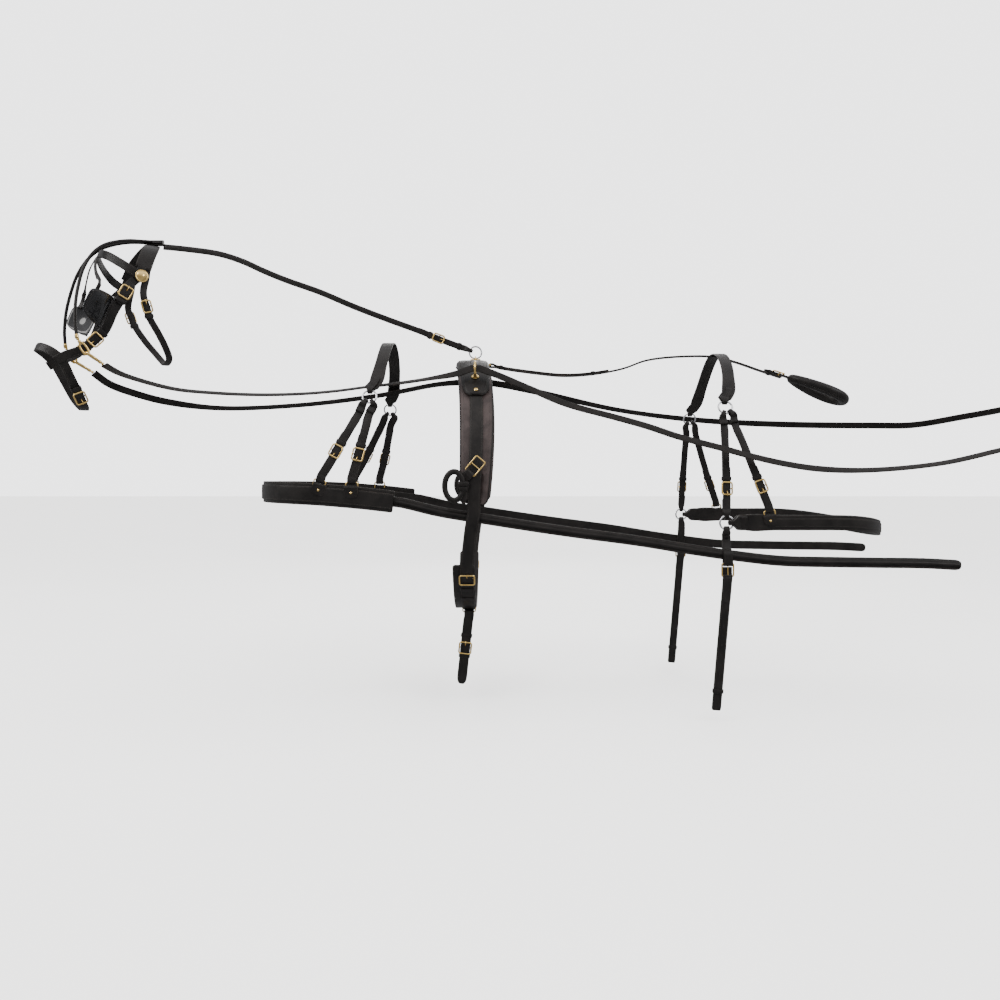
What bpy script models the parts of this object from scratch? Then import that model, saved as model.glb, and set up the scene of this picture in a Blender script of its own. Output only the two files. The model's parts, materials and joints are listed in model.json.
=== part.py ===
"""Driving harness for one horse, built as it hangs when worn, with every piece its own solid.

Frame: metres, +Z up, +X toward the tail and -Y the near side. The origin is the point of the
horse's back that the saddle's gullet rests on.
"""
import math

import bpy
import numpy as np
from mathutils import Matrix, Vector

# Running clearance between pieces, and how far fused pieces bite into each other
GAP = 0.0003
BITE = 0.0012

# Leather: thickness and width of each kind of strap
STRAP_THICK = 0.0042
THIN_THICK = 0.0030
PAD_THICK = 0.0160
BODY_THICK = 0.0090
TRACE_THICK = 0.0080
CHEEK_WIDTH = 0.0240
CROWN_WIDTH = 0.0420
THROAT_WIDTH = 0.0190
NOSE_WIDTH = 0.0230
CHECK_WIDTH = 0.0170
REIN_WIDTH = 0.0240
REIN_THICK = 0.0032
COLLAR_WIDTH = 0.0580
NECK_WIDTH = 0.0340
FORK_WIDTH = 0.0230
TRACE_WIDTH = 0.0270
BAND_WIDTH = 0.0340
GIRTH_WIDTH = 0.0600
HIP_WIDTH = 0.0330
HIP_FORK_WIDTH = 0.0200
BREECHING_WIDTH = 0.0400
HOLDBACK_WIDTH = 0.0240
BACK_STRAP_WIDTH = 0.0200
ROLL_RADIUS = 0.0045
DOCK_RADIUS = 0.0150
TUG_ROLL_RADIUS = 0.0075

# Metal: wires and rings
WIRE = 0.0019
RING_WIRE = 0.0024
RING_RADIUS = 0.0185
BREECHING_RING_RADIUS = 0.0175
TERRET_WIRE = 0.0030
TERRET_RADIUS = 0.0190
SADDLE_RING_RADIUS = 0.0175
BUCKLE_LENGTH = 0.0320
BUCKLE_CORNER = 0.0050
BUCKLE_CLEAR = 0.0010
TONGUE_RADIUS = 0.0011
EYE_WIDTH = 0.0130
EYE_TAIL = 0.0300
EYE_EASE = 0.0120

# The horse's trunk: the saddle section, and where the collar, neck strap and breeching lie
BARREL_HALF = 0.2620
BARREL_DROP = 0.3540
BELLY_DROP = 0.3160
CHEST_REACH = 0.5950
CHEST_ROUND = 0.1600
CHEST_HALF = 0.2500
COLLAR_END = 0.2020
COLLAR_DROP = 0.3370
COLLAR_FALL = 0.0250
NECK_REACH = 0.2450
NECK_RISE = 0.0890
NECK_DROP = 0.4100
NECK_RING_ANGLE = math.radians(55)
NECK_LEAN = 0.1490
CROUP_REACH = 0.7070
CROUP_RISE = 0.0540
CROUP_HALF = 0.2620
CROUP_DROP = 0.4400
CROUP_LEAN = 0.2030
HIP_RING_ANGLE = math.radians(52)
RUMP_REACH = 1.1450
RUMP_ROUND = 0.2000
RUMP_HALF = 0.2640
BREECHING_DROP = 0.4160
BREECHING_SAG = 0.0280

# The horse's head, turned to the near side
POLL_REACH = 0.9460
POLL_RISE = 0.3810
HEAD_LENGTH = 0.5800
HEAD_WIDTH = 0.2000
HEAD_TURN = math.radians(35)

# Traces, reins and straps that hang
TRACE_LENGTH = 1.4670
TRACE_DROP = 0.1630
TRACE_BULGE = 0.0160
HOLDBACK_LENGTH = 0.3480
HANGING_LENGTH = 0.2050

# Fineness of the smooth runs
STEP = 0.0550
FINE_STEP = 0.0320
DENSE_COUNT = 24

BAR_SHARE = 0.9
SLOT_SHARE = 0.36
SLOT_PLACE_SHARE = 0.15
BUCKLE_SET = 0.0134
RING_PLAY = 0.0007
FOLD_STEPS = 5
ROSETTE_RADIUS = 0.0175
BLINKER_THICK = 0.0060
BLINKER_CROWN = 0.0100
BLINKER_ROUND_SHARE = 0.22
STAY_WIDTH = 0.0120
GIRTH_THICK = 0.0060
GIRTH_ANGLE = math.radians(56)
GIRTH_REACH = 0.0210
BAND_BUCKLE_ANGLE = math.radians(49)
BAND_LEAN = 0.0150
BAND_PLACE = 0.0120
TRACE_CROSS_DROP = 0.4020
FORK_EYE_WIDTH = 0.0100
FORKS = (("front", 0.3940, 0.36, math.radians(36)), ("rear", 0.3120, 0.34, math.radians(-26)))
FORK_DEE_TURN = math.radians(16)
BRACE_DEE_TURN = math.radians(8)
HIP_FORK_TURN = math.radians(20)
HIP_BRACE_TURN = math.radians(40)
STATIONS = tuple(math.radians(a) for a in (0, 12, 22, 32, 42, 52, 62, 72, 82, 92))
SEAT_STATIONS = STATIONS[:5]
BELLY_STATIONS = tuple(BAND_BUCKLE_ANGLE * i / 4 for i in range(5))
TUG_REACH = 0.0425
TUG_CENTRE_DROP = 0.3205
TUG_HALF_WIDTH = 0.0240
TUG_HALF_HEIGHT = 0.0370
TUG_TILT = math.radians(50)
TUG_BUCKLE_REACH = 0.0123
TUG_BUCKLE_DROP = 0.2690
TUG_BUCKLE_LENGTH = 0.0460
TUG_EYE_WIDTH = 0.0240
HANGING_LEAN = 0.0220
LINK_SHARES = (0.315, 0.500, -0.593)
JOIN_REACH = 0.9064
JOIN_RISE = 0.3862
STAY_PLACE_SHARE = 0.72
SADDLE_PLACE = 0.0060
SADDLE_BULGE = 0.0200
SADDLE_WIDTH = 0.0920
SKIRT_WIDTH = 0.0720
SEAT_THICK = 0.0220
SEAT_TAPER_SHARE = 0.36
SEAT_ANGLE = math.radians(42)
TERRET_ANGLE = math.radians(30)
HOOK_REACH = 0.0045
HOOK_PLATE = 0.0030
HOOK_LENGTH = 0.0300
HANGING_WIDTH = 0.0280
CRUPPER_END = 0.9350
BACK_TAIL = 0.3300
DOCK_LENGTH = 0.1600
DOCK_SINK = 0.0140
DOCK_HALF = 0.0450
HIP_FORK_SHARE = 0.26
HIP_BRACE_SHARE = 0.24
BREECHING_REACH = 0.6640
BRACE_REACH = 0.7760
CARRIER_EASE = 0.0060
HOLDBACK_LEAN = 0.0300
REIN_STEP = 0.0700
CHECK_TAIL = 0.1300
SNAP_WIRE = 0.0018
SNAP_HALF = 0.0075

LEATHER = ((0.022, 0.020, 0.019, 1), 0.45, 0.0)
PANEL_LEATHER = ((0.055, 0.040, 0.038, 1), 0.60, 0.0)
PATENT = ((0.010, 0.010, 0.011, 1), 0.12, 0.0)
BRASS = ((0.800, 0.600, 0.280, 1), 0.22, 1.0)
STEEL = ((0.720, 0.720, 0.740, 1), 0.18, 1.0)

NEAR = -1.0
FAR = 1.0
SIDES = (("near", NEAR), ("far", FAR))

ALONG = Vector((1, 0, 0))
LATERAL = Vector((0, 1, 0))
UP = Vector((0, 0, 1))


# Scene and collections

for old in list(bpy.data.objects):
    bpy.data.objects.remove(old, do_unlink=True)

PARTS = bpy.data.collections.new("driving_harness")
TOOLS = bpy.data.collections.new("cutters")
for group in (PARTS, TOOLS):
    bpy.context.scene.collection.children.link(group)


def finish_of(name, finish):
    """A Principled material of its own for one piece."""
    colour, rough, metal = finish
    material = bpy.data.materials.new(name)
    material.use_nodes = True
    shader = material.node_tree.nodes["Principled BSDF"]
    shader.inputs["Base Color"].default_value = colour
    shader.inputs["Roughness"].default_value = rough
    shader.inputs["Metallic"].default_value = metal
    material.diffuse_color = colour
    return material


def place(name, data, finish=None, tool=False):
    """An object in the harness, or a hidden tool that is joined to or cut from another."""
    made = bpy.data.objects.new(name, data)
    (TOOLS if tool else PARTS).objects.link(made)
    if tool:
        made.hide_render = True
        made.display_type = "WIRE"
    if finish and not data.materials:
        data.materials.append(finish_of(name, finish))
    return made


def as_mesh(made, name, finish=None, tool=False):
    """The evaluated object as a plain mesh object; the old one is removed."""
    bpy.context.view_layer.update()
    seen = made.evaluated_get(bpy.context.evaluated_depsgraph_get())
    data = bpy.data.meshes.new_from_object(seen)
    data.transform(made.matrix_world)
    old = made.data
    bpy.data.objects.remove(made, do_unlink=True)
    if isinstance(old, bpy.types.Curve):
        bpy.data.curves.remove(old)
        weld(data)
    data.name = name
    return place(name, data, finish, tool)


def weld(data):
    """Merges the loose caps of a curve's mesh."""
    import bmesh
    body = bmesh.new()
    body.from_mesh(data)
    bmesh.ops.remove_doubles(body, verts=body.verts, dist=BITE / DENSE_COUNT / DENSE_COUNT)
    body.to_mesh(data)
    body.free()


def boolean(target, tool, operation):
    """One live Boolean on a piece."""
    cut = target.modifiers.new(operation.lower(), "BOOLEAN")
    cut.operation = operation
    cut.object = tool
    cut.solver = "EXACT"
    return cut


def fuse(target, *tools):
    for tool in tools:
        boolean(target, tool, "UNION")


# Curves and straps

def unit(values):
    return Vector(values).normalized()


def smooth(rows, step):
    """Evenly spaced rows on a smooth curve through the given ones; a row starts with its point."""
    rows = np.asarray(rows, float)
    ends = [2 * rows[0] - rows[1]], [2 * rows[-1] - rows[-2]]
    rows = np.vstack([ends[0], rows, ends[1]])
    chords = np.linalg.norm(np.diff(rows[:, :3], axis=0), axis=1)
    knots = np.concatenate([[0], np.cumsum(np.sqrt(chords))])
    dense = []
    for i in range(1, len(rows) - 2):
        t0, t1, t2, t3 = knots[i - 1:i + 3]
        p0, p1, p2, p3 = rows[i - 1:i + 3]
        for t in np.linspace(t1, t2, DENSE_COUNT, endpoint=False):
            a1 = (t1 - t) / (t1 - t0) * p0 + (t - t0) / (t1 - t0) * p1
            a2 = (t2 - t) / (t2 - t1) * p1 + (t - t1) / (t2 - t1) * p2
            a3 = (t3 - t) / (t3 - t2) * p2 + (t - t2) / (t3 - t2) * p3
            b1 = (t2 - t) / (t2 - t0) * a1 + (t - t0) / (t2 - t0) * a2
            b2 = (t3 - t) / (t3 - t1) * a2 + (t - t1) / (t3 - t1) * a3
            dense.append((t2 - t) / (t2 - t1) * b1 + (t - t1) / (t2 - t1) * b2)
    dense = np.array(dense + [rows[-2]])
    run = np.concatenate([[0], np.cumsum(np.linalg.norm(np.diff(dense[:, :3], axis=0), axis=1))])
    count = max(3, int(round(run[-1] / step)) + 1)
    at = np.linspace(0, run[-1], count)
    return np.column_stack([np.interp(at, run, dense[:, k]) for k in range(dense.shape[1])])


def row(point, outward, width):
    return (*point, *Vector(outward).normalized(), width)


def strap(name, rows, thick, finish, tool=False):
    """A flat strap: an open ribbon through the rows, given its thickness by Solidify.

    Each row is a point on the strap's middle layer, the way its face looks, and its width.
    """
    rows = np.asarray(rows, float)
    points = rows[:, :3]
    heading = np.gradient(points, axis=0)
    across = np.cross(heading, rows[:, 3:6])
    across /= np.linalg.norm(across, axis=1)[:, None]
    half = across * rows[:, 6:7] / 2
    verts = [tuple(p) for pair in zip(points - half, points + half) for p in pair]
    faces = [(2 * i, 2 * i + 1, 2 * i + 3, 2 * i + 2) for i in range(len(points) - 1)]
    data = bpy.data.meshes.new(name)
    data.from_pydata(verts, [], faces)
    made = place(name, data, finish, tool)
    wall = made.modifiers.new("thickness", "SOLIDIFY")
    wall.thickness = thick
    wall.offset = 0
    wall.use_even_offset = True
    return made


def tube(name, points, radius, finish, tool=False, closed=False, fine=1, swell=None):
    """A round wire or rolled strap through the points."""
    data = bpy.data.curves.new(name, "CURVE")
    data.dimensions = "3D"
    data.bevel_depth = radius
    data.bevel_resolution = fine
    data.use_fill_caps = not closed
    data.twist_mode = "MINIMUM"
    line = data.splines.new("POLY")
    line.points.add(len(points) - 1)
    line.use_cyclic_u = closed
    for i, point in enumerate(points):
        line.points[i].co = (*point, 1)
        line.points[i].radius = swell[i] if swell else 1
    return as_mesh(place(name, data), name, finish, tool)


def ring(name, centre, axis, radius, wire, finish, tool=False, count=16, sides=6):
    """A round ring about an axis."""
    bpy.ops.mesh.primitive_torus_add(major_segments=count, minor_segments=sides,
                                     major_radius=radius, minor_radius=wire)
    made = bpy.context.object
    turned = Vector(axis).to_track_quat("Z", "Y").to_matrix().to_4x4()
    made.data.transform(turned)
    for owner in list(made.users_collection):
        owner.objects.unlink(made)
    (TOOLS if tool else PARTS).objects.link(made)
    made.name = name
    made.location = centre
    if tool:
        made.hide_render = True
        made.display_type = "WIRE"
    made.data.materials.append(finish_of(name, finish))
    made.data.shade_smooth()
    return made


def box(name, centre, axes, sizes, finish=None, tool=False):
    """A block whose three axes and sizes are given."""
    bpy.ops.mesh.primitive_cube_add(size=1)
    made = bpy.context.object
    columns = [Vector(axis).normalized() * size for axis, size in zip(axes, sizes)]
    turn = Matrix([[columns[c][r] for c in range(3)] for r in range(3)]).to_4x4()
    made.data.transform(turn)
    if turn.determinant() < 0:
        made.data.flip_normals()
    made.location = centre
    for owner in list(made.users_collection):
        owner.objects.unlink(made)
    (TOOLS if tool else PARTS).objects.link(made)
    made.name = name
    if tool:
        made.hide_render = True
        made.display_type = "WIRE"
    if finish:
        made.data.materials.append(finish_of(name, finish))
    return made


def fold(rows, wire, ring_radius, thick, tail, lifted, width):
    """Rows that turn a strap's last row round a wire and lay it back over itself.

    The last row passes just inside the wire; the turned tail follows the strap, lifted above it.
    """
    rows = np.asarray(rows, float)
    low, outward = Vector(rows[-1, :3]), Vector(rows[-1, 3:6]).normalized()
    heading = Vector(rows[-1, :3] - rows[-2, :3])
    heading = (heading - outward * heading.dot(outward)).normalized()
    radius = turn_radius(wire, ring_radius, thick, rows[-1, 6])
    centre = low + outward * radius
    turned = []
    for i in range(1, FOLD_STEPS + 1):
        turn = math.pi * i / FOLD_STEPS
        point = centre + radius * (-outward * math.cos(turn) + heading * math.sin(turn))
        turned.append(row(point, outward * math.cos(turn) - heading * math.sin(turn), rows[-1, 6]))
    back = rows[::-1]
    run = np.concatenate([[0], np.cumsum(np.linalg.norm(np.diff(back[:, :3], axis=0), axis=1))])
    steps = max(1, int(math.ceil(tail / STEP)))
    laid = radius + EYE_EASE
    for at in [radius, laid] + [laid + tail * (i + 1) / steps for i in range(steps)]:
        seat = np.array([np.interp(at, run, back[:, k]) for k in range(7)])
        out = Vector(seat[3:6]).normalized()
        level, wide = (lifted, width) if at > radius else (2 * radius, seat[6])
        turned.append(row(Vector(seat[:3]) + out * level, -out, wide))
    return turned


def bow_of(ring_radius, width):
    """How far a ring's wire bows away from straight across a strap of that width."""
    if not ring_radius:
        return 0.0
    return ring_radius - math.sqrt(max(ring_radius ** 2 - (width / 2) ** 2, 0))


def turn_radius(wire, ring_radius, thick, width):
    """Radius of a strap's middle layer where it turns round a wire."""
    clear = wire + bow_of(ring_radius, width) / 2 + GAP / 2 + thick / 2 + (RING_PLAY if ring_radius else 0)
    return clear / math.cos(math.pi / (2 * FOLD_STEPS))


def seat_of(wire_point, heading, outward, wire, ring_radius, thick, width):
    """The last two rows of a strap that is to turn round a wire at that point: lead and seat."""
    heading, outward = unit(heading), unit(outward)
    heading = (heading - outward * heading.dot(outward)).normalized()
    radius = turn_radius(wire, ring_radius, thick, width)
    seat = Vector(wire_point) - outward * radius + heading * (bow_of(ring_radius, width) / 2)
    return row(seat - heading * EYE_EASE, outward, width), row(seat, outward, width)


def wire_lift(wire, ring_radius, thick, width=None):
    """How high a wire lies over the skin when a strap on the skin turns round it."""
    return turn_radius(wire, ring_radius, thick, width or EYE_WIDTH) + thick / 2


# Buckles

BUCKLES = {}


def bar_rise():
    """How far a buckle's bar stands out of the strap that it is sewn to."""
    return 2 * WIRE - BITE


def billet_level(thick=STRAP_THICK):
    """Height of a billet's middle over the middle of the strap that carries the buckle."""
    return thick + bar_rise() + GAP


def buckle_shape(width, layer):
    """A full harness buckle for one strap width: frame, centre bar and tongue in one piece.

    Its own frame is X along the strap, Y across and Z out, from the strap's outer face at the bar.
    """
    key = (round(width, 5), round(layer, 5))
    if key in BUCKLES:
        return BUCKLES[key]
    half_w = width / 2 + BUCKLE_CLEAR + WIRE
    half_l = BUCKLE_LENGTH / 2
    top = bar_rise() + layer + 2 * GAP + WIRE
    bar = WIRE - BITE
    inner_w, inner_l = half_w - BUCKLE_CORNER, half_l - BUCKLE_CORNER
    loop = []
    for sx, sy in ((1, 1), (-1, 1), (-1, -1), (1, -1)):
        pair = [(sx * half_l, sy * inner_w, top), (sx * inner_l, sy * half_w, top)]
        loop += pair if sx * sy > 0 else pair[::-1]
    frame = tube("buckle_frame", loop, WIRE, BRASS, True, closed=True, fine=0)
    bent = [(0, -half_w, top), (0, -half_w, bar), (0, half_w, bar), (0, half_w, top)]
    across = tube("buckle_bar", bent, WIRE * BAR_SHARE, BRASS, True, fine=0)
    over = top + WIRE + TONGUE_RADIUS - BITE / 2
    pin = [(0, 0, bar), (half_l * 0.30, 0, (bar + over) / 2), (half_l * 0.62, 0, over),
           (half_l + WIRE, 0, over)]
    tongue = tube("buckle_tongue", pin, TONGUE_RADIUS, BRASS, True, fine=0)
    fuse(frame, across, tongue)
    solid = as_mesh(frame, "buckle", BRASS, True)
    BUCKLES[key] = solid.data
    for spare in (solid, across, tongue):
        bpy.data.objects.remove(spare, do_unlink=True)
    return BUCKLES[key]


def frame_at(origin, along, outward):
    """The matrix of a local frame: X along, Y across, Z outward."""
    along = unit(along)
    across = unit(Vector(outward).cross(along))
    turn = Matrix((along, across, along.cross(across))).transposed().to_4x4()
    turn.translation = Vector(origin)
    return turn


def buckle(name, origin, along, outward, width, layer=STRAP_THICK, tool=True):
    """A buckle on a strap's outer face; a billet of that thickness runs under its frame."""
    made = place(name, buckle_shape(width, layer), BRASS, tool)
    made.matrix_world = frame_at(origin, along, outward)
    return made


def tongue_slot(name, origin, along, outward, layer=STRAP_THICK):
    """The slot that a buckle's tongue needs through the billet above its bar."""
    length = BUCKLE_LENGTH * SLOT_SHARE
    deep = layer + 2 * TONGUE_RADIUS
    middle = bar_rise() + GAP + layer / 2
    centre = Vector(origin) + unit(along) * (BUCKLE_LENGTH * SLOT_PLACE_SHARE) + unit(outward) * middle
    across = unit(outward).cross(unit(along))
    return box(name, centre, (along, across, outward),
               (length, 2 * (TONGUE_RADIUS + 2 * GAP), deep), None, True)


def fit_buckle(name, carrier, billet, origin, along, outward, width):
    """A buckle fused to the strap that carries it, and its slot in the billet."""
    boolean(billet, tongue_slot(f"{name}_slot", origin, along, outward), "DIFFERENCE")
    fuse(carrier, buckle(name, origin, along, outward, width))


# The horse's trunk and head, as the surfaces that the straps lie on

def section(reach, rise, half, drop, lean=0.0):
    """Half an elliptic section of the trunk: angle 0 is on the back, 90 degrees on the side."""
    def at(angle, side=NEAR, lift=0.0):
        fall = 1 - math.cos(angle)
        outward = Vector((0, side * abs(drop) * math.sin(angle), math.copysign(half, drop) * math.cos(angle)))
        outward.normalize()
        point = Vector((reach + lean * fall ** 2, side * half * math.sin(angle), rise - drop * fall))
        return point + outward * lift, outward
    return at


BARREL = section(0, 0, BARREL_HALF, BARREL_DROP)
BELLY = section(0, -BARREL_DROP - BELLY_DROP, BARREL_HALF, -BELLY_DROP)
NECK = section(-NECK_REACH, NECK_RISE, CHEST_HALF, NECK_DROP, -NECK_LEAN)
CROUP = section(CROUP_REACH, CROUP_RISE, CROUP_HALF, CROUP_DROP, -CROUP_LEAN)

HEAD_ORIGIN = Vector((-POLL_REACH, 0, POLL_RISE))
HEAD_FORWARD = Vector((-math.cos(HEAD_TURN), -math.sin(HEAD_TURN), 0))
HEAD_FAR = Vector((-math.sin(HEAD_TURN), math.cos(HEAD_TURN), 0))


def head_vector(forward, far, up):
    return HEAD_FORWARD * forward + HEAD_FAR * far + UP * up


def head(forward_share, side_share, up_share, side=NEAR):
    """A place on the head, as shares of its length forward and up and of its width sideways."""
    return HEAD_ORIGIN + head_vector(forward_share * HEAD_LENGTH, side * side_share * HEAD_WIDTH,
                                     up_share * HEAD_LENGTH)


def head_rows(table, side, width, lift):
    """Rows along the head from a table of places, the way each faces, and its layer if not on the skin."""
    rows = []
    for entry in table:
        layer = entry[2] if len(entry) > 2 else 0
        faces = entry[1]
        outward = head_vector(faces[0], side * faces[1], faces[2]).normalized()
        point = head(*entry[0], side) + outward * (lift + layer * billet_level())
        rows.append(row(point, outward, width))
    return rows


def both_sides(table, width, lift):
    """Rows from the near end of a table over its last place, on the middle line, to the far end."""
    near = head_rows(table, NEAR, width, lift)
    far = head_rows(table[:-1], FAR, width, lift)
    return near + far[::-1]


def along_rows(rows, distance):
    """Point, heading and outward at a distance from a strap's last row."""
    back = np.asarray(rows, float)[::-1]
    run = np.concatenate([[0], np.cumsum(np.linalg.norm(np.diff(back[:, :3], axis=0), axis=1))])
    here = np.array([np.interp(distance, run, back[:, k]) for k in range(7)])
    ahead = np.array([np.interp(distance - EYE_EASE / 2, run, back[:, k]) for k in range(3)])
    behind = np.array([np.interp(distance + EYE_EASE / 2, run, back[:, k]) for k in range(3)])
    return Vector(here[:3]), Vector(ahead - behind).normalized(), Vector(here[3:6]).normalized()


# Bridle

# Each place: shares forward, sideways, up; the way the strap faces: forward, sideways, up;
# and 1 where the strap lies over another one's buckle bar
CROWN_SHARES = (((0.069, 0.475, -0.165), (0, 1, 0.05)), ((0.043, 0.415, -0.095), (0, 1, 0.5)),
                ((0.013, 0.260, -0.040), (0, 0.5, 1)), ((-0.007, 0, -0.014), (0, 0, 1)))
CHEEK_BILLET_SHARES = (((0.070, 0.474, -0.150), (0, 1, 0.1)), ((0.084, 0.480, -0.194), (0, 1, 0)),
                       ((0.104, 0.4845, -0.222), (0, 1, 0)), ((0.1299, 0.4925, -0.250), (0, 1, 0)),
                       ((0.1424, 0.4965, -0.274), (0, 1, 0), 0.85), ((0.1601, 0.494, -0.308), (0, 1, 0), 0.97),
                       ((0.1809, 0.487, -0.348), (0, 1, 0), 0.93))
THROAT_BILLET_SHARES = (((0.048, 0.465, -0.150), (0, 1, 0.1)), ((0.056, 0.470, -0.215), (0, 1, 0)),
                        ((0.066, 0.472, -0.262), (0, 1, 0)), ((0.0674, 0.4707, -0.302), (0, 1, 0), 0.85),
                        ((0.0521, 0.4547, -0.350), (0, 1, 0), 0.97), ((0.0362, 0.438, -0.400), (0, 1, -0.1), 0.93))
BROW_SHARES = (((0.072, 0.486, -0.222), (0, 1, 0)), ((0.095, 0.486, -0.197), (0.2, 1, 0)),
               ((0.130, 0.487, -0.175), (0.3, 1, 0.1)), ((0.165, 0.415, -0.145), (0.7, 0.8, 0.1)),
               ((0.205, 0.250, -0.108), (1, 0.3, 0.3)), ((0.226, 0, -0.088), (1, 0, 0.4)))
CHEEK_SHARES = (((0.1403, 0.4965, -0.270), (0, 1, 0)), ((0.149, 0.498, -0.2868), (0, 1, 0)),
                ((0.1559, 0.4955, -0.300), (0, 1, 0)), ((0.2015, 0.480, -0.3876), (0, 1, 0)), ((0.224, 0.445, -0.450), (0, 1, -0.1)),
                ((0.240, 0.4222, -0.4823), (0, 1, -0.1)), ((0.262, 0.4121, -0.5058), (0, 1, -0.1)),
                ((0.283, 0.4026, -0.5283), (0, 1, -0.1)), ((0.293, 0.398, -0.539), (0, 1, -0.1)))
BIT_STRAP_SHARES = (((0.244, 0.4204, -0.4866), (0, 1, -0.1), 0.92), ((0.258, 0.414, -0.5016), (0, 1, -0.1), 1),
                    ((0.283, 0.4026, -0.5283), (0, 1, -0.1), 1), ((0.306, 0.3921, -0.5529), (0, 1, -0.1), 0.85),
                    ((0.340, 0.368, -0.576), (0, 1, -0.1)), ((0.370, 0.344, -0.590), (0.1, 1, -0.1)),
                    ((0.402, 0.320, -0.606), (0.1, 1, 0), 0.5), ((0.440, 0.300, -0.632), (0.2, 1, 0), 0.5))
NOSE_SHARES = (((0.320, 0.160, -0.806), (0, 1, -0.3)), ((0.330, 0.190, -0.788), (0, 1, -0.25)),
               ((0.374, 0.262, -0.700), (0, 1, 0)), ((0.412, 0.305, -0.624), (0.1, 1, 0)),
               ((0.450, 0.260, -0.586), (0.6, 0.9, 0.1)), ((0.490, 0.130, -0.563), (1, 0.5, 0.3)),
               ((0.503, 0, -0.562), (1, 0, 0.4)))
JAW_SHARES = (((0.374, 0.262, -0.700), (0, 1, 0)), ((0.328, 0.185, -0.795), (0, 1, -0.3)),
              ((0.304, 0.090, -0.832), (-0.2, 0.5, -1)), ((0.300, 0, -0.840), (0, 0, -1)))
BILLET_SHARES = (((0.304, 0.090, -0.834), (-0.2, 0.5, -1)), ((0.316, 0.150, -0.815), (0, 1, -0.5), 1),
                 ((0.330, 0.190, -0.788), (0, 1, -0.25), 1), ((0.350, 0.230, -0.745), (0, 1, -0.1), 1))
THROAT_SHARES = (((0.061, 0.464, -0.322), (0, 1, 0)), ((0.0505, 0.453, -0.355), (0, 1, -0.05)),
                 ((0.040, 0.442, -0.388), (0, 1, -0.1)), ((-0.010, 0.400, -0.468), (-0.1, 1, -0.2)),
                 ((-0.048, 0.310, -0.524), (-0.1, 1, -0.4)), ((-0.076, 0.190, -0.572), (-0.2, 0.8, -0.8)),
                 ((-0.076, 0, -0.594), (0, 0, -1)))
CHECK_SHARES = ((0.358, 0.500, -0.525), (0.364, 0.470, -0.453), (0.360, 0.420, -0.364),
                (0.344, 0.340, -0.271), (0.315, 0.260, -0.172), (0.268, 0.190, -0.090),
                (0.218, 0.140, -0.044), (0.156, 0.100, -0.015), (0.095, 0.070, 0.002),
                (0.050, 0.050, 0.008), (0.000, 0.045, 0.013))
STAY_SHARES = (((0.268, 0.360, -0.198), (1, 0.3, 0.2)), ((0.262, 0.220, -0.148), (1, 0.3, 0.3)),
               ((0.250, 0.080, -0.114), (1, 0.1, 0.5)), ((0.248, 0, -0.108), (1, 0, 0.5)))
BLINKER_SHARES = ((0.198, 0.502, -0.317), (0.263, 0.464, -0.465), (0.353, 0.700, -0.411),
                  (0.307, 0.760, -0.291))


def bridle():
    """Crownpiece, browband with rosettes, cheek straps, throatlatch, noseband and bit straps."""
    lift = STRAP_THICK / 2
    over = STRAP_THICK * 3 / 2 + 2 * GAP
    crown = strap("crownpiece", smooth(both_sides(CROWN_SHARES, CROWN_WIDTH, lift), STEP),
                  STRAP_THICK, LEATHER)
    throat_rows = smooth(both_sides(THROAT_SHARES, THROAT_WIDTH, lift), STEP)
    throat = strap("throatlatch", throat_rows, STRAP_THICK, LEATHER)
    for label, side in SIDES:
        billets = {}
        for kind, table, width in (("cheek", CHEEK_BILLET_SHARES, CHEEK_WIDTH),
                                   ("throat", THROAT_BILLET_SHARES, THROAT_WIDTH)):
            rows = smooth(head_rows(table, side, width, lift), FINE_STEP / 2)
            billets[kind] = strap(f"{kind}_billet_{label}", rows, STRAP_THICK - BITE / 2, LEATHER, True)

        cheek_rows = smooth(head_rows(CHEEK_SHARES, side, CHEEK_WIDTH, lift), FINE_STEP)
        cheek = strap(f"cheek_strap_{label}", cheek_rows, STRAP_THICK, LEATHER)
        bit_rows = smooth(head_rows(BIT_STRAP_SHARES, side, CHEEK_WIDTH, lift), FINE_STEP / 2)
        bit = strap(f"bit_strap_{label}", bit_rows, STRAP_THICK, LEATHER)

        for kind, carrier, rows, billet, width in (
                ("cheek_buckle", cheek, cheek_rows[::-1], billets["cheek"], CHEEK_WIDTH),
                ("throat_buckle", throat, throat_rows[::1 if side == FAR else -1], billets["throat"],
                 THROAT_WIDTH),
                ("bit_buckle", cheek, cheek_rows, bit, CHEEK_WIDTH)):
            point, heading, outward = along_rows(rows, BUCKLE_SET)
            fit_buckle(f"{kind}_{label}", carrier, billet, point + outward * lift, heading, outward, width)
        fuse(crown, billets["cheek"], billets["throat"])

    brow = strap("browband", smooth(both_sides(BROW_SHARES, CHEEK_WIDTH, over), FINE_STEP),
                 STRAP_THICK, LEATHER)
    for label, side in SIDES:
        centre = head(0.078, 0.486, -0.203, side)
        outward = head_vector(0, side, 0)
        fuse(brow, rosette(f"rosette_{label}", centre + outward * (over + STRAP_THICK / 2 - BITE), outward))
    noseband()
    check_straps()
    blinkers()


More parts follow.
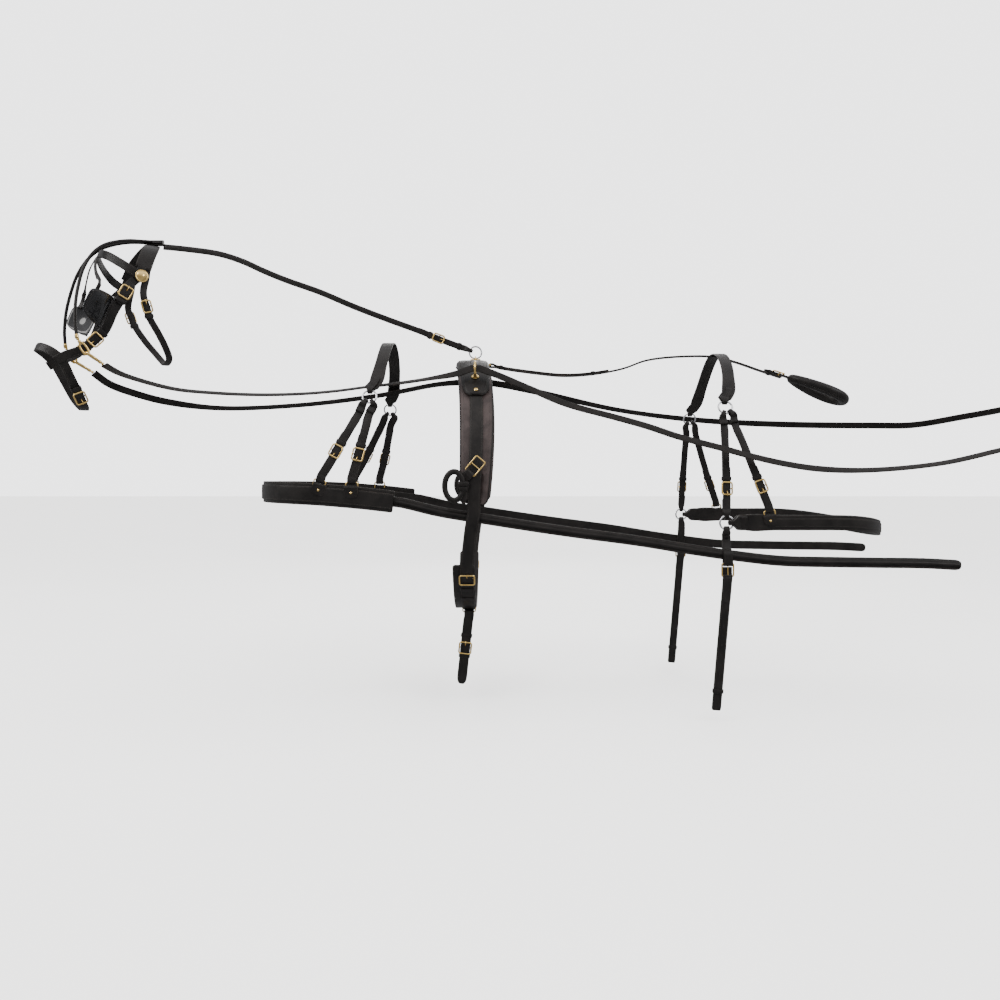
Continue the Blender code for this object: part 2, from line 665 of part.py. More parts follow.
def noseband():
    """The noseband: over the nose, under the jaw and up into its buckle on the near side."""
    lift = STRAP_THICK / 2
    rows = head_rows(NOSE_SHARES, NEAR, NOSE_WIDTH, lift)
    rows += head_rows(NOSE_SHARES[3:-1], FAR, NOSE_WIDTH, lift)[::-1]
    rows += head_rows(JAW_SHARES, FAR, NOSE_WIDTH, lift)
    rows += head_rows(BILLET_SHARES, NEAR, NOSE_WIDTH, lift)
    rows = smooth(rows, FINE_STEP)
    band = strap("noseband", rows, STRAP_THICK, LEATHER)
    point, heading, outward = along_rows(rows[::-1], BUCKLE_SET)
    fit_buckle("noseband_buckle", band, band, point + outward * lift, heading, outward, NOSE_WIDTH)


def rosette(name, centre, outward):
    """A domed brass boss turned from its profile."""
    radius = ROSETTE_RADIUS
    height = radius * 0.42
    profile = bpy.data.meshes.new(name)
    arc = [(radius * math.sin(math.radians(a)), 0, height * math.cos(math.radians(a)) + BITE)
           for a in (0, 25, 50, 75, 90)]
    points = arc + [(radius, 0, 0), (0, 0, 0)]
    profile.from_pydata(points, [(i, i + 1) for i in range(len(points) - 1)], [])
    made = place(name, profile, BRASS, True)
    turn = made.modifiers.new("turn", "SCREW")
    turn.steps = turn.render_steps = 12
    turn.use_merge_vertices = True
    turn.merge_threshold = BITE / DENSE_COUNT
    made.matrix_world = frame_at(centre, UP, outward)
    return made


def check_straps():
    """The overcheck: a round strap up each side of the face, joined behind the poll."""
    tabs = []
    for label, side in SIDES:
        points = [(*head(*share, side), 0, 0, 0, 1) for share in CHECK_SHARES]
        line = smooth(points, FINE_STEP * 3 / 2)[:, :3]
        tabs.append(tube(f"check_strap_{label}", line, ROLL_RADIUS, LEATHER, side == FAR))
    overcheck = tabs[0]
    overcheck.name = "overcheck"
    rows = [row((-JOIN_REACH - CHECK_WIDTH * s, 0, JOIN_RISE), -LATERAL, CHECK_WIDTH) for s in (2.8, 1.2, 0)]
    tab = strap("check_tab", rows, 3 * ROLL_RADIUS, LEATHER, True)
    fuse(overcheck, tabs[1], tab)


def blinkers():
    """Padded patent blinkers, sewn to the cheek straps, and the stay that holds them apart."""
    laps = {}
    count = 5
    for label, side in SIDES:
        corners = [head(*share, side) for share in BLINKER_SHARES]
        centre = sum(corners, Vector()) / 4
        outward = (corners[2] - corners[0]).cross(corners[3] - corners[1]).normalized()
        if outward.dot(head_vector(0, side, 0)) < 0:
            outward.negate()
        data = bpy.data.meshes.new(f"blinker_{label}")
        verts, faces = [], []
        for i in range(count + 1):
            across = i / count
            top, low = corners[0].lerp(corners[3], across), corners[1].lerp(corners[2], across)
            for j in range(count + 1):
                down = j / count
                round_off = BLINKER_ROUND_SHARE * across ** 4 * (2 * down - 1) ** 4
                crown = BLINKER_CROWN * math.sin(math.pi * across) * math.sin(math.pi * down)
                verts.append(tuple(top.lerp(low, down).lerp(centre, round_off) + outward * crown))
        for i in range(count):
            for j in range(count):
                a = i * (count + 1) + j
                faces.append((a, a + 1, a + count + 2, a + count + 1))
        data.from_pydata(verts, [], faces)
        made = place(f"blinker_{label}", data, PATENT)
        wall = made.modifiers.new("thickness", "SOLIDIFY")
        wall.thickness = BLINKER_THICK
        wall.offset = 0
        edge = corners[0].lerp(corners[3], STAY_PLACE_SHARE)
        down = (corners[1].lerp(corners[2], STAY_PLACE_SHARE) - edge).normalized()
        inner = edge - outward * (BLINKER_THICK / 2 - 2 * GAP + THIN_THICK / 2)
        laps[side] = [row(inner + down * STAY_WIDTH * s, outward, STAY_WIDTH) for s in (1, 0, -1)]
    body = both_sides(STAY_SHARES, STAY_WIDTH, THIN_THICK / 2)
    strap("winker_stay", smooth(laps[NEAR] + body + laps[FAR][::-1], STEP), THIN_THICK, LEATHER)




def eyed(name, rows, thick, finish, width, start=None, end=None, step=STEP, tool=False):
    """A strap through rows, with either end turned round a wire.

    Each end is its lead and seat, the wire, its ring's radius or None, the tail's length and lift.
    """
    rows = list(rows)
    inner = ([start[0][0]] if start else []) + rows + ([end[0][0]] if end else [])
    line = [tuple(r) for r in smooth(inner, step)]
    line = ([start[0][1]] if start else []) + line + ([end[0][1]] if end else [])
    tail_end = fold(line, *end[1:3], thick, *end[3:], width) if end else []
    tail_start = fold(line[::-1], *start[1:3], thick, *start[3:], width) if start else []
    made = strap(name, tail_start[::-1] + line + tail_end, thick, finish, tool)
    return made, np.array(line)


# Breast collar, neck strap, forks and traces

def collar_place(reach, side, lift=0.0):
    """A place on the collar's middle line, by its distance in front of the saddle."""
    along = (CHEST_REACH - reach) / (CHEST_REACH - COLLAR_END)
    drop = -COLLAR_DROP - COLLAR_FALL * along ** 2
    return Vector((-reach, side * (CHEST_HALF + lift), drop))


def collar_rows():
    """The collar's middle line round the chest, lifted over the trace at either end."""
    lift = BODY_THICK / 2
    over = TRACE_THICK + 4 * GAP
    rows = []
    for side in (NEAR, FAR):
        part = []
        straight = CHEST_REACH - CHEST_ROUND
        for share in (0, 0.35, 0.60, 0.85):
            reach = COLLAR_END + (straight - COLLAR_END) * share
            point = collar_place(reach, side, lift + (over if share < 0.7 else 0))
            part.append(row(point, (0, side, 0), COLLAR_WIDTH))
        for turn in range(90, 0, -15):
            angle = math.radians(turn)
            reach = CHEST_REACH - CHEST_ROUND * (1 - math.cos(angle))
            outward = Vector((-CHEST_HALF * math.cos(angle), side * CHEST_ROUND * math.sin(angle), 0))
            point = collar_place(reach, side)
            point.y = side * CHEST_HALF * math.sin(angle)
            part.append(row(point + outward.normalized() * lift, outward, COLLAR_WIDTH))
        if side == NEAR:
            rows += part
            rows.append(row(collar_place(CHEST_REACH + lift, 0), -ALONG, COLLAR_WIDTH))
        else:
            rows += part[::-1]
    return rows


def dee_lift():
    """How far a dee's bar stands off the edge of the strap that it is sewn to."""
    return 2 * WIRE + STRAP_THICK + 3 * GAP


def dee(name, bar_point, along, up, width, deep=4 * WIRE):
    """A dee's bar on two legs that reach that deep into the strap below it."""
    half = width / 2 + 2 * WIRE + GAP
    leg = dee_lift() + deep
    corner = WIRE
    along, up = unit(along), unit(up)
    points = [bar_point + along * x + up * z for x, z in
              ((-half, -leg), (-half, -corner), (-half + corner, 0), (half - corner, 0),
               (half, -corner), (half, -leg))]
    return tube(name, points, WIRE, BRASS, True)


def on_section(at, start, stop, first, last, side, width, lift, count=4):
    """Rows down a section of the trunk between two angles, straight from one place to another as seen."""
    rows = []
    for i in range(count):
        point, outward = at(start + (stop - start) * i / (count - 1), side, lift)
        point.x = first[0] + (last[0] - first[0]) * (first[2] - point.z) / (first[2] - last[2])
        rows.append(row(point, outward, width))
    return rows


def ring_between(name, at, angle, side, radius, wire, finish):
    """A loose ring that lies on a section at an angle; its place, its fall line and its outward."""
    point, outward = at(angle, side, wire_lift(wire, radius, STRAP_THICK))
    ring(name, point, outward, radius, wire, finish)
    return point, outward.cross(ALONG) * side, outward


def ring_end(centre, toward, outward, radius, wire, width):
    """Lead and seat of a strap that turns round a ring's wire on the side facing that way."""
    toward = (toward - outward * toward.dot(outward)).normalized()
    return seat_of(centre + toward * radius, -toward, outward, wire, radius, STRAP_THICK, width)


def ring_clear(section_half, section_drop):
    """The angle round the trunk that a ring and the straps turned round it take up."""
    return (RING_RADIUS + 2 * EYE_EASE) / (math.hypot(section_half, section_drop) / math.sqrt(2))


def over_the_top(name, at, ring_angle, lift, width, rings, clear):
    """A strap from ring to ring over the top of the trunk."""
    rows = []
    stop = ring_angle - clear
    for i in range(-4, 5):
        point, outward = at(stop * abs(i) / 4, NEAR if i < 0 else FAR, lift)
        rows.append(row(point, outward, width))
    ends = {}
    for side, (centre, fall, outward) in rings.items():
        seat = ring_end(centre, -fall, outward, RING_RADIUS, RING_WIRE, EYE_WIDTH)
        ends[side] = (seat, RING_WIRE, RING_RADIUS, EYE_TAIL, STRAP_THICK + GAP)
    return eyed(name, rows, STRAP_THICK, LEATHER, width / 2, start=ends[NEAR], end=ends[FAR])


def breast():
    """Breast collar, neck strap with its rings, and the four forks."""
    collar = strap("breast_collar", smooth(collar_rows(), STEP), BODY_THICK, LEATHER)
    clear = ring_clear(CHEST_HALF, NECK_DROP)
    rings = {side: ring_between(f"neck_ring_{label}", NECK, NECK_RING_ANGLE, side, RING_RADIUS,
                                RING_WIRE, STEEL) for label, side in SIDES}
    over_the_top("neck_strap", NECK, NECK_RING_ANGLE, STRAP_THICK / 2, NECK_WIDTH, rings, clear)
    for label, side in SIDES:
        centre, fall, outward = rings[side]
        for kind, reach, share, turn in FORKS:
            base = collar_place(reach, side, BODY_THICK - WIRE)
            up = unit((math.tan(FORK_DEE_TURN) if kind == "front" else 0, 0, 1))
            bar = base + UP * (COLLAR_WIDTH / 2 + dee_lift())
            fuse(collar, dee(f"collar_dee_{kind}_{label}", bar, up.cross(LATERAL), up, FORK_WIDTH))
            toward = fall * math.cos(turn) - ALONG * math.sin(turn)
            first = ring_end(centre, toward, outward, RING_RADIUS, RING_WIRE, FORK_EYE_WIDTH)
            last = seat_of(bar, -up, (0, side, 0), WIRE, None, STRAP_THICK, FORK_WIDTH)
            fork(f"{kind}_fork_{label}", NECK, NECK_RING_ANGLE + clear, math.radians(80), first, last, side,
                 FORK_WIDTH, share, (WIRE, None))


def fork(name, at, start, stop, first, last, side, width, buckle_share, wire):
    """A strap from a ring down to a dee or another ring, turned up and buckled on itself."""
    rows = on_section(at, start, stop, first[1], last[1], side, width, STRAP_THICK / 2)
    where = (Vector(first[1][:3]) - Vector(last[1][:3])).length * buckle_share
    made, line = eyed(name, rows, STRAP_THICK, LEATHER, width,
                      start=(first, RING_WIRE, RING_RADIUS, EYE_TAIL / 2, STRAP_THICK + GAP),
                      end=(last, *wire, where + BUCKLE_LENGTH / 2, billet_level()), step=FINE_STEP)
    point, heading, outward = along_rows(line, where)
    fit_buckle(name + "_buckle", made, made, point + outward * STRAP_THICK / 2, heading, outward, width)
    return made


# Reach and drop of the trace, as shares of its length and of its drop, and its bulge
TRACE_SHARES = ((0.082, 0.16), (0.153, 0.26), (0.294, 0.45), (0.436, 0.62), (0.525, 0.75), (0.603, 0.85),
                (0.684, 0.93), (0.771, 0.95), (0.844, 0.96), (0.936, 0.97), (1, 1))


def trace_line(side, width=TRACE_WIDTH):
    """The trace's middle line: under the collar's end, over the barrel and back to its tip."""
    start = CHEST_HALF + TRACE_THICK / 2 + GAP
    saddle = BARREL_HALF + PAD_THICK / 2
    rows = []
    for reach in (COLLAR_END + COLLAR_WIDTH * 2, COLLAR_END + COLLAR_WIDTH, COLLAR_END,
                  COLLAR_END - COLLAR_WIDTH / 3):
        point = collar_place(reach, 0)
        rows.append(row((point.x, side * start, point.z), (0, side, 0), width))
    drop = -COLLAR_DROP - COLLAR_FALL
    for along, down in TRACE_SHARES:
        x = -COLLAR_END + TRACE_LENGTH * along
        bulge = saddle + TRACE_BULGE * math.sin(math.pi / 2 * min(max(x, 0) / COLLAR_END, 1))
        if along < TRACE_SHARES[1][0]:
            bulge = (start + saddle) / 2
        rows.append(row((x, side * bulge, drop - TRACE_DROP * down), (0, side, 0), width))
    return smooth(rows, STEP)


def traces():
    for label, side in SIDES:
        rows = [list(r) for r in trace_line(side)]
        rows[-1][6] = TRACE_WIDTH * 0.55
        strap(f"trace_{label}", rows, TRACE_THICK, LEATHER)


# Saddle, back band, tugs, girth and belly band

def saddle_shift(angle):
    """How far the saddle's middle line stands behind the top of the back, at an angle round the barrel."""
    return SADDLE_BULGE * math.sin(angle * 3 / 2) - SADDLE_PLACE


def seat_base():
    return PAD_THICK + STRAP_THICK + 4 * GAP


def seat_height(angle):
    """Thickness of the saddle's seat at an angle from the top."""
    return SEAT_THICK - (SEAT_THICK - STRAP_THICK) * min(angle / SEAT_ANGLE, 1) ** 1.5


def around(angles):
    """Side and angle of each station from the near end over the top to the far end."""
    return [(NEAR, a) for a in angles[:0:-1]] + [(NEAR, 0)] + [(FAR, a) for a in angles[1:]]


def rear_dee_bar():
    return Vector((SADDLE_WIDTH / 2 - SADDLE_PLACE + dee_lift(), 0, seat_base() + SEAT_THICK / 3))


def saddle():
    """Padded panels, the seat over them, terrets, check hook and back band."""
    for label, side in SIDES:
        rows = []
        for angle in STATIONS[1:]:
            point, outward = BARREL(angle, side, PAD_THICK / 2)
            point.x += saddle_shift(angle)
            share = (angle / STATIONS[-1]) ** 3
            rows.append(row(point, outward, SADDLE_WIDTH + (SKIRT_WIDTH - SADDLE_WIDTH) * share))
        panel = strap(f"saddle_panel_{label}", rows, PAD_THICK, PANEL_LEATHER)
        soft = panel.modifiers.new("rounded edges", "BEVEL")
        soft.width = PAD_THICK / 3
        soft.segments = 1
        soft.angle_limit = math.radians(60)

    base = seat_base()
    sections = []
    for side, angle in around(SEAT_STATIONS):
        low, outward = BARREL(angle, side, base)
        low.x += saddle_shift(angle)
        half = SADDLE_WIDTH / 2 * (1 - SEAT_TAPER_SHARE * (angle / SEAT_ANGLE) ** 2)
        thick = seat_height(angle)
        sections.append([low + ALONG * half * x + outward * thick * z for x, z in
                         ((-1, 0), (1, 0), (1, 0.55), (0.78, 1), (-0.78, 1), (-1, 0.55))])
    seat = loft("saddle_seat", sections, LEATHER)
    fuse(seat, dee("rear_dee", rear_dee_bar(), LATERAL, ALONG, BACK_STRAP_WIDTH))

    for label, side in SIDES:
        foot, outward = BARREL(TERRET_ANGLE, side, base + seat_height(TERRET_ANGLE) - GAP)
        foot.x += saddle_shift(TERRET_ANGLE)
        collar = ring(f"terret_{label}", foot + outward * (TERRET_RADIUS + TERRET_WIRE * 2), ALONG,
                      TERRET_RADIUS, TERRET_WIRE, BRASS)
        stem = tube(f"terret_stem_{label}", [foot, foot + outward * TERRET_WIRE * 3], TERRET_WIRE * 1.6,
                    BRASS, True, fine=2)
        fuse(collar, stem)
    hook_and_ring(base + SEAT_THICK + GAP)
    back_band(PAD_THICK + 2 * GAP)


def loft(name, sections, finish, tool=False):
    """A closed body through sections with the same number of points each."""
    data = bpy.data.meshes.new(name)
    count = len(sections[0])
    verts = [tuple(p) for section_points in sections for p in section_points]
    faces = [tuple(reversed(range(count))), tuple(range(len(verts) - count, len(verts)))]
    for i in range(len(sections) - 1):
        for j in range(count):
            a, b = i * count + j, i * count + (j + 1) % count
            faces.append((a, b, b + count, a + count))
    data.from_pydata(verts, [], faces)
    data.validate()
    made = place(name, data, finish, tool)
    point_outwards(data)
    return made


def point_outwards(data):
    import bmesh
    body = bmesh.new()
    body.from_mesh(data)
    bmesh.ops.recalc_face_normals(body, faces=body.faces)
    body.to_mesh(data)
    body.free()


def saddle_ring_centre():
    top = seat_base() + SEAT_THICK + GAP + HOOK_PLATE + GAP + RING_WIRE
    return Vector((HOOK_REACH, 0, top + SADDLE_RING_RADIUS))


def hook_and_ring(top):
    """The check hook's plate and staple on the seat, and the loose ring that stands in it."""
    centre = saddle_ring_centre()
    ring("saddle_ring", centre, LATERAL, SADDLE_RING_RADIUS, RING_WIRE, STEEL)
    hook = box("check_hook", Vector((centre.x, 0, top + HOOK_PLATE / 2)), (ALONG, LATERAL, UP),
               (HOOK_LENGTH, HOOK_LENGTH / 2, HOOK_PLATE), BRASS)
    half = RING_WIRE + WIRE + GAP * 2
    low = centre.z - SADDLE_RING_RADIUS
    high = low + RING_WIRE + WIRE + GAP + bow_of(SADDLE_RING_RADIUS, 2 * WIRE)
    arch = [(centre.x, -half, top + BITE), (centre.x, -half, high - WIRE), (centre.x, -half + WIRE, high),
            (centre.x, half - WIRE, high), (centre.x, half, high - WIRE), (centre.x, half, top + BITE)]
    fuse(hook, tube("hook_staple", arch, WIRE, BRASS, True))


def back_band(level):
    """One long strap over the saddle that ends as the billets of the belly band."""
    lift = level + STRAP_THICK / 2
    outer = GIRTH_THICK + GAP + STRAP_THICK / 2 + billet_level()
    ends = {}
    for side in (NEAR, FAR):
        part = []
        for angle in BELLY_STATIONS[2:]:
            point, outward = BELLY(angle, side, outer)
            point.x = -BAND_PLACE
            part.append(row(point, outward, BAND_WIDTH))
        point, outward = BELLY(BAND_BUCKLE_ANGLE * 1.12, side, outer)
        point.x = -BAND_PLACE
        part.append(row(point, outward, BAND_WIDTH))
        for drop, share in ((TRACE_CROSS_DROP + TRACE_WIDTH, 0.1), (TRACE_CROSS_DROP - TRACE_WIDTH / 2, 0.6)):
            part.append(row((BAND_LEAN * share, side * (BARREL_HALF + lift), -drop), (0, side, 0),
                            BAND_WIDTH))
        for angle in STATIONS[:0:-1]:
            point, outward = BARREL(angle, side, lift)
            point.x += saddle_shift(angle)
            part.append(row(point, outward, BAND_WIDTH))
        ends[side] = part
    rows = ends[NEAR] + [row((saddle_shift(0), 0, lift), UP, BAND_WIDTH)] + ends[FAR][::-1]
    return strap("backband", rows, STRAP_THICK, LEATHER)


def girths():
    """The wide girth under the belly and the belly band that runs outside it."""
    rows = []
    for side, angle in around(BELLY_STATIONS + (GIRTH_ANGLE,)):
        point, outward = BELLY(angle, side, GIRTH_THICK / 2)
        point.x = -GIRTH_REACH
        rows.append(row(point, outward, GIRTH_WIDTH))
    strap("girth", rows, GIRTH_THICK, LEATHER)

    level = GIRTH_THICK + GAP + STRAP_THICK / 2
    rows = []
    for side, angle in around(BELLY_STATIONS + (BAND_BUCKLE_ANGLE * 1.06,)):
        point, outward = BELLY(angle, side, level)
        point.x = -BAND_PLACE
        rows.append(row(point, outward, BAND_WIDTH))
    band = strap("belly_band", rows, STRAP_THICK, LEATHER)
    backband = bpy.data.objects["backband"]
    for label, side in SIDES:
        point, outward = BELLY(BAND_BUCKLE_ANGLE, side, level + STRAP_THICK / 2)
        upper, _ = BELLY(BAND_BUCKLE_ANGLE + math.radians(3), side, level + STRAP_THICK / 2)
        point.x = upper.x = -BAND_PLACE
        fit_buckle(f"belly_buckle_{label}", band, backband, point, upper - point, outward, BAND_WIDTH)
    hanging_strap(band, level + STRAP_THICK / 2)


def hanging_strap(band, level):
    """The strap under the belly band: turned round a dee, its free end buckled to it and hanging on."""
    low, _ = BELLY(BELLY_STATIONS[1], NEAR, level - WIRE)
    bar = Vector((-BAND_PLACE, low.y, low.z - dee_lift()))
    fuse(band, dee("belly_dee", bar, ALONG, -UP, HANGING_WIDTH, WIRE / 2))
    outward = Vector((0, NEAR, 0))
    lead, seat = seat_of(bar, UP, outward, WIRE, None, STRAP_THICK, HANGING_WIDTH)
    first = Vector(seat[:3])
    fall = Vector((-HANGING_LEAN, 0, -HANGING_LENGTH))
    inner = [row(first + fall * s, outward, HANGING_WIDTH) for s in (0.60, 0.40, 0.20)] + [lead, seat]
    turned = fold(inner, WIRE, None, STRAP_THICK, STEP, billet_level(), HANGING_WIDTH)
    tail = [row(first + outward * billet_level() + fall * s, -outward, HANGING_WIDTH * w)
            for s, w in ((0.45, 1), (0.60, 1), (0.75, 1), (0.92, 0.9), (1, 0.25))]
    made = strap("hanging_strap", inner + turned + tail, STRAP_THICK, LEATHER)
    face = first + fall * 0.50 + outward * STRAP_THICK / 2
    fit_buckle("hanging_buckle", made, made, face, -fall, outward, HANGING_WIDTH)


def tugs():
    """Rolled leather tug loops in front of the back band, each turned round the bar of its own buckle."""
    axis = Vector((math.cos(TUG_TILT), 0, math.sin(TUG_TILT)))
    bar_level = BARREL_HALF + PAD_THICK + 2 * STRAP_THICK + WIRE - GAP
    for label, side in SIDES:
        outward = Vector((0, side, 0))
        across = outward.cross(axis).normalized()
        middle = Vector((TUG_BUCKLE_REACH, side * bar_level, -TUG_BUCKLE_DROP))
        half_l, half_w = TUG_BUCKLE_LENGTH / 2, TUG_EYE_WIDTH / 2 + BUCKLE_CLEAR + WIRE
        corners = [middle + axis * half_l * x + across * half_w * w
                   for x, w in ((-1, -1), (1, -1), (1, 1), (-1, 1))]
        frame = tube(f"tug_buckle_{label}", corners, WIRE, BRASS, closed=True)
        sink = -outward * (STRAP_THICK + GAP)
        pin = [middle + across * half_w, middle + across * half_w / 2 + sink, middle + sink,
               middle - across * half_w / 2 + sink, middle - across * half_w]
        fuse(frame, tube(f"tug_pin_{label}", pin, WIRE * BAR_SHARE, BRASS, True))
        stud = [middle + sink, middle + sink * 2 - outward * STRAP_THICK]
        fuse(frame, tube(f"tug_stud_{label}", stud, WIRE, BRASS, True))
        hole = tube(f"tug_hole_{label}", [middle, middle + sink * 3], WIRE + GAP, None, True)
        boolean(bpy.data.objects["backband"], hole, "DIFFERENCE")

        bar = middle - axis * half_l
        centre = Vector((-TUG_REACH, side * (bar_level + GAP), -TUG_CENTRE_DROP))
        points = []
        for i in range(16):
            turn = 2 * math.pi * i / 16
            points.append(centre + ALONG * TUG_HALF_WIDTH * math.cos(turn)
                          + UP * TUG_HALF_HEIGHT * math.sin(turn))
        loop = tube(f"tug_{label}", points, TUG_ROLL_RADIUS, LEATHER, closed=True, fine=1)
        block = box(f"tug_keeper_{label}", centre + ALONG * TUG_HALF_WIDTH, (ALONG, LATERAL, UP),
                    (BAND_WIDTH, 2 * TUG_ROLL_RADIUS - BITE, TUG_ROLL_RADIUS * 3), None, True)
        tail = [row(centre + ALONG * TUG_HALF_WIDTH - UP * TUG_HALF_HEIGHT * s, outward, TUG_EYE_WIDTH * w)
                for s, w in ((0.2, 1), (0.9, 1), (1.1, 0.5))]
        point = strap(f"tug_point_{label}", tail, STRAP_THICK, LEATHER, True)
        lead, last = seat_of(bar, axis, outward, WIRE, None, STRAP_THICK, TUG_EYE_WIDTH)
        start = centre + ALONG * TUG_HALF_WIDTH * 0.6 + UP * TUG_HALF_HEIGHT * 0.75
        start.y = last[1]
        rows = [row(start, outward, TUG_EYE_WIDTH / 2), lead, last]
        turned = fold(rows, WIRE, None, STRAP_THICK, EYE_EASE / 2, STRAP_THICK + GAP, TUG_EYE_WIDTH)
        eye = strap(f"tug_eye_{label}", rows + turned, STRAP_THICK, LEATHER, True)
        fuse(loop, block, point, eye)


# Crupper, hip strap and breeching

def rear():
    crupper()
    hips()
    breeching_and_holdbacks()


CRUPPER_SHARES = ((0.000, 0.52), (0.045, 0.30), (0.150, 0.06), (0.235, -0.07), (0.325, 0.00), (0.435, 0.33),
                  (0.505, 0.74), (0.560, 0.90), (0.660, 1.00), (0.735, 0.96), (0.805, 0.68), (0.890, 0.20),
                  (0.955, -0.15))


def crupper():
    """The back strap from the saddle's rear dee to the crupper buckle, and the dock."""
    bar = rear_dee_bar()
    lift = STRAP_THICK / 2
    first = seat_of(bar, -ALONG, UP, WIRE, None, STRAP_THICK, BACK_STRAP_WIDTH)
    rows = []
    for along, up in CRUPPER_SHARES[1:]:
        x = bar.x + (CRUPPER_END - bar.x) * along
        rows.append(row((x, 0, CROUP_RISE * up + lift), UP, BACK_STRAP_WIDTH))
    made, line = eyed("back_strap", rows, STRAP_THICK, LEATHER, BACK_STRAP_WIDTH,
                      start=(first, WIRE, None, BACK_TAIL, STRAP_THICK + GAP))
    point, heading, outward = along_rows(line, BUCKLE_LENGTH / 3)
    face = point + outward * lift
    end = Vector(line[-1, :3])
    down = (end - Vector(line[-2, :3])).normalized()
    out = down.cross(LATERAL).normalized()
    if out.z < 0:
        out.negate()
    level = billet_level()
    rows = [row(point + out * level - down * BUCKLE_LENGTH, out, BACK_STRAP_WIDTH),
            row(point + out * level, out, BACK_STRAP_WIDTH),
            row(point + out * level + down * BUCKLE_LENGTH * 1.5, out, BACK_STRAP_WIDTH)]
    start = Vector(rows[-1][:3]) - down * DOCK_RADIUS * 0.4
    loop, swell = [], []
    for i in range(16):
        turn = 2 * math.pi * i / 16
        back = (1 - math.cos(turn)) / 2
        loop.append(start + (down * DOCK_LENGTH - out * DOCK_SINK) * back
                    + LATERAL * DOCK_HALF * math.sin(turn) * (0.65 + 0.7 * back))
        swell.append(0.4 + 0.6 * back)
    dock = tube("crupper_dock", loop, DOCK_RADIUS, LEATHER, closed=True, fine=2, swell=swell)
    billet = strap("dock_billet", rows, STRAP_THICK, LEATHER, True)
    boolean(billet, tongue_slot("crupper_slot", face, heading, outward), "DIFFERENCE")
    fuse(dock, billet)
    fuse(made, buckle("crupper_buckle", face, heading, outward, BACK_STRAP_WIDTH))


def hips():
    """The hip strap over the croup, its rings, and the fork straps down to the breeching."""
    clear = ring_clear(CROUP_HALF, CROUP_DROP)
    rings = {side: ring_between(f"hip_ring_{label}", CROUP, HIP_RING_ANGLE, side, RING_RADIUS,
                                RING_WIRE, STEEL) for label, side in SIDES}
    over_the_top("hip_strap", CROUP, HIP_RING_ANGLE, STRAP_THICK * 3 / 2 - GAP, HIP_WIDTH, rings, clear)
    for label, side in SIDES:
        centre, fall, outward = rings[side]
        low = breeching_ring_centre(side) + UP * BREECHING_RING_RADIUS
        last = seat_of(low, -UP, (0, side, 0), RING_WIRE, BREECHING_RING_RADIUS, STRAP_THICK, FORK_EYE_WIDTH)
        toward = fall * math.cos(HIP_FORK_TURN) - ALONG * math.sin(HIP_FORK_TURN)
        first = ring_end(centre, toward, outward, RING_RADIUS, RING_WIRE, FORK_EYE_WIDTH)
        fork(f"hip_fork_{label}", CROUP, HIP_RING_ANGLE + clear, math.radians(78), first, last, side,
             HIP_FORK_WIDTH, HIP_FORK_SHARE, (RING_WIRE, BREECHING_RING_RADIUS))
        bar, up = brace_bar(side), unit((-math.tan(BRACE_DEE_TURN), 0, 1))
        last = seat_of(bar, -up, (0, side, 0), WIRE, None, STRAP_THICK, HIP_FORK_WIDTH)
        toward = fall * math.cos(HIP_BRACE_TURN) + ALONG * math.sin(HIP_BRACE_TURN)
        first = ring_end(centre, toward, outward, RING_RADIUS, RING_WIRE, FORK_EYE_WIDTH)
        fork(f"hip_brace_{label}", CROUP, HIP_RING_ANGLE + clear, math.radians(78), first, last, side,
             HIP_FORK_WIDTH, HIP_BRACE_SHARE, (WIRE, None))


def breeching_ring_centre(side):
    lift = wire_lift(RING_WIRE, BREECHING_RING_RADIUS, BODY_THICK)
    return Vector((BREECHING_REACH, side * (CROUP_HALF + lift), -BREECHING_DROP))


def brace_bar(side):
    return Vector((BRACE_REACH, side * (RUMP_HALF + BODY_THICK - WIRE),
                   -BREECHING_DROP + BREECHING_WIDTH / 2 + dee_lift() + WIRE))


def rump_rows(lift):
    """The breeching's middle line round the rump, without its ends at the rings."""
    rows = []
    straight = RUMP_REACH - RUMP_ROUND
    for side in (NEAR, FAR):
        part = []
        for share in (0, 0.35, 0.7):
            x = BREECHING_REACH + 3 * BREECHING_RING_RADIUS
            x += (straight - x) * share
            part.append(row((x, side * (RUMP_HALF + lift), -BREECHING_DROP), (0, side, 0), BREECHING_WIDTH))
        for turn in range(90, 0, -15):
            angle = math.radians(turn)
            outward = Vector((RUMP_HALF * math.cos(angle), side * RUMP_ROUND * math.sin(angle), 0)).normalized()
            point = Vector((straight + RUMP_ROUND * math.cos(angle), side * RUMP_HALF * math.sin(angle),
                            -BREECHING_DROP - BREECHING_SAG * math.cos(angle) ** 2))
            part.append(row(point + outward * lift, outward, BREECHING_WIDTH))
        if side == NEAR:
            rows += part
            rows.append(row((RUMP_REACH + lift, 0, -BREECHING_DROP - BREECHING_SAG), ALONG, BREECHING_WIDTH))
        else:
            rows += part[::-1]
    return rows


